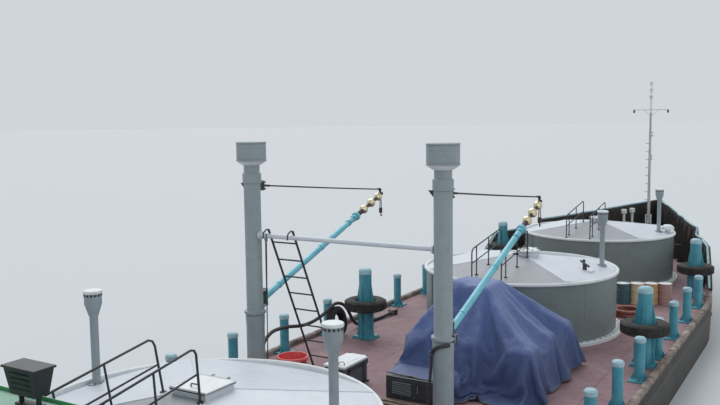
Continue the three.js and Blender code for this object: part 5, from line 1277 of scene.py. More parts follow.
def makeLift(name, upper, eye):
    way = (eye - upper).normalized()
    bm = bmesh.new()
    addBar(bm, upper - Vector((0, 0, 0.0477)), upper + Vector((0, 0, 0.0477)), 0.034, sides=24, rim=0.004)
    rope = [upper + way * 0.02, upper.lerp(eye, 0.5), eye - way * 0.4 + Vector((0, 0, 0.008)),
            eye - way * 0.12 + Vector((0, 0, 0.012)), eye + Vector((0, 0.015, 0))]
    addTube(bm, smoothRoute(rope, 6), 0.014, 10, slot=0)
    addBar(bm, upper + way * 0.05, upper + way * 0.2, 0.02, sides=12, rim=0.006)
    for x in (-0.022, 0.022):
        addBar(bm, eye - way * 0.1 + Vector((x, 0, 0.03)), eye + Vector((x, 0, 0)), 0.009, sides=8)
    addBar(bm, eye - Vector((0.035, 0, 0)), eye + Vector((0.035, 0, 0)), 0.012, sides=10)
    makePiece("toppingLift" + name.title(), bm, [blackPaint], "boom_" + name, ("topping_lift_" + name,))


makeKingposts()
makeCrossbar()
makeBooms()
print("kingposts and booms ready")


ladderLook = {"x": -1.244, "halfWidth": 0.255, "rail": 0.02, "rungs": 10, "rung": 0.014, "footY": -4.478}


def makeLadder():
    bm = bmesh.new()
    y, height = kingpostLook["y"], crossbarLook["height"]
    lean = math.atan2(ladderLook["footY"] - y, height)
    reach = (crossbarLook["radius"] + ladderLook["rail"] + 0.0003) / math.cos(lean)
    top, foot = at(0, y + reach, height), at(0, ladderLook["footY"] + reach, 0)
    head = top + (foot - top) * -0.035
    for side in (-1, 1):
        x = ladderLook["x"] + side * ladderLook["halfWidth"]
        start = Vector((x, head.y, head.z))
        hook = [start + Vector((0, y, z)) for y, z in ((-0.15, -0.14), (-0.147, -0.06), (-0.1, -0.02), (-0.03, 0))]
        addTube(bm, smoothRoute([*hook, start.lerp(Vector((x, foot.y, foot.z)), 0.03)], 4), 0.012, 8)
        addBar(bm, start, (x, foot.y, deckZ + 0.026), ladderLook["rail"], sides=14, rim=0.004)
        addBox(bm, (x - 0.026, foot.y - 0.04, deckZ), (x + 0.026, foot.y + 0.04, deckZ + 0.046), 1, 0.006)
    for i in range(ladderLook["rungs"]):
        point = head.lerp(foot, 0.07 + 0.88 * i / (ladderLook["rungs"] - 1))
        start = Vector((ladderLook["x"] - ladderLook["halfWidth"], point.y, point.z))
        addBar(bm, start, start + Vector((ladderLook["halfWidth"] * 2, 0, 0)), ladderLook["rung"], sides=10)
    makePiece("leaningLadder", bm, [blackPaint, tyreRubber], replaced=("ladder",))


hatchLook = {"x": (-1.475, -1.03), "y": (-4.32, -3.47), "height": 0.47, "lid": 0.05, "overhang": 0.025}


def makeHatch():
    (x0, x1), (y0, y1), height = hatchLook["x"], hatchLook["y"], hatchLook["height"]
    middle, wall = (x0 + x1) / 2, 0.03
    bm = bmesh.new()
    for low, high in (((x0, y0), (x1, y0 + wall)), ((x0, y1 - wall), (x1, y1)), ((x0, y0 + wall), (x0 + wall, y1 - wall)),
                      ((x1 - wall, y0 + wall), (x1, y1 - wall))):
        addBox(bm, (*low, deckZ), (*high, deckZ + height), 0, 0.004)
    addBox(bm, (x0 - 0.03, y0 - 0.03, deckZ), (x1 + 0.03, y0, deckZ + 0.04), 0, 0.004)
    addBox(bm, (x0 - 0.03, y1, deckZ), (x1 + 0.03, y1 + 0.03, deckZ + 0.04), 0, 0.004)
    for x in (x0 + 0.1, x1 - 0.1):
        addBox(bm, (x - 0.012, y0 - 0.03, deckZ + 0.02), (x + 0.012, y0, deckZ + height - 0.05), 0, 0.003)
    frame = 0.05
    for y in (y0 + 0.12, y1 - 0.12 - frame):
        addBox(bm, (x1, y, deckZ + 0.04), (x1 + 0.02, y + frame, deckZ + height - 0.04), 1, 0.004)
    for level in (0.04, height - 0.04 - frame):
        addBox(bm, (x1, y0 + 0.12, deckZ + level), (x1 + 0.02, y1 - 0.12, deckZ + level + frame), 1, 0.004)
    for k in (-1, 1):
        for start, low, high in ((-0.01, -0.12, -0.006), (0.014, -0.01, 0.05)):
            addBox(bm, (middle + k * 0.19 - 0.012, y1 + start, deckZ + height + low),
                   (middle + k * 0.19 + 0.012, y1 + 0.077, deckZ + height + high), 1, 0.003)
    makePiece("hatchBox", bm, [darkGear, blackPaint], replaced=("hatch_box",))
    bm = bmesh.new()
    over, low = hatchLook["overhang"], deckZ + height + 0.0003
    addBox(bm, (x0 - over, y0 - over, low), (x1 + over, y1 + 0.004, low + hatchLook["lid"]), 0, 0.01)
    addBox(bm, (x0 + 0.08, y0 + 0.08, low + 0.048), (x1 - 0.08, y1 - 0.1, low + 0.056), 0, 0.004)
    addBox(bm, (middle - 0.17, y1 - 0.06, low + 0.006), (middle + 0.17, y1 + 0.045, low + 0.044), 0, 0.004)
    addBar(bm, (middle - 0.177, y1 + 0.055, low + 0.025), (middle + 0.177, y1 + 0.055, low + 0.025), 0.019, sides=16, slot=1)
    for k in (-1, 1):
        base = Vector((middle + k * 0.11, y0 + 0.09, low + 0.05))
        loop = [base, base + Vector((0, 0, 0.04)), base + Vector((0.03, 0, 0.06)), base + Vector((0.09, 0, 0.06)),
                base + Vector((0.12, 0, 0.04)), base + Vector((0.12, 0, 0))]
        addTube(bm, smoothRoute([point - Vector((0.06, 0, 0)) for point in loop], 3), 0.008, 8, slot=1)
    makePiece("hatchLid", bm, [rimPaint, greyGear], "hatch_lid", ("hatch_lid",))


tubLook = {"x": -2.62, "y": -3.78, "radius": 0.32, "bottom": 0.25, "height": 0.385}


def makeTub():
    bm = bmesh.new()
    r, b, h = tubLook["radius"], tubLook["bottom"], tubLook["height"]
    place = Matrix.Translation(at(tubLook["x"], tubLook["y"], 0))
    profile = [(0, 0), (b - 0.02, 0), (b, 0.014), (b + 0.016, 0.12), (b + 0.022, 0.125), (b + 0.024, 0.15),
               (b + 0.02, 0.155), (r - 0.022, h - 0.07), (r - 0.016, h - 0.066), (r - 0.004, h - 0.062), (r, h - 0.056),
               (r, h - 0.006), (r - 0.006, h), (r - 0.02, h), (r - 0.026, h - 0.01), (b - 0.012, 0.022),
               (b - 0.03, 0.014), (0, 0.014)]
    slots = [1 if k > 7 and k < 14 else 0 for k in range(len(profile) - 1)]
    addLathe(bm, profile, place, 56, slots=slots)
    for side in (-1, 1):
        grip = [(side * r, -0.07, h - 0.03), (side * (r + 0.035), -0.06, h - 0.035), (side * (r + 0.045), 0, h - 0.037),
                (side * (r + 0.035), 0.06, h - 0.035), (side * r, 0.07, h - 0.03)]
        addTube(bm, smoothRoute([place @ Vector(point) for point in grip], 4), 0.011, 8)
    makePiece("wasteTub", bm, [redPlastic, redRim], replaced=("red_tub",))


drumLook = {"radius": 0.19, "height": 0.58, "first": (1.77, 5.87), "pitch": 0.378, "heading": 25.4}


def makeDrums():
    r, h = drumLook["radius"], drumLook["height"]
    heading = math.radians(drumLook["heading"])
    for k in range(len(drumPaints)):
        bm = bmesh.new()
        along = Vector((math.cos(heading), math.sin(heading), 0)) * drumLook["pitch"] * k
        place = Matrix.Translation(at(*drumLook["first"], 0) + along) @ Matrix.Rotation(0.7 * k, 4, "Z")
        wall = [(0, 0.004), (r - 0.01, 0.004), (r + 0.004, 0.0), (r + 0.007, 0.006), (r + 0.006, 0.016), (r, 0.02)]
        for level in (0.2, 0.385):
            wall += [(r, level - 0.016), (r + 0.0065, level - 0.006), (r + 0.0065, level + 0.006), (r, level + 0.016)]
        wall += [(r, h - 0.022), (r + 0.004, h - 0.016), (r + 0.004, h - 0.004), (r - 0.002, h), (r - 0.012, h - 0.003)]
        addLathe(bm, wall, place, 40)
        addLathe(bm, [(r - 0.012, h - 0.003), (r - 0.014, h - 0.02), (r * 0.6, h - 0.014), (0, h - 0.014)], place, 40, slot=1)
        addBar(bm, place @ Vector((0.1, 0, h - 0.02)), place @ Vector((0.1, 0, h - 0.002)), 0.032, sides=16, slot=1)
        addBar(bm, place @ Vector((-0.11, 0.03, h - 0.02)), place @ Vector((-0.11, 0.03, h - 0.004)), 0.018, sides=12, slot=1)
        makePiece("wasteDrum" + str(k + 1), bm, [drumPaints[k], rimPaint],
                  replaced=("waste_drums",) if k == 0 else ())


makeLadder()
makeHatch()
makeTub()
makeDrums()
print("deck gear ready")


# Bitts and tyres
bittLook = {"radius": 0.15, "height": 1.69, "tyreZ": 0.68, "wing": 0.222, "gusset": 0.262, "wingTop": 1.56}
bittPlaces = {"Port": (-2.72, -0.65), "Starboard": (3.53, 0.23), "BowPort": (-2.98, 9.0), "BowStarboard": (3.37, 7.65)}
tyreLook = {"outer": 0.5, "inner": 0.235, "width": 0.27, "treads": 44, "lift": 0.6803}


def nodeName(name):
    return "".join("_" + letter.lower() if letter.isupper() else letter for letter in name).strip("_")


def makeBitts():
    r, h = bittLook["radius"], bittLook["height"]
    wing, reach, top, tyreZ = bittLook["wing"], bittLook["gusset"], bittLook["wingTop"], bittLook["tyreZ"]
    for name, (x, y) in bittPlaces.items():
        bm = bmesh.new()
        place = Matrix.Translation(at(x, y, 0))
        addLathe(bm, [(0, 0), (r, 0), (r, h - 0.14)], place, 40)
        addLathe(bm, [(r, h - 0.14), (r + 0.004, h - 0.135), (r + 0.004, h - 0.06), (r - 0.012, h - 0.03),
                      (r - 0.05, h - 0.004), (r - 0.07, h), (0, h)], place, 40, slot=1)
        addBox(bm, (-0.27, -0.21, 0), (0.27, 0.21, 0.035), 0, 0.008, place)
        addBox(bm, (-0.25, -0.19, 0.035), (0.25, 0.19, 0.06), 0, 0.008, place)
        for k in range(4):
            turn = place @ Matrix.Rotation(k * quarter, 4, "Z") @ Matrix.Rotation(quarter, 4, "X")
            low = [(0.1, 0), (reach, 0), (reach, 0.05), (reach - 0.05, 0.12), (reach - 0.05, tyreZ - 0.06),
                   (reach, tyreZ), (0.1, tyreZ)]
            high = [(0.1, tyreZ), (wing, tyreZ), (wing, tyreZ + 0.27), (0.12, top), (0.1, top)]
            addPrism(bm, low, 0.028, turn)
            addPrism(bm, high, 0.024, turn)
        node = "bitt_" + nodeName(name)
        # The bitt top takes the pale cap coat: a painted highlight
        makePiece("bitt" + name, bm, [postBlue, capWearAndHighlightPaint], replaced=(node,))


def addTyre(bm, look, place):
    outer, inner, half = look["outer"], look["inner"], look["width"] / 2
    wall = [(inner, -half * 0.62), (inner + 0.012, -half * 0.78), (inner + 0.05, -half * 0.9),
            (outer - 0.11, -half * 0.98), (outer - 0.06, -half * 0.9), (outer - 0.02, -half * 0.62), (outer - 0.014, -half * 0.3),
            (outer - 0.012, 0)]
    outside = wall + [(r, -z) for r, z in reversed(wall[:-1])]
    inside = [(inner, half * 0.5), (inner + 0.09, half * 0.62), (outer - 0.07, half * 0.55), (outer - 0.05, 0),
              (outer - 0.07, -half * 0.55), (inner + 0.09, -half * 0.62), (inner, -half * 0.5)]
    addLathe(bm, outside + inside, place, 64, closed=True)
    for k in (-1, 1):
        for radius in (inner + 0.035, outer - 0.125):
            level = k * half * (0.85 if radius < 0.4 * outer + 0.3 * inner else 0.97)
            addLathe(bm, [(radius, level - 0.006 * k), (radius + 0.004, level + 0.004 * k),
                          (radius + 0.012, level + 0.004 * k), (radius + 0.016, level - 0.006 * k)], place, 64)


def treadMesh(look):
    bm = bmesh.new()
    outer, half = look["outer"], look["width"] / 2
    step = 2 * math.pi / look["treads"]
    for low, high, shift in ((-0.66, -0.36, 0.0), (-0.3, -0.03, 0.5), (0.03, 0.3, 0.0), (0.36, 0.66, 0.5)):
        turn = Matrix.Rotation(step * (shift - 0.38), 4, "Z")
        wide = step * outer * 0.72
        addBox(bm, (outer - 0.035, 0, low * half), (outer - 0.001, wide, high * half), bevel=0.003, place=turn)
    return meshOf(bm)


def makeTyres():
    for name, (x, y) in bittPlaces.items():
        centre = at(x, y, tyreLook["lift"] + tyreLook["width"] / 2)
        bm = bmesh.new()
        addTyre(bm, tyreLook, Matrix.Translation(centre))
        node = "tyre_" + nodeName(name)
        makePiece("tyreCasing" + name, bm, [tyreRubber], replaced=(node,), sharp=50)
        grow("tyreTread" + name, ringOfCopies, treadMesh(tyreLook), tyreRubber,
             Count=tyreLook["treads"], Turn=(0.0, 0.0, 0.0), Place=tuple(centre))


leaningLook = {"outer": 0.36, "inner": 0.19, "width": 0.2, "treads": 36, "lean": 12}


def makeLeaningTyre():
    low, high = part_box("tyre_leaning")
    turn = quarter - math.radians(leaningLook["lean"])
    centre = (low + high) / 2
    bm = bmesh.new()
    addTyre(bm, leaningLook, Matrix.Translation(centre) @ Matrix.Rotation(turn, 4, "Y"))
    makePiece("leaningTyreCasing", bm, [tyreRubber], replaced=("tyre_leaning",), sharp=50)
    grow("leaningTyreTread", ringOfCopies, treadMesh(leaningLook), tyreRubber,
         Count=leaningLook["treads"], Turn=(0.0, turn, 0.0), Place=tuple(centre))


makeBitts()
makeTyres()
makeLeaningTyre()
print("bitts and tyres ready")


# Tarpaulin: a flat sheet dropped over stand-ins for the machinery beneath it
tarpLook = {
    "centre": (0.89, -2.12), "half": (2.56, 2.9), "rounding": 0.33, "cells": 98, "frames": 62, "drop": 2.08,
    "bending": 1.0, "tension": 20.0, "thickness": 0.005, "quickCells": 44, "quickFrames": 40, "crumple": 0.014,
}
# Blocks of the height of what lies under the cloth, which sags between them
tarpStandIns = [
    ((-0.25, -2.85, 0), (1.95, -0.6, 0.86)), ((-0.33, -3.13, 0), (0.15, -2.6, 0.98)), ((0.7, -3.1, 0), (1.2, -2.6, 1.0)),
    ((1.75, -3.13, 0), (2.22, -2.65, 0.96)), ((1.8, -2.05, 0), (2.2, -1.65, 0.98)), ((1.85, -1.0, 0), (2.2, -0.6, 1.0)),
    ((-0.33, -1.9, 0), (0.0, -1.5, 0.95)), ((0.0, -2.6, 0), (1.35, -1.35, 1.38)), ((0.2, -2.4, 0), (1.1, -1.5, 1.88)),
    ((0.25, -2.35, 0), (0.55, -2.0, 1.93)),
]


def tarpFinish():
    material, tree, shader = newFinish("blue coated tarpaulin")
    way = addNode(tree, "ShaderNodeUVMap", uv_map="cloth").outputs[0]
    place = addNode(tree, "ShaderNodeTexCoord").outputs["Object"]
    cloudy = addNode(tree, "ShaderNodeTexNoise", {"Vector": place, "Scale": perMetre(700), "Detail": 5.0})
    share = addNode(tree, "ShaderNodeMapRange", {"Value": cloudy.outputs[0], "From Min": 0.3, "From Max": 0.7})
    mixed = addNode(tree, "ShaderNodeMix", {
        0: share.outputs[0], 6: toLinear("#43598f"), 7: toLinear("#5a70a8")}, data_type="RGBA")
    rubbed = addNode(tree, "ShaderNodeTexNoise", {"Vector": way, "Scale": perMetre(260), "Detail": 9.0, "Distortion": 1.5})
    chalk = addNode(tree, "ShaderNodeMapRange", {
        "Value": rubbed.outputs[0], "From Min": 0.55, "From Max": 0.75, "To Max": 0.4})
    worn = addNode(tree, "ShaderNodeMix", {
        0: chalk.outputs[0], 6: mixed.outputs[2], 7: toLinear("#8391bb")}, data_type="RGBA")
    # Darker towards the deck: painted shade on the lower folds of the cloth
    low = addNode(tree, "ShaderNodeMapRange", {
        "Value": addNode(tree, "ShaderNodeSeparateXYZ", {"Vector": place}).outputs["Z"],
        "From Min": deckZ + 1.6, "From Max": deckZ + 0.3, "To Max": 0.7})
    secondTone = addNode(tree, "ShaderNodeMix", {
        0: low.outputs[0], 6: worn.outputs[2], 7: toLinear("#35436a")}, data_type="RGBA")
    tree.links.new(secondTone.outputs[2], shader.inputs["Base Color"])
    shader.inputs["Roughness"].default_value = 0.5
    shader.inputs["Sheen Weight"].default_value = 0.15
    creases = addNode(tree, "ShaderNodeTexNoise", {"Vector": way, "Scale": perMetre(240), "Detail": 6.0, "Distortion": 1.2})
    weave = addNode(tree, "ShaderNodeTexChecker", {"Vector": way, "Scale": perMetre(5)})
    height = addNode(tree, "ShaderNodeMath", {
        0: creases.outputs[0], 1: 30.0, 2: weave.outputs["Fac"]}, operation="MULTIPLY_ADD")
    bump = addNode(tree, "ShaderNodeBump", {"Height": height.outputs[0], "Strength": 1.0, "Distance": 0.0008})
    tree.links.new(bump.outputs[0], shader.inputs["Normal"])
    return material


def flatSheet(cells):
    (halfX, halfY), (middleX, middleY) = tarpLook["half"], tarpLook["centre"]
    verts, flatSpots = [], []
    for i in range(cells + 1):
        for j in range(cells + 1):
            u, v = 2 * i / cells - 1, 2 * j / cells - 1
            x = u * math.sqrt(1 - tarpLook["rounding"] * v * v) * halfX
            y = v * math.sqrt(1 - tarpLook["rounding"] * u * u) * halfY
            flatSpots.append((x, y))
            ripple = 0.02 * noise.noise(Vector((x * 1.7, y * 1.7, 3.1)))
            verts.append(at(middleX + x, middleY + y, tarpLook["drop"] + ripple))
    faces = []
    for i in range(cells):
        for j in range(cells):
            k = i * (cells + 1) + j
            faces.append((k, k + cells + 1, k + cells + 2, k + 1))
    mesh = bpy.data.meshes.new("tarp")
    mesh.from_pydata(verts, [], faces)
    uv = mesh.uv_layers.new(name="cloth")
    for loop in mesh.loops:
        uv.data[loop.index].uv = flatSpots[loop.vertex_index]
    area = sum(face.area for face in mesh.polygons)
    return mesh, area


def dropTarp():
    mesh, area = flatSheet(tarpLook["cells"])
    piece = linked("machineryTarp", mesh)
    low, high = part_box("pump_box")
    stands = [(at(*a), at(*b)) for a, b in tarpStandIns]
    stands += [(low, high - Vector((0, 0, 0.01))), (at(-8, -9, -1), at(9, 6, 0.0))]
    props = []
    for k, (a, b) in enumerate(stands):
        bm = bmesh.new()
        addBox(bm, a, b, bevel=0.0)
        bmesh.ops.bevel(bm, geom=list(bm.edges), offset=0.05 if k < len(tarpStandIns) else 0.01, segments=2, affect="EDGES")
        prop = linked("standIn" + str(k), meshOf(bm))
        prop.modifiers.new("solid", "COLLISION")
        prop.collision.thickness_outer = 0.012
        prop.collision.cloth_friction = 12
        props.append(prop)
    cloth = piece.modifiers.new("fall", "CLOTH")
    settings = cloth.settings
    settings.quality = 8
    settings.mass = 0.5
    settings.air_damping = 2.0
    settings.tension_stiffness = settings.compression_stiffness = tarpLook["tension"]
    settings.shear_stiffness = tarpLook["tension"] * 0.6
    settings.bending_stiffness = tarpLook["bending"]
    cloth.collision_settings.distance_min = 0.014
    cloth.collision_settings.collision_quality = 3
    cloth.collision_settings.use_self_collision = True
    cloth.collision_settings.self_distance_min = 0.01
    last = tarpLook["frames"]
    cloth.point_cache.frame_start, cloth.point_cache.frame_end = 1, last
    scene = bpy.context.scene
    for step in range(1, last + 1):
        scene.frame_set(step)
    evaluated = piece.evaluated_get(bpy.context.evaluated_depsgraph_get())
    settled = bpy.data.meshes.new_from_object(evaluated)
    piece.modifiers.clear()
    for prop in props:
        bpy.data.objects.remove(prop)
    scene.frame_set(1)
    bm = bmesh.new()
    bm.from_mesh(settled)
    bmesh.ops.smooth_vert(bm, verts=bm.verts, factor=0.3, use_axis_x=True, use_axis_y=True, use_axis_z=True)
    bm.normal_update()
    for vert in bm.verts:  # small crumples that the cells of the simulation are too coarse for
        ridge = 1 - abs(noise.noise(Vector((vert.co.x * 2.2, vert.co.y * 2.2, vert.co.z * 0.9)))) * 2
        fine = noise.noise(vert.co * 5.5)
        vert.co += vert.normal * tarpLook["crumple"] * (ridge ** 3 + fine * 0.6)
        vert.co.z = max(vert.co.z, deckZ + 0.006)
    for face in bm.faces:
        face.smooth = True
    rim = [edge for edge in bm.edges if edge.is_boundary]
    hem = loopOf(rim)
    bm.to_mesh(settled)
    bm.free()
    settled.materials.append(tarpFinish())
    piece.data = settled
    finer = piece.modifiers.new("finer", "SUBSURF")
    finer.levels = finer.render_levels = 1
    wall = piece.modifiers.new("thick", "SOLIDIFY")
    wall.thickness, wall.offset = tarpLook["thickness"], 1.0
    declare(piece, "vessel", ("tarp_cover",))
    bm = bmesh.new()
    addTube(bm, hem[::2], 0.011, 6, closed=True)
    makePiece("tarpHemRope", bm, [creamRope])


def loopOf(edges):
    links = {}
    for edge in edges:
        a, b = edge.verts
        links.setdefault(a, []).append(b)
        links.setdefault(b, []).append(a)
    start = edges[0].verts[0]
    path, before, current = [start.co.copy()], None, start
    while True:
        following = next(vert for vert in links[current] if vert is not before)
        if following is start:
            return path
        path.append(following.co.copy())
        before, current = current, following


pumpLook = {"low": (-0.25, -4.1), "high": (0.95, -3.45), "height": 0.45, "louvres": 7}


def makePumpBox():
    (x0, y0), (x1, y1), height = pumpLook["low"], pumpLook["high"], pumpLook["height"]
    bm = bmesh.new()
    addBox(bm, at(x0, y0, 0), at(x1, y1, height - 0.03), 0, 0.012)
    addBox(bm, at(x0, y0, height - 0.03), at(x1, y1, height), 1, 0.008)
    addBox(bm, at(x0 + 0.04, y0 - 0.012, 0.06), at(x1 - 0.04, y0 + 0.01, height - 0.06), 0, 0.005)
    for k in range(pumpLook["louvres"]):
        level = 0.12 + 0.035 * k
        blade = Matrix.Translation(at(x0 + 0.34, y0 - 0.014, level)) @ Matrix.Rotation(0.6, 4, "X")
        addBox(bm, (-0.2, -0.012, -0.003), (0.2, 0.012, 0.003), 2, 0.001, blade)
    for x in (x0 + 0.68, x0 + 1.02):
        addBar(bm, at(x, y0 - 0.035, 0.2), at(x, y0 - 0.035, 0.32), 0.008, sides=10, slot=2)
        for level in (0.2, 0.32):
            addBar(bm, at(x, y0 - 0.012, level), at(x, y0 - 0.042, level), 0.008, sides=10, slot=2)
    for k in range(5):
        for level in (0.075, 0.375):
            x = x0 + 0.07 + k * 0.265
            addBar(bm, at(x, y0 - 0.01, level), at(x, y0 - 0.02, level), 0.009, sides=6, slot=2)
    route = cordRoutes["mooringRope"]["route"][0]
    exit = at(*route)
    addLathe(bm, [(0.021, -0.004), (0.03, -0.012), (0.044, -0.006), (0.044, 0.008), (0.021, 0.008)],
             Matrix.Translation(exit - Vector((0, 0.003, 0))) @ Matrix.Rotation(quarter, 4, "X"), 24, slot=2, closed=True)
    makePiece("pumpBox", bm, [blackPaint, roofPaint, greyGear], replaced=("pump_box",))


def makeHoseFittings():
    bm = bmesh.new()
    start, end = [at(*cordRoutes["suctionHose"]["route"][k]) for k in (0, -1)]
    addLathe(bm, [(0.041, 0.0), (0.05, -0.002), (0.052, 0.03), (0.041, 0.032)], Matrix.Translation(start), 32, closed=True)
    addLathe(bm, [(0.058, -0.25), (0.092, -0.25), (0.092, -0.232), (0.062, -0.22), (0.062, -0.02), (0.07, -0.016),
                  (0.07, -0.002), (0.058, 0)], Matrix.Translation(start), 32, closed=True)
    flange = Matrix.Translation(end) @ Matrix.Rotation(-quarter, 4, "X")
    addLathe(bm, [(0.041, -0.05), (0.052, -0.05), (0.054, -0.012), (0.08, -0.01), (0.08, 0.0), (0.041, 0.0)],
             flange, 32, closed=True)
    for k in range(6):
        a = 2 * math.pi * k / 6
        spot = flange @ Vector((0.067 * math.cos(a), 0.067 * math.sin(a), -0.01))
        addBar(bm, spot, spot + Vector((0, -0.009, 0)), 0.007, sides=6, slot=1)
    makePiece("suctionFittings", bm, [greyGear, bareSteel])


makePumpBox()
dropTarp()
makeHoseFittings()
print("tarpaulin ready")


# Foredeck: platform, tabernacle, mast and windlass
foreLook = {"mastY": 17.67, "floor": 0.52, "windlassY": 15.8, "axle": 0.33, "halfWidth": 0.62}


def makeForedeck():
    floor = deckZ + foreLook["floor"]

    def foreSlot(face):
        spot = face.calc_center_median()
        if spot.z > floor + 0.012 or abs(spot.x) < 0.19 and abs(spot.y - foreLook["mastY"]) < 0.17 and spot.z > floor - 0.1:
            return 2
        return 0 if face.normal.z > 0.9 else 1
    dressedCopy("foredeckPlatform", "forecastle", [deckPaint, hullPaint, mastPaint], slotOf=foreSlot,
                bevel=0.004)
    y, base = foreLook["mastY"], foreLook["floor"]
    bm = bmesh.new()
    place = Matrix.Translation(at(0, y, 0))
    top = 6.56
    addLathe(bm, [(0, base + 0.06), (0.05, base + 0.06), (0.06, base + 0.07), (0.06, base + 1.2), (0.05, 4.2),
                  (0.036, top - 0.5), (0.02, top - 0.48), (0.02, top), (0, top)], place, 28)
    addBar(bm, at(-0.0845, y, base + 0.56), at(0.0845, y, base + 0.56), 0.032, sides=24, slot=1)
    arm = 5.43
    addBar(bm, at(-0.69, y, arm), at(0.69, y, arm), 0.022, sides=16)
    for side in (-1, 1):
        addBar(bm, at(side * 0.66, y, arm - 0.02), at(side * 0.66, y, arm - 0.13), 0.035, sides=16, slot=1)
        addBar(bm, at(side * 0.3, y, arm), at(0, y, arm - 0.26), 0.012, sides=10)
        addBar(bm, at(side * 0.69, y, arm), at(side * 0.7, y, arm), 0.03, sides=12)
    for level, reach in ((top - 0.16, 0.07), (top - 0.42, 0.075), (top - 0.7, 0.085)):
        addLathe(bm, [(0.02, level), (reach, level), (reach, level + 0.03), (reach * 0.8, level + 0.035)], place, 24)
        addLathe(bm, [(reach * 0.8, level + 0.035), (reach * 0.8, level + 0.115)], place, 24, slot=2)
        addLathe(bm, [(reach * 0.8, level + 0.115), (reach, level + 0.12), (reach, level + 0.14), (0.02, level + 0.15)],
                 place, 24)
    for level in (3.4, 4.35):
        spot = Matrix.Translation(at(0, y + 0.09, level))
        addBox(bm, at(-0.05, y - 0.04, level - 0.025), at(0.05, y + 0.12, level + 0.002), 0, 0.004)
        addLathe(bm, [(0, 0), (0.075, 0), (0.075, 0.035), (0.062, 0.04)], spot, 24, slot=1)
        addLathe(bm, [(0.062, 0.04), (0.062, 0.13)], spot, 24, slot=2)
        addLathe(bm, [(0.062, 0.13), (0.075, 0.134), (0.07, 0.165), (0.03, 0.19), (0, 0.19)], spot, 24, slot=1)
    for k in range(9):
        level = base + 0.9 + 0.33 * k
        step = [at(-0.05, y, level), at(-0.17, y, level), at(-0.17, y, level + 0.02), at(-0.05, y, level + 0.02)]
        addTube(bm, step[:2], 0.008, 8, slot=1)
    for x in (-0.03, 0.028):
        addTube(bm, [at(x, y - 0.06, base + 0.4), at(x, y - 0.062, 3.3), at(x * 0.7, y - 0.05, 5.3)], 0.007, 6, slot=1)
    makePiece("bowMast", bm, [mastPaint, blackPaint, lampGlass], "bow_mast", ("bow_mast",))


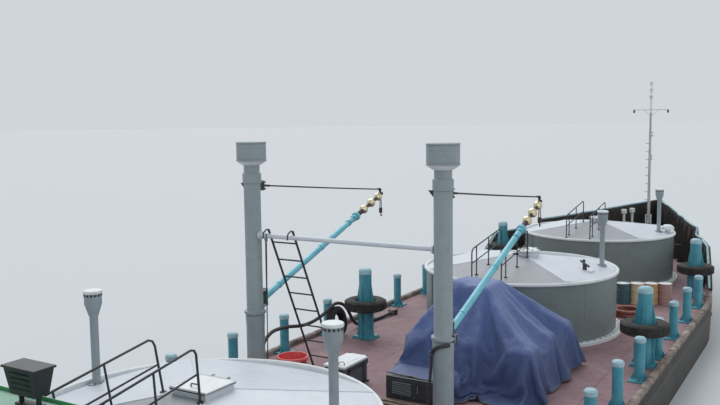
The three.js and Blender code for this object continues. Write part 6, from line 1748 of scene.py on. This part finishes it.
def makeWindlass():
    y, axle, x, base = foreLook["windlassY"], foreLook["axle"], foreLook["halfWidth"], foreLook["floor"]
    bm = bmesh.new()
    addBox(bm, at(-x - 0.1, y - 0.3, base), at(x + 0.1, y + 0.3, base + 0.06), 0, 0.01)
    for side in (-1, 1):
        outline = [(-0.23, 0.05), (0.23, 0.05), (0.15, 0.3), (0.11, 0.4), (0.06, 0.42), (-0.06, 0.42), (-0.11, 0.4), (-0.15, 0.3)]
        turned = Matrix.Translation(at(side * x, y, base)) @ Matrix.Rotation(quarter, 4, "Z") @ Matrix.Rotation(quarter, 4, "X")
        addPrism(bm, outline, 0.08, turned)
        addBar(bm, at(side * (x - 0.04), y, base + axle), at(side * (x + 0.075), y, base + axle), 0.09, sides=28, rim=0.01)
        addLathe(bm, [(0, 0), (0.11, 0), (0.1, 0.03), (0.07, 0.07), (0.075, 0.11), (0.105, 0.14), (0.1, 0.15), (0, 0.15)],
                 Matrix.Translation(at(side * (x + 0.07), y, base + axle)) @ Matrix.Rotation(side * quarter, 4, "Y"), 28, slot=1)
    addBox(bm, at(-0.2, y - 0.76, base), at(0.2, y - 0.24, base + 0.34), 0, 0.02)
    addBar(bm, at(-0.16, y - 0.5, base + 0.3), at(0.16, y - 0.5, base + 0.3), 0.13, sides=32, rim=0.02)
    for k in range(9):
        level = -0.13 + 0.032 * k
        addBar(bm, at(level, y - 0.5, base + 0.3), at(level + 0.012, y - 0.5, base + 0.3), 0.142, sides=32)
    lever = [at(0.3, y - 0.32, base + 0.05), at(0.3, y - 0.36, base + 0.42), at(0.3, y - 0.44, base + 0.5)]
    addTube(bm, lever, 0.012, 10, slot=1)
    makePiece("windlassBed", bm, [greyGear, blackPaint], replaced=("windlass_bed",))
    bm = bmesh.new()
    axis = Matrix.Translation(at(0, y, base + axle)) @ Matrix.Rotation(quarter, 4, "Y")
    rim = x - 0.0403
    addLathe(bm, [(0, -rim), (0.058, -rim), (0.06, -rim + 0.004), (0.06, rim - 0.004), (0.058, rim), (0, rim)], axis, 24)
    addLathe(bm, [(0.06, -0.28), (0.128, -0.28), (0.13, -0.27), (0.13, 0.27), (0.128, 0.28), (0.06, 0.28)], axis, 40)
    for side in (-1, 1):
        wheel = [(0.06, 0.36), (0.2, 0.36), (0.21, 0.37), (0.21, 0.39), (0.15, 0.41), (0.14, 0.43), (0.15, 0.45),
                 (0.21, 0.47), (0.21, 0.49), (0.2, 0.5), (0.06, 0.5)]
        addLathe(bm, [(r, side * z) for r, z in wheel], axis, 40)
        for k in range(8):
            turn = axis @ Matrix.Rotation(2 * math.pi * k / 8, 4, "Z")
            addBox(bm, (0.13, -0.012, side * 0.43 - 0.03), (0.19, 0.012, side * 0.43 + 0.03), bevel=0.003, place=turn)
    for k in range(11):
        ring = Matrix.Translation(at(-0.24 + 0.046 * k, y, base + axle)) @ Matrix.Rotation(quarter, 4, "Y")
        addLathe(bm, [(0.13, -0.018), (0.144, -0.012), (0.149, 0), (0.144, 0.012), (0.13, 0.018)], ring, 32, slot=1)
    makePiece("windlassDrum", bm, [bareSteel, creamRope], "windlass_drum", ("windlass_drum",))
    for side, name in ((-1, "Port"), (1, "Starboard")):
        z = base + axle
        run = [at(side * 0.43, y - 0.0, z + 0.16), at(side * 0.43, y + 0.11, z + 0.115), at(side * 0.43, y + 0.17, z + 0.02),
               at(side * 0.43, y + 0.55, base + 0.16), at(side * 0.43, y + 0.83, base + 0.08), at(side * 0.43, y + 0.87, base - 0.02)]
        grow("anchorChain" + name, chain, pathMesh(smoothRoute(run[2:], 6)), greyGear, Pitch=0.034, Wire=0.0085)
        bm = bmesh.new()
        addLathe(bm, [(0.07, -0.02), (0.075, 0.03), (0.1, 0.05), (0.125, 0.03), (0.13, -0.02)],
                 Matrix.Translation(at(side * 0.43, y + 0.86, base)), 32, closed=True)
        makePiece("chainPipe" + name, bm, [greyGear])


anchorLook = {"y": 17.4, "height": -0.55, "shank": 0.5}


def makeAnchors():
    crest = edgeOf("hull", deckZ)
    for side, name in ((-1, "Port"), (1, "Starboard")):
        y = anchorLook["y"]
        x = widthAt(crest, y)
        ahead = widthAt(crest, y + 0.3)
        heading = math.atan2(x - ahead, 0.3)
        place = Matrix.Translation(at(side * (x - 0.11), y, anchorLook["height"])) @ Matrix.Rotation(side * heading, 4, "Z")
        if side < 0:
            place = place @ Matrix.Rotation(math.pi, 4, "Z")
        lean = place @ Matrix.Rotation(0.24, 4, "Y")
        bm = bmesh.new()
        addLathe(bm, [(0.09, -0.05), (0.16, -0.03), (0.2, 0.01), (0.16, 0.05), (0.09, 0.05)],
                 lean @ Matrix.Translation((0.03, 0, 0.46)) @ Matrix.Rotation(quarter, 4, "Y"), 28, closed=True)
        addBox(bm, (0.05, -0.035, -0.1), (0.11, 0.035, 0.47), 0, 0.012, lean)
        addBox(bm, (0.03, -0.16, -0.16), (0.15, 0.16, -0.06), 0, 0.025, lean)
        for k in (-1, 1):
            outline = [(k * 0.11, -0.12), (k * 0.17, -0.1), (k * 0.24, 0.22), (k * 0.15, 0.12)]
            addPrism(bm, outline, 0.05, lean @ Matrix.Translation((0.09, 0, 0)) @ Matrix.Rotation(quarter, 4, "Z")
                     @ Matrix.Rotation(quarter, 4, "X"))
        makePiece("anchor" + name, bm, [blackPaint])


makeForedeck()
makeWindlass()
makeAnchors()
print("foredeck ready")


# Deckhouse and wheelhouse: plated walls, glazing, roofs, doors and what stands on them
houseLook = {
    "deckhouse": {"base": 0.0, "halfX": 3.0, "aft": -18.2, "fore": -13.1, "height": 2.75, "sill": 1.25, "head": 1.85,
                  "sides": [(y, 0.26) for y in (-17.2, -16.1, -15.0, -13.9)],
                  "fronts": [(x, 0.27) for x in (-2.1, -0.7, 0.7, 2.1)], "afts": [(1.2, 0.3)]},
    "wheelhouse": {"base": 2.89, "halfX": 1.8, "aft": -16.9, "fore": -14.0, "height": 2.05, "sill": 0.98, "head": 1.8,
                   "sides": [(-14.525, 0.355)], "fronts": [(x, 0.5) for x in (-1.18, 0, 1.18)],
                   "afts": [(-0.85, 0.45), (0.85, 0.45)]},
}
roofLook = {"deckhouse": (3.3, -18.5, -12.8, 2.89), "wheelhouse": (2.04, -17.14, -13.76, 5.05)}


def wallPlaces(look):  # a place whose x runs along the wall and whose y points inwards, with each window's half width
    for middle, half in look["fronts"]:
        yield Matrix.Translation(at(middle, look["fore"], look["base"])) @ Matrix.Rotation(math.pi, 4, "Z"), half
    for middle, half in look["afts"]:
        yield Matrix.Translation(at(middle, look["aft"], look["base"])), half
    for middle, half in look["sides"]:
        for side in (-1, 1):
            turn = Matrix.Rotation(side * quarter, 4, "Z")
            yield Matrix.Translation(at(side * look["halfX"], middle, look["base"])) @ turn, half


def makeHouse(name):
    look = houseLook[name]
    dressedCopy(name + "Walls", name, [whitePaint], bevel=0.012)
    frames, panes = bmesh.new(), bmesh.new()
    low, high = look["sill"], look["head"]
    for place, half in wallPlaces(look):
        addBox(panes, (-half - 0.01, 0.03, low - 0.01), (half + 0.01, 0.038, high + 0.01), bevel=0, place=place)
        edge, proud = 0.045, 0.018
        for x0, x1, z0, z1 in ((-half - edge, half + edge, high, high + edge), (-half - edge, half + edge, low - edge, low),
                               (-half - edge, -half, low, high), (half, half + edge, low, high)):
            addBox(frames, (x0, -proud, z0), (x1, 0.045, z1), 0, 0.006, place)
        addBox(frames, (-half - 0.08, -0.05, high + edge + 0.02), (half + 0.08, 0.004, high + edge + 0.035), 0, 0.003, place)
        addBar(frames, place @ Vector((half * 0.4, -0.02, low + 0.06)), place @ Vector((-half * 0.25, -0.02, high - 0.14)),
               0.007, sides=8, slot=1)
    makePiece(name + "WindowFrames", frames, [greyGear, blackPaint])
    makePiece(name + "Glazing", panes, [glass])
    halfX, aft, fore, top = roofLook[name]

    def roofSlot(face):
        return 0 if face.normal.z > 0.9 else 1
    dressedCopy(name + "Roof", name + "_roof", [greenPaint, fasciaPaint], slotOf=roofSlot, bevel=0.012)
    gutter = bmesh.new()
    corners = [at(halfX, fore, top), at(halfX, aft, top), at(-halfX, aft, top), at(-halfX, fore, top)]
    addSweep(gutter, corners, [(0.0, -0.03), (0.012, -0.03), (0.012, 0.035), (0.0, 0.035), (-0.018, 0.02), (-0.018, 0.0)],
             closed=True)
    makePiece(name + "RoofEdge", gutter, [fasciaPaint])


def makeDoors():
    doors = (("deckhouse_door", (-1.76, -18.2), 0.0, (1, 0, 0), (0, -1, 0), 2.052, (1.25, 1.75), (0.5, 1.5), 0.16),
             ("wheelhouse_door_port", (-1.8, -15.74), 2.89, (0, -1, 0), (-1, 0, 0), 1.8, (1.04, 1.69), (0.4, 1.4), 0.15),
             ("wheelhouse_door_starboard", (1.8, -15.74), 2.89, (0, -1, 0), (1, 0, 0), 1.8, (1.04, 1.69), (0.4, 1.4), 0.15))
    for node, (x, y), base, along, out, tall, window, knuckles, length in doors:
        hinge = at(x, y, base)
        bm = bmesh.new()
        width, sill = 0.72, 0.188
        place = Matrix((along, out, (0, 0, 1))).transposed().to_4x4()
        place.translation = hinge
        z0, z1 = window
        for low, high in (((0, sill), (width, z0)), ((0, z1), (width, tall)), ((0, z0), (0.13, z1)),
                          ((width - 0.13, z0), (width, z1))):
            addBox(bm, (low[0], -0.045, low[1]), (high[0], 0, high[1]), 0, 0.004, place)
        addBox(bm, (0.08, -0.004, sill + 0.1), (width - 0.08, 0.008, z0 - 0.12), 0, 0.006, place)
        for x0, x1, a, b in ((0.1, width - 0.1, z0 - 0.03, z0), (0.1, width - 0.1, z1, z1 + 0.03),
                             (0.1, 0.13, z0, z1), (width - 0.13, width - 0.1, z0, z1)):
            addBox(bm, (x0, -0.052, a), (x1, 0.012, b), 1, 0.004, place)
        addBox(bm, (0.12, -0.026, z0 - 0.005), (width - 0.12, -0.019, z1 + 0.005), 2, 0, place)
        middle = 1.07 if base == 0 else 0.97
        grip = [(0.64, 0.0, middle), (0.64, 0.04, middle), (0.64, 0.047, middle + 0.02), (0.64, 0.047, middle + 0.13)]
        addTube(bm, smoothRoute([place @ Vector(point) for point in grip], 4), 0.011, 10, slot=3)
        pin = Vector((0.004, 0.01, 0)) if base == 0 else Vector((0.004, 0.01, 0))
        for low in knuckles:
            addBar(bm, place @ (pin + Vector((0, 0, low))), place @ (pin + Vector((0, 0, low + length))), 0.014, sides=20, slot=1)
            addBox(bm, (0.0, 0.0, low + 0.02), (0.24, 0.009, low + length - 0.02), 1, 0.003, place)
        makePiece("".join([node.split("_")[0], *[word.title() for word in node.split("_")[1:]]]), bm,
                  [whitePaint, greyGear, glass, brass], node, (node,))


signalLook = {"y": -16.3, "height": 2.7, "arm": 1.7, "base": 5.05}


def makeSignalMast():
    y, base, tall, arm = signalLook["y"], signalLook["base"], signalLook["height"], signalLook["arm"]
    dressedCopy("signalMastStep", "signal_mast_step", [blackPaint], bevel=0.005)
    bm = bmesh.new()
    place = Matrix.Translation(at(0, y, base))
    addLathe(bm, [(0, 0.06), (0.05, 0.06), (0.055, 0.07), (0.055, 0.9), (0.03, tall), (0, tall)], place, 28)
    addBar(bm, at(-0.0695, y, base + 0.18), at(0.0695, y, base + 0.18), 0.026, sides=24, slot=1)
    addBar(bm, at(-0.8, y, base + arm), at(0.8, y, base + arm), 0.022, sides=14)
    for side in (-1, 1):
        addBar(bm, at(side * 0.36, y, base + arm), at(0, y, base + arm - 0.3), 0.012, sides=8)
        for x in (0.45, 0.72):
            addBar(bm, at(side * x, y, base + arm - 0.02), at(side * x, y, base + arm - 0.1), 0.02, sides=10, slot=1)
        addBar(bm, at(side * 0.62, y, base + arm), at(side * 0.62, y, base + arm + 0.75), 0.005, sides=6, slot=1)
    for level, spot in ((1.25, (0, y + 0.08)), (tall - 0.01, (0, y))):
        lamp = Matrix.Translation(at(*spot, base + level))
        addLathe(bm, [(0, 0), (0.07, 0), (0.07, 0.03), (0.058, 0.035)], lamp, 24, slot=1)
        addLathe(bm, [(0.058, 0.035), (0.058, 0.12)], lamp, 24, slot=2)
        addLathe(bm, [(0.058, 0.12), (0.07, 0.125), (0.064, 0.15), (0, 0.16)], lamp, 24, slot=1)
    addBox(bm, at(-0.045, y - 0.03, base + 1.225), at(0.045, y + 0.11, base + 1.25), 0, 0.004)
    addBox(bm, at(-0.05, y - 0.03, base + 0.9), at(0.05, y + 0.26, base + 0.93), 0, 0.006)
    addPrism(bm, [(0.0, 0.72), (0.2, 0.9), (0.0, 0.9)], 0.012, place @ Matrix.Rotation(quarter, 4, "Z")
             @ Matrix.Rotation(quarter, 4, "X"))
    addBar(bm, at(0, y + 0.21, base + 0.925), at(0, y + 0.21, base + 1.01), 0.09, sides=32, rim=0.015)
    addBox(bm, at(-0.6, y + 0.175, base + 1.005), at(0.6, y + 0.245, base + 1.075), 0, 0.02)
    makePiece("signalMast", bm, [mastPaint, blackPaint, lampGlass], "signal_mast", ("signal_mast",))


funnelLook = {"y": -17.65, "halfX": 0.48, "halfY": 0.33, "height": 1.25, "base": 2.89, "louvres": 9}


def makeFunnel():
    y, halfX, halfY, tall, base = [funnelLook[key] for key in ("y", "halfX", "halfY", "height", "base")]
    bm = bmesh.new()
    addBox(bm, at(-halfX, y - halfY, base), at(halfX, y + halfY, base + tall), 0, 0.05)
    addBox(bm, at(-halfX - 0.012, y - halfY - 0.012, base + 0.82), at(halfX + 0.012, y + halfY + 0.012, base + 1.0), 1, 0.02)
    addBox(bm, at(-halfX - 0.02, y - halfY - 0.02, base), at(halfX + 0.02, y + halfY + 0.02, base + 0.03), 0, 0.006)
    for side in (-1, 1):
        for k in range(funnelLook["louvres"]):
            blade = Matrix.Translation(at(side * (halfX + 0.004), y, base + 0.2 + 0.055 * k))
            addBox(bm, (-0.018, -0.22, -0.004), (0.018, 0.22, 0.004), 2, 0.002, blade @ Matrix.Rotation(side * 0.7, 4, "Y"))
        start = at(side * 0.22, y, base + tall - 0.05)
        end = at(side * 0.22, y - 0.06, base + tall + 0.33)
        way = Matrix.Translation(start) @ turnTo(end - start)
        reach = (end - start).length
        addLathe(bm, [(0, 0), (0.135, 0), (0.135, 0.07), (0.118, 0.075), (0.118, reach - 0.02), (0.12, reach), (0.108, reach),
                      (0.106, reach - 0.18), (0, reach - 0.2)], way, 36, slot=2)
    makePiece("funnel", bm, [greyGear, fasciaPaint, blackPaint], replaced=("funnel",))


lampLook = {
    "x": 1.31, "y": -12.935, "base": 2.89, "top": (0.195, 0.1), "bottom": (0.15, 0.075), "low": 0.1, "high": 0.33,
    "legX": 0.11, "lens": 0.05,
}


def makeFloodlight():
    bm = bmesh.new()
    place = Matrix.Translation(at(lampLook["x"], lampLook["y"], lampLook["base"]))
    low, high, legX = lampLook["low"], lampLook["high"], lampLook["legX"]
    corners = ((-1, -1), (1, -1), (1, 1), (-1, 1))
    rings = [[bm.verts.new(place @ Vector((sx * a, sy * b, z))) for sx, sy in corners]
             for (a, b), z in ((lampLook["bottom"], low), (lampLook["top"], high))]
    joinRings(bm, rings, smooth=False)
    for ring in rings:
        bm.faces.new(ring)
    (a, b), wide = lampLook["top"], lampLook["bottom"][0]
    addBox(bm, (-a - 0.016, -b - 0.016, high - 0.004), (a + 0.016, b + 0.016, high + 0.016), 0, 0.005, place)
    for k in range(4):
        level, out = low + 0.05 + 0.045 * k, lampLook["bottom"][1] + 0.006 * k
        addBox(bm, (-wide + 0.03, -out - 0.014, level), (wide - 0.03, -out + 0.01, level + 0.008), 0, 0.002, place)
    for k in (-1, 1):
        addBox(bm, (k * legX - 0.012, -0.02, 0), (k * legX + 0.012, 0.02, low + 0.04), 0, 0.003, place)
    addBox(bm, (-legX - 0.03, -0.05, 0), (legX + 0.03, 0.05, 0.018), 0, 0.004, place)
    lens = lampLook["lens"]
    addLathe(bm, [(0, 0), (lens, 0), (lens, 0.012), (lens - 0.01, 0.022), (0, 0.024)],
             place @ Matrix.Translation((-wide - 0.016, -0.01, low + 0.11)) @ Matrix.Rotation(-quarter - 0.2, 4, "Y"), 24, slot=1)
    makePiece("floodlight", bm, [lampBlack, rimPaint], replaced=("floodlight",))


def makeHelm():
    fore, base = -14.0, 2.89
    bm = bmesh.new()
    addBox(bm, at(-0.75, fore - 0.56, base), at(0.75, fore - 0.09, base + 0.82), 0, 0.01)
    addBox(bm, at(-0.77, fore - 0.58, base + 0.82), at(0.77, fore - 0.08, base + 0.86), 1, 0.01)
    addBox(bm, at(-0.3, fore - 0.7, base), at(0.3, fore - 0.54, base + 0.78), 0, 0.01)
    axle = at(0, fore - 0.69, base + 0.7)
    addBar(bm, axle, axle + Vector((0, -0.1, 0)), 0.03, sides=20, slot=2)
    centre = Matrix.Translation(axle + Vector((0, -0.105, 0))) @ Matrix.Rotation(quarter, 4, "X")
    ring = [(0.2 + 0.022 * math.cos(2 * math.pi * k / 10), 0.02 * math.sin(2 * math.pi * k / 10)) for k in range(10)]
    addLathe(bm, ring, centre, 48, slot=1, closed=True)
    addBar(bm, centre @ Vector((0, 0, -0.02)), centre @ Vector((0, 0, 0.03)), 0.045, sides=24, rim=0.01, slot=2)
    for k in range(8):
        turn = centre @ Matrix.Rotation(2 * math.pi * k / 8, 4, "Z")
        addBar(bm, turn @ Vector((0.03, 0, 0)), turn @ Vector((0.262, 0, 0)), 0.011, 0.014, sides=10, slot=1, rim=0.003)
    for x in (-0.5, 0.48):
        addBox(bm, at(x - 0.17, fore - 0.3, base + 0.86), at(x + 0.17, fore - 0.27, base + 1.1), 2, 0.008)
        addBox(bm, at(x - 0.03, fore - 0.33, base + 0.855), at(x + 0.03, fore - 0.24, base + 0.9), 2, 0.004)
    for x in (0.2, 0.26):
        addBar(bm, at(x, fore - 0.42, base + 0.86), at(x, fore - 0.45, base + 1.0), 0.008, sides=8, slot=2)
        addBar(bm, at(x, fore - 0.45, base + 0.99), at(x, fore - 0.455, base + 1.03), 0.018, sides=14, rim=0.006, slot=2)
    makePiece("helmConsole", bm, [greyGear, varnishedOak, blackPaint], replaced=("helm_console",))


screwLook = {"x": 1.45, "z": 0.69, "end": -17.45, "blade": 0.56, "hub": 0.11, "length": 0.34}


def makeRunningGear():
    for side, name in ((-1, "port"), (1, "starboard")):
        body = "propeller_" + name
        bm = bmesh.new()
        base = Vector((side * screwLook["x"], screwLook["end"] - 0.0003, screwLook["z"]))
        axis = Matrix.Translation(base) @ Matrix.Rotation(quarter, 4, "X")
        hub, length = screwLook["hub"], screwLook["length"]
        addLathe(bm, [(0, 0), (hub, 0), (hub, 0.2), (0.095, 0.26), (0.06, 0.31), (0.02, length), (0, length)], axis, 36)
        rows, steps = 9, 10
        for k in range(4):
            turn = axis @ Matrix.Rotation(k * quarter, 4, "Z")
            faces = []
            for face in (-1, 1):
                grid = []
                for i in range(rows + 1):
                    r = 0.09 + (screwLook["blade"] - 0.09) * i / rows
                    chord = 0.15 * math.sqrt(max(1 - ((r - 0.34) / 0.27) ** 2, 0.03))
                    pitch = math.atan(0.62 / (2 * math.pi * r) * 1.0) * side
                    line = []
                    for j in range(steps + 1):
                        c = (2 * j / steps - 1) * chord
                        thick = 0.02 * (1 - 0.75 * i / rows) * math.sqrt(max(1 - (2 * j / steps - 1) ** 2, 0)) * face
                        across = c * math.cos(pitch) - thick * math.sin(pitch)
                        along = 0.15 + c * math.sin(pitch) + thick * math.cos(pitch)
                        angle = across / r
                        line.append(bm.verts.new(turn @ Vector((r * math.cos(angle), r * math.sin(angle), along))))
                    grid.append(line)
                faces.append(grid)
                for i in range(rows):
                    for j in range(steps):
                        quad = bm.faces.new((grid[i][j], grid[i + 1][j], grid[i + 1][j + 1], grid[i][j + 1]))
                        quad.smooth = True
            bmesh.ops.remove_doubles(bm, verts=[v for grid in faces for line in grid for v in line], dist=0.0004)
            tips = [edge for edge in bm.edges if edge.is_boundary]
            bmesh.ops.holes_fill(bm, edges=tips, sides=0)
        makePiece("propeller" + name.title(), bm, [bronze], body, (body,), sharp=50)
        body = "rudder_" + name
        bm = bmesh.new()
        x, y = side * screwLook["x"], -18.35
        outline = [(0.26, 0.0), (0.22, 0.035), (0.1, 0.045), (-0.2, 0.042), (-0.5, 0.026), (-0.72, 0.006)]
        loop = outline + [(a, -b) for a, b in reversed(outline) if b]
        rings = [[bm.verts.new((x + b, y + a, z)) for a, b in loop] for z in (0.13, 1.18)]
        joinRings(bm, rings)
        bm.faces.new(rings[0])
        bm.faces.new(rings[1])
        for z in (0.13, 0.44, 0.78, 1.17):
            addBox(bm, (x - 0.052, y - 0.6, z), (x + 0.052, y + 0.18, z + 0.014), 0, 0.003)
        addBar(bm, (x, y, 1.16), (x, y, 1.2797), 0.055, sides=24)
        makePiece("rudder" + name.title(), bm, [redLead], body, (body,))


railLine = {"height": 0.98, "lower": 0.5, "spacing": 1.15, "pipe": 0.021}


def makeRailings():
    values = {"Height": railLine["height"], "Lower": railLine["lower"], "Spacing": railLine["spacing"], "Pipe": railLine["pipe"]}
    for side, name in ((1, "Starboard"), (-1, "Port")):
        edge = [at(side * (widthAt(deckEdge, y) - 0.07), y, 0.1) for y in (-12.6, -14.0, -15.7, -17.3, -18.0, -18.85)]
        edge.append(at(side * (widthAt(deckEdge, -19.5) - 0.12), -19.5, 0.0))
        edge += [at(side * (widthAt(deckEdge, -19.7) - 0.2), -19.7, 0.0), at(side * 2.6, -19.72, 0.0), at(side * 0.6, -19.72, 0.0)]
        grow("sternRailing" + name, railing, pathMesh(edge), mastPaint, **values)
        roof = [at(side * 3.2, y, 2.9) for y in (-14.6, -16.0, -18.4)] + [at(side * 1.6, -18.4, 2.9), at(0, -18.4, 2.9)]
        grow("roofRailing" + name, railing, pathMesh(roof), mastPaint, **values)


def makeFittings():
    bm = bmesh.new()
    circle = [(0.29 + 0.055 * math.cos(2 * math.pi * k / 12), 0.055 * math.sin(2 * math.pi * k / 12)) for k in range(12)]
    for side in (-1, 1):
        place = Matrix.Translation(at(side * 3.07, -15.55, 1.5)) @ Matrix.Rotation(quarter, 4, "Y")
        addLathe(bm, circle, place, 40, closed=True)
        for k in range(4):
            band = place @ Matrix.Rotation(k * quarter, 4, "Z") @ Matrix.Translation((0.29, 0, 0)) @ Matrix.Rotation(quarter, 4, "X")
            addLathe(bm, [(0.0555, -0.03), (0.0575, -0.03), (0.0575, 0.03), (0.0555, 0.03)], band, 20, slot=1, closed=True)
    makePiece("lifebuoys", bm, [orangeCanvas, rimPaint])
    for side, name, lens in ((-1, "Port", redGlass), (1, "Starboard", greenGlass)):
        bm = bmesh.new()
        x, y, z = side * 1.86, -14.2, 2.89 + 1.9
        addBox(bm, at(x - 0.06, y - 0.16, z - 0.02), at(x + 0.06, y + 0.14, z), 0, 0.004)
        inner = x - side * 0.055
        addBox(bm, at(inner - 0.006, y - 0.16, z), at(inner + 0.006, y + 0.14, z + 0.14), 0, 0.003)
        addBar(bm, at(x, y - 0.04, z), at(x, y - 0.04, z + 0.02), 0.05, sides=20)
        addBar(bm, at(x, y - 0.04, z + 0.02), at(x, y - 0.04, z + 0.11), 0.04, sides=24, slot=1, rim=0.006)
        addBar(bm, at(x, y - 0.04, z + 0.11), at(x, y - 0.04, z + 0.13), 0.05, sides=20, rim=0.008)
        makePiece("sidelight" + name, bm, [blackPaint, lens])
    bm = bmesh.new()
    for x, y in ((-2.2, -14.2), (2.55, -17.3)):
        stem = [at(x, y, 2.88), at(x, y, 3.3), at(x, y + 0.06, 3.46), at(x, y + 0.2, 3.52), at(x, y + 0.3, 3.44)]
        line = smoothRoute(stem, 6)
        radii = [0.075 if k < len(line) - 8 else 0.075 + 0.012 * (k - len(line) + 8) for k in range(len(line))]
        addTube(bm, line, radii, 24)
        addLathe(bm, [(0, 0), (0.13, 0), (0.13, 0.012), (0.09, 0.014)], Matrix.Translation(at(x, y, 2.89)), 24)
    for side in (-1, 1):
        for y in (-17.9, -13.4):
            x = side * (widthAt(deckEdge, y) - 0.32)
            addBox(bm, at(x - 0.07, y - 0.22, 0), at(x + 0.07, y + 0.22, 0.02), 0, 0.004)
            for k in (-1, 1):
                addBar(bm, at(x, y + k * 0.12, 0.02), at(x, y + k * 0.12, 0.26), 0.045, sides=24, rim=0.006)
                addBar(bm, at(x, y + k * 0.12, 0.26), at(x, y + k * 0.12, 0.28), 0.062, sides=24, rim=0.006)
            addBar(bm, at(x, y - 0.24, 0.17), at(x, y + 0.24, 0.17), 0.022, sides=14, rim=0.006)
    makePiece("sternBollardsAndCowls", bm, [whitePaint])


for houseName in houseLook:
    makeHouse(houseName)
makeDoors()
makeSignalMast()
makeFunnel()
makeFloodlight()
makeHelm()
makeRunningGear()
makeRailings()
makeFittings()
print("houses and stern ready")
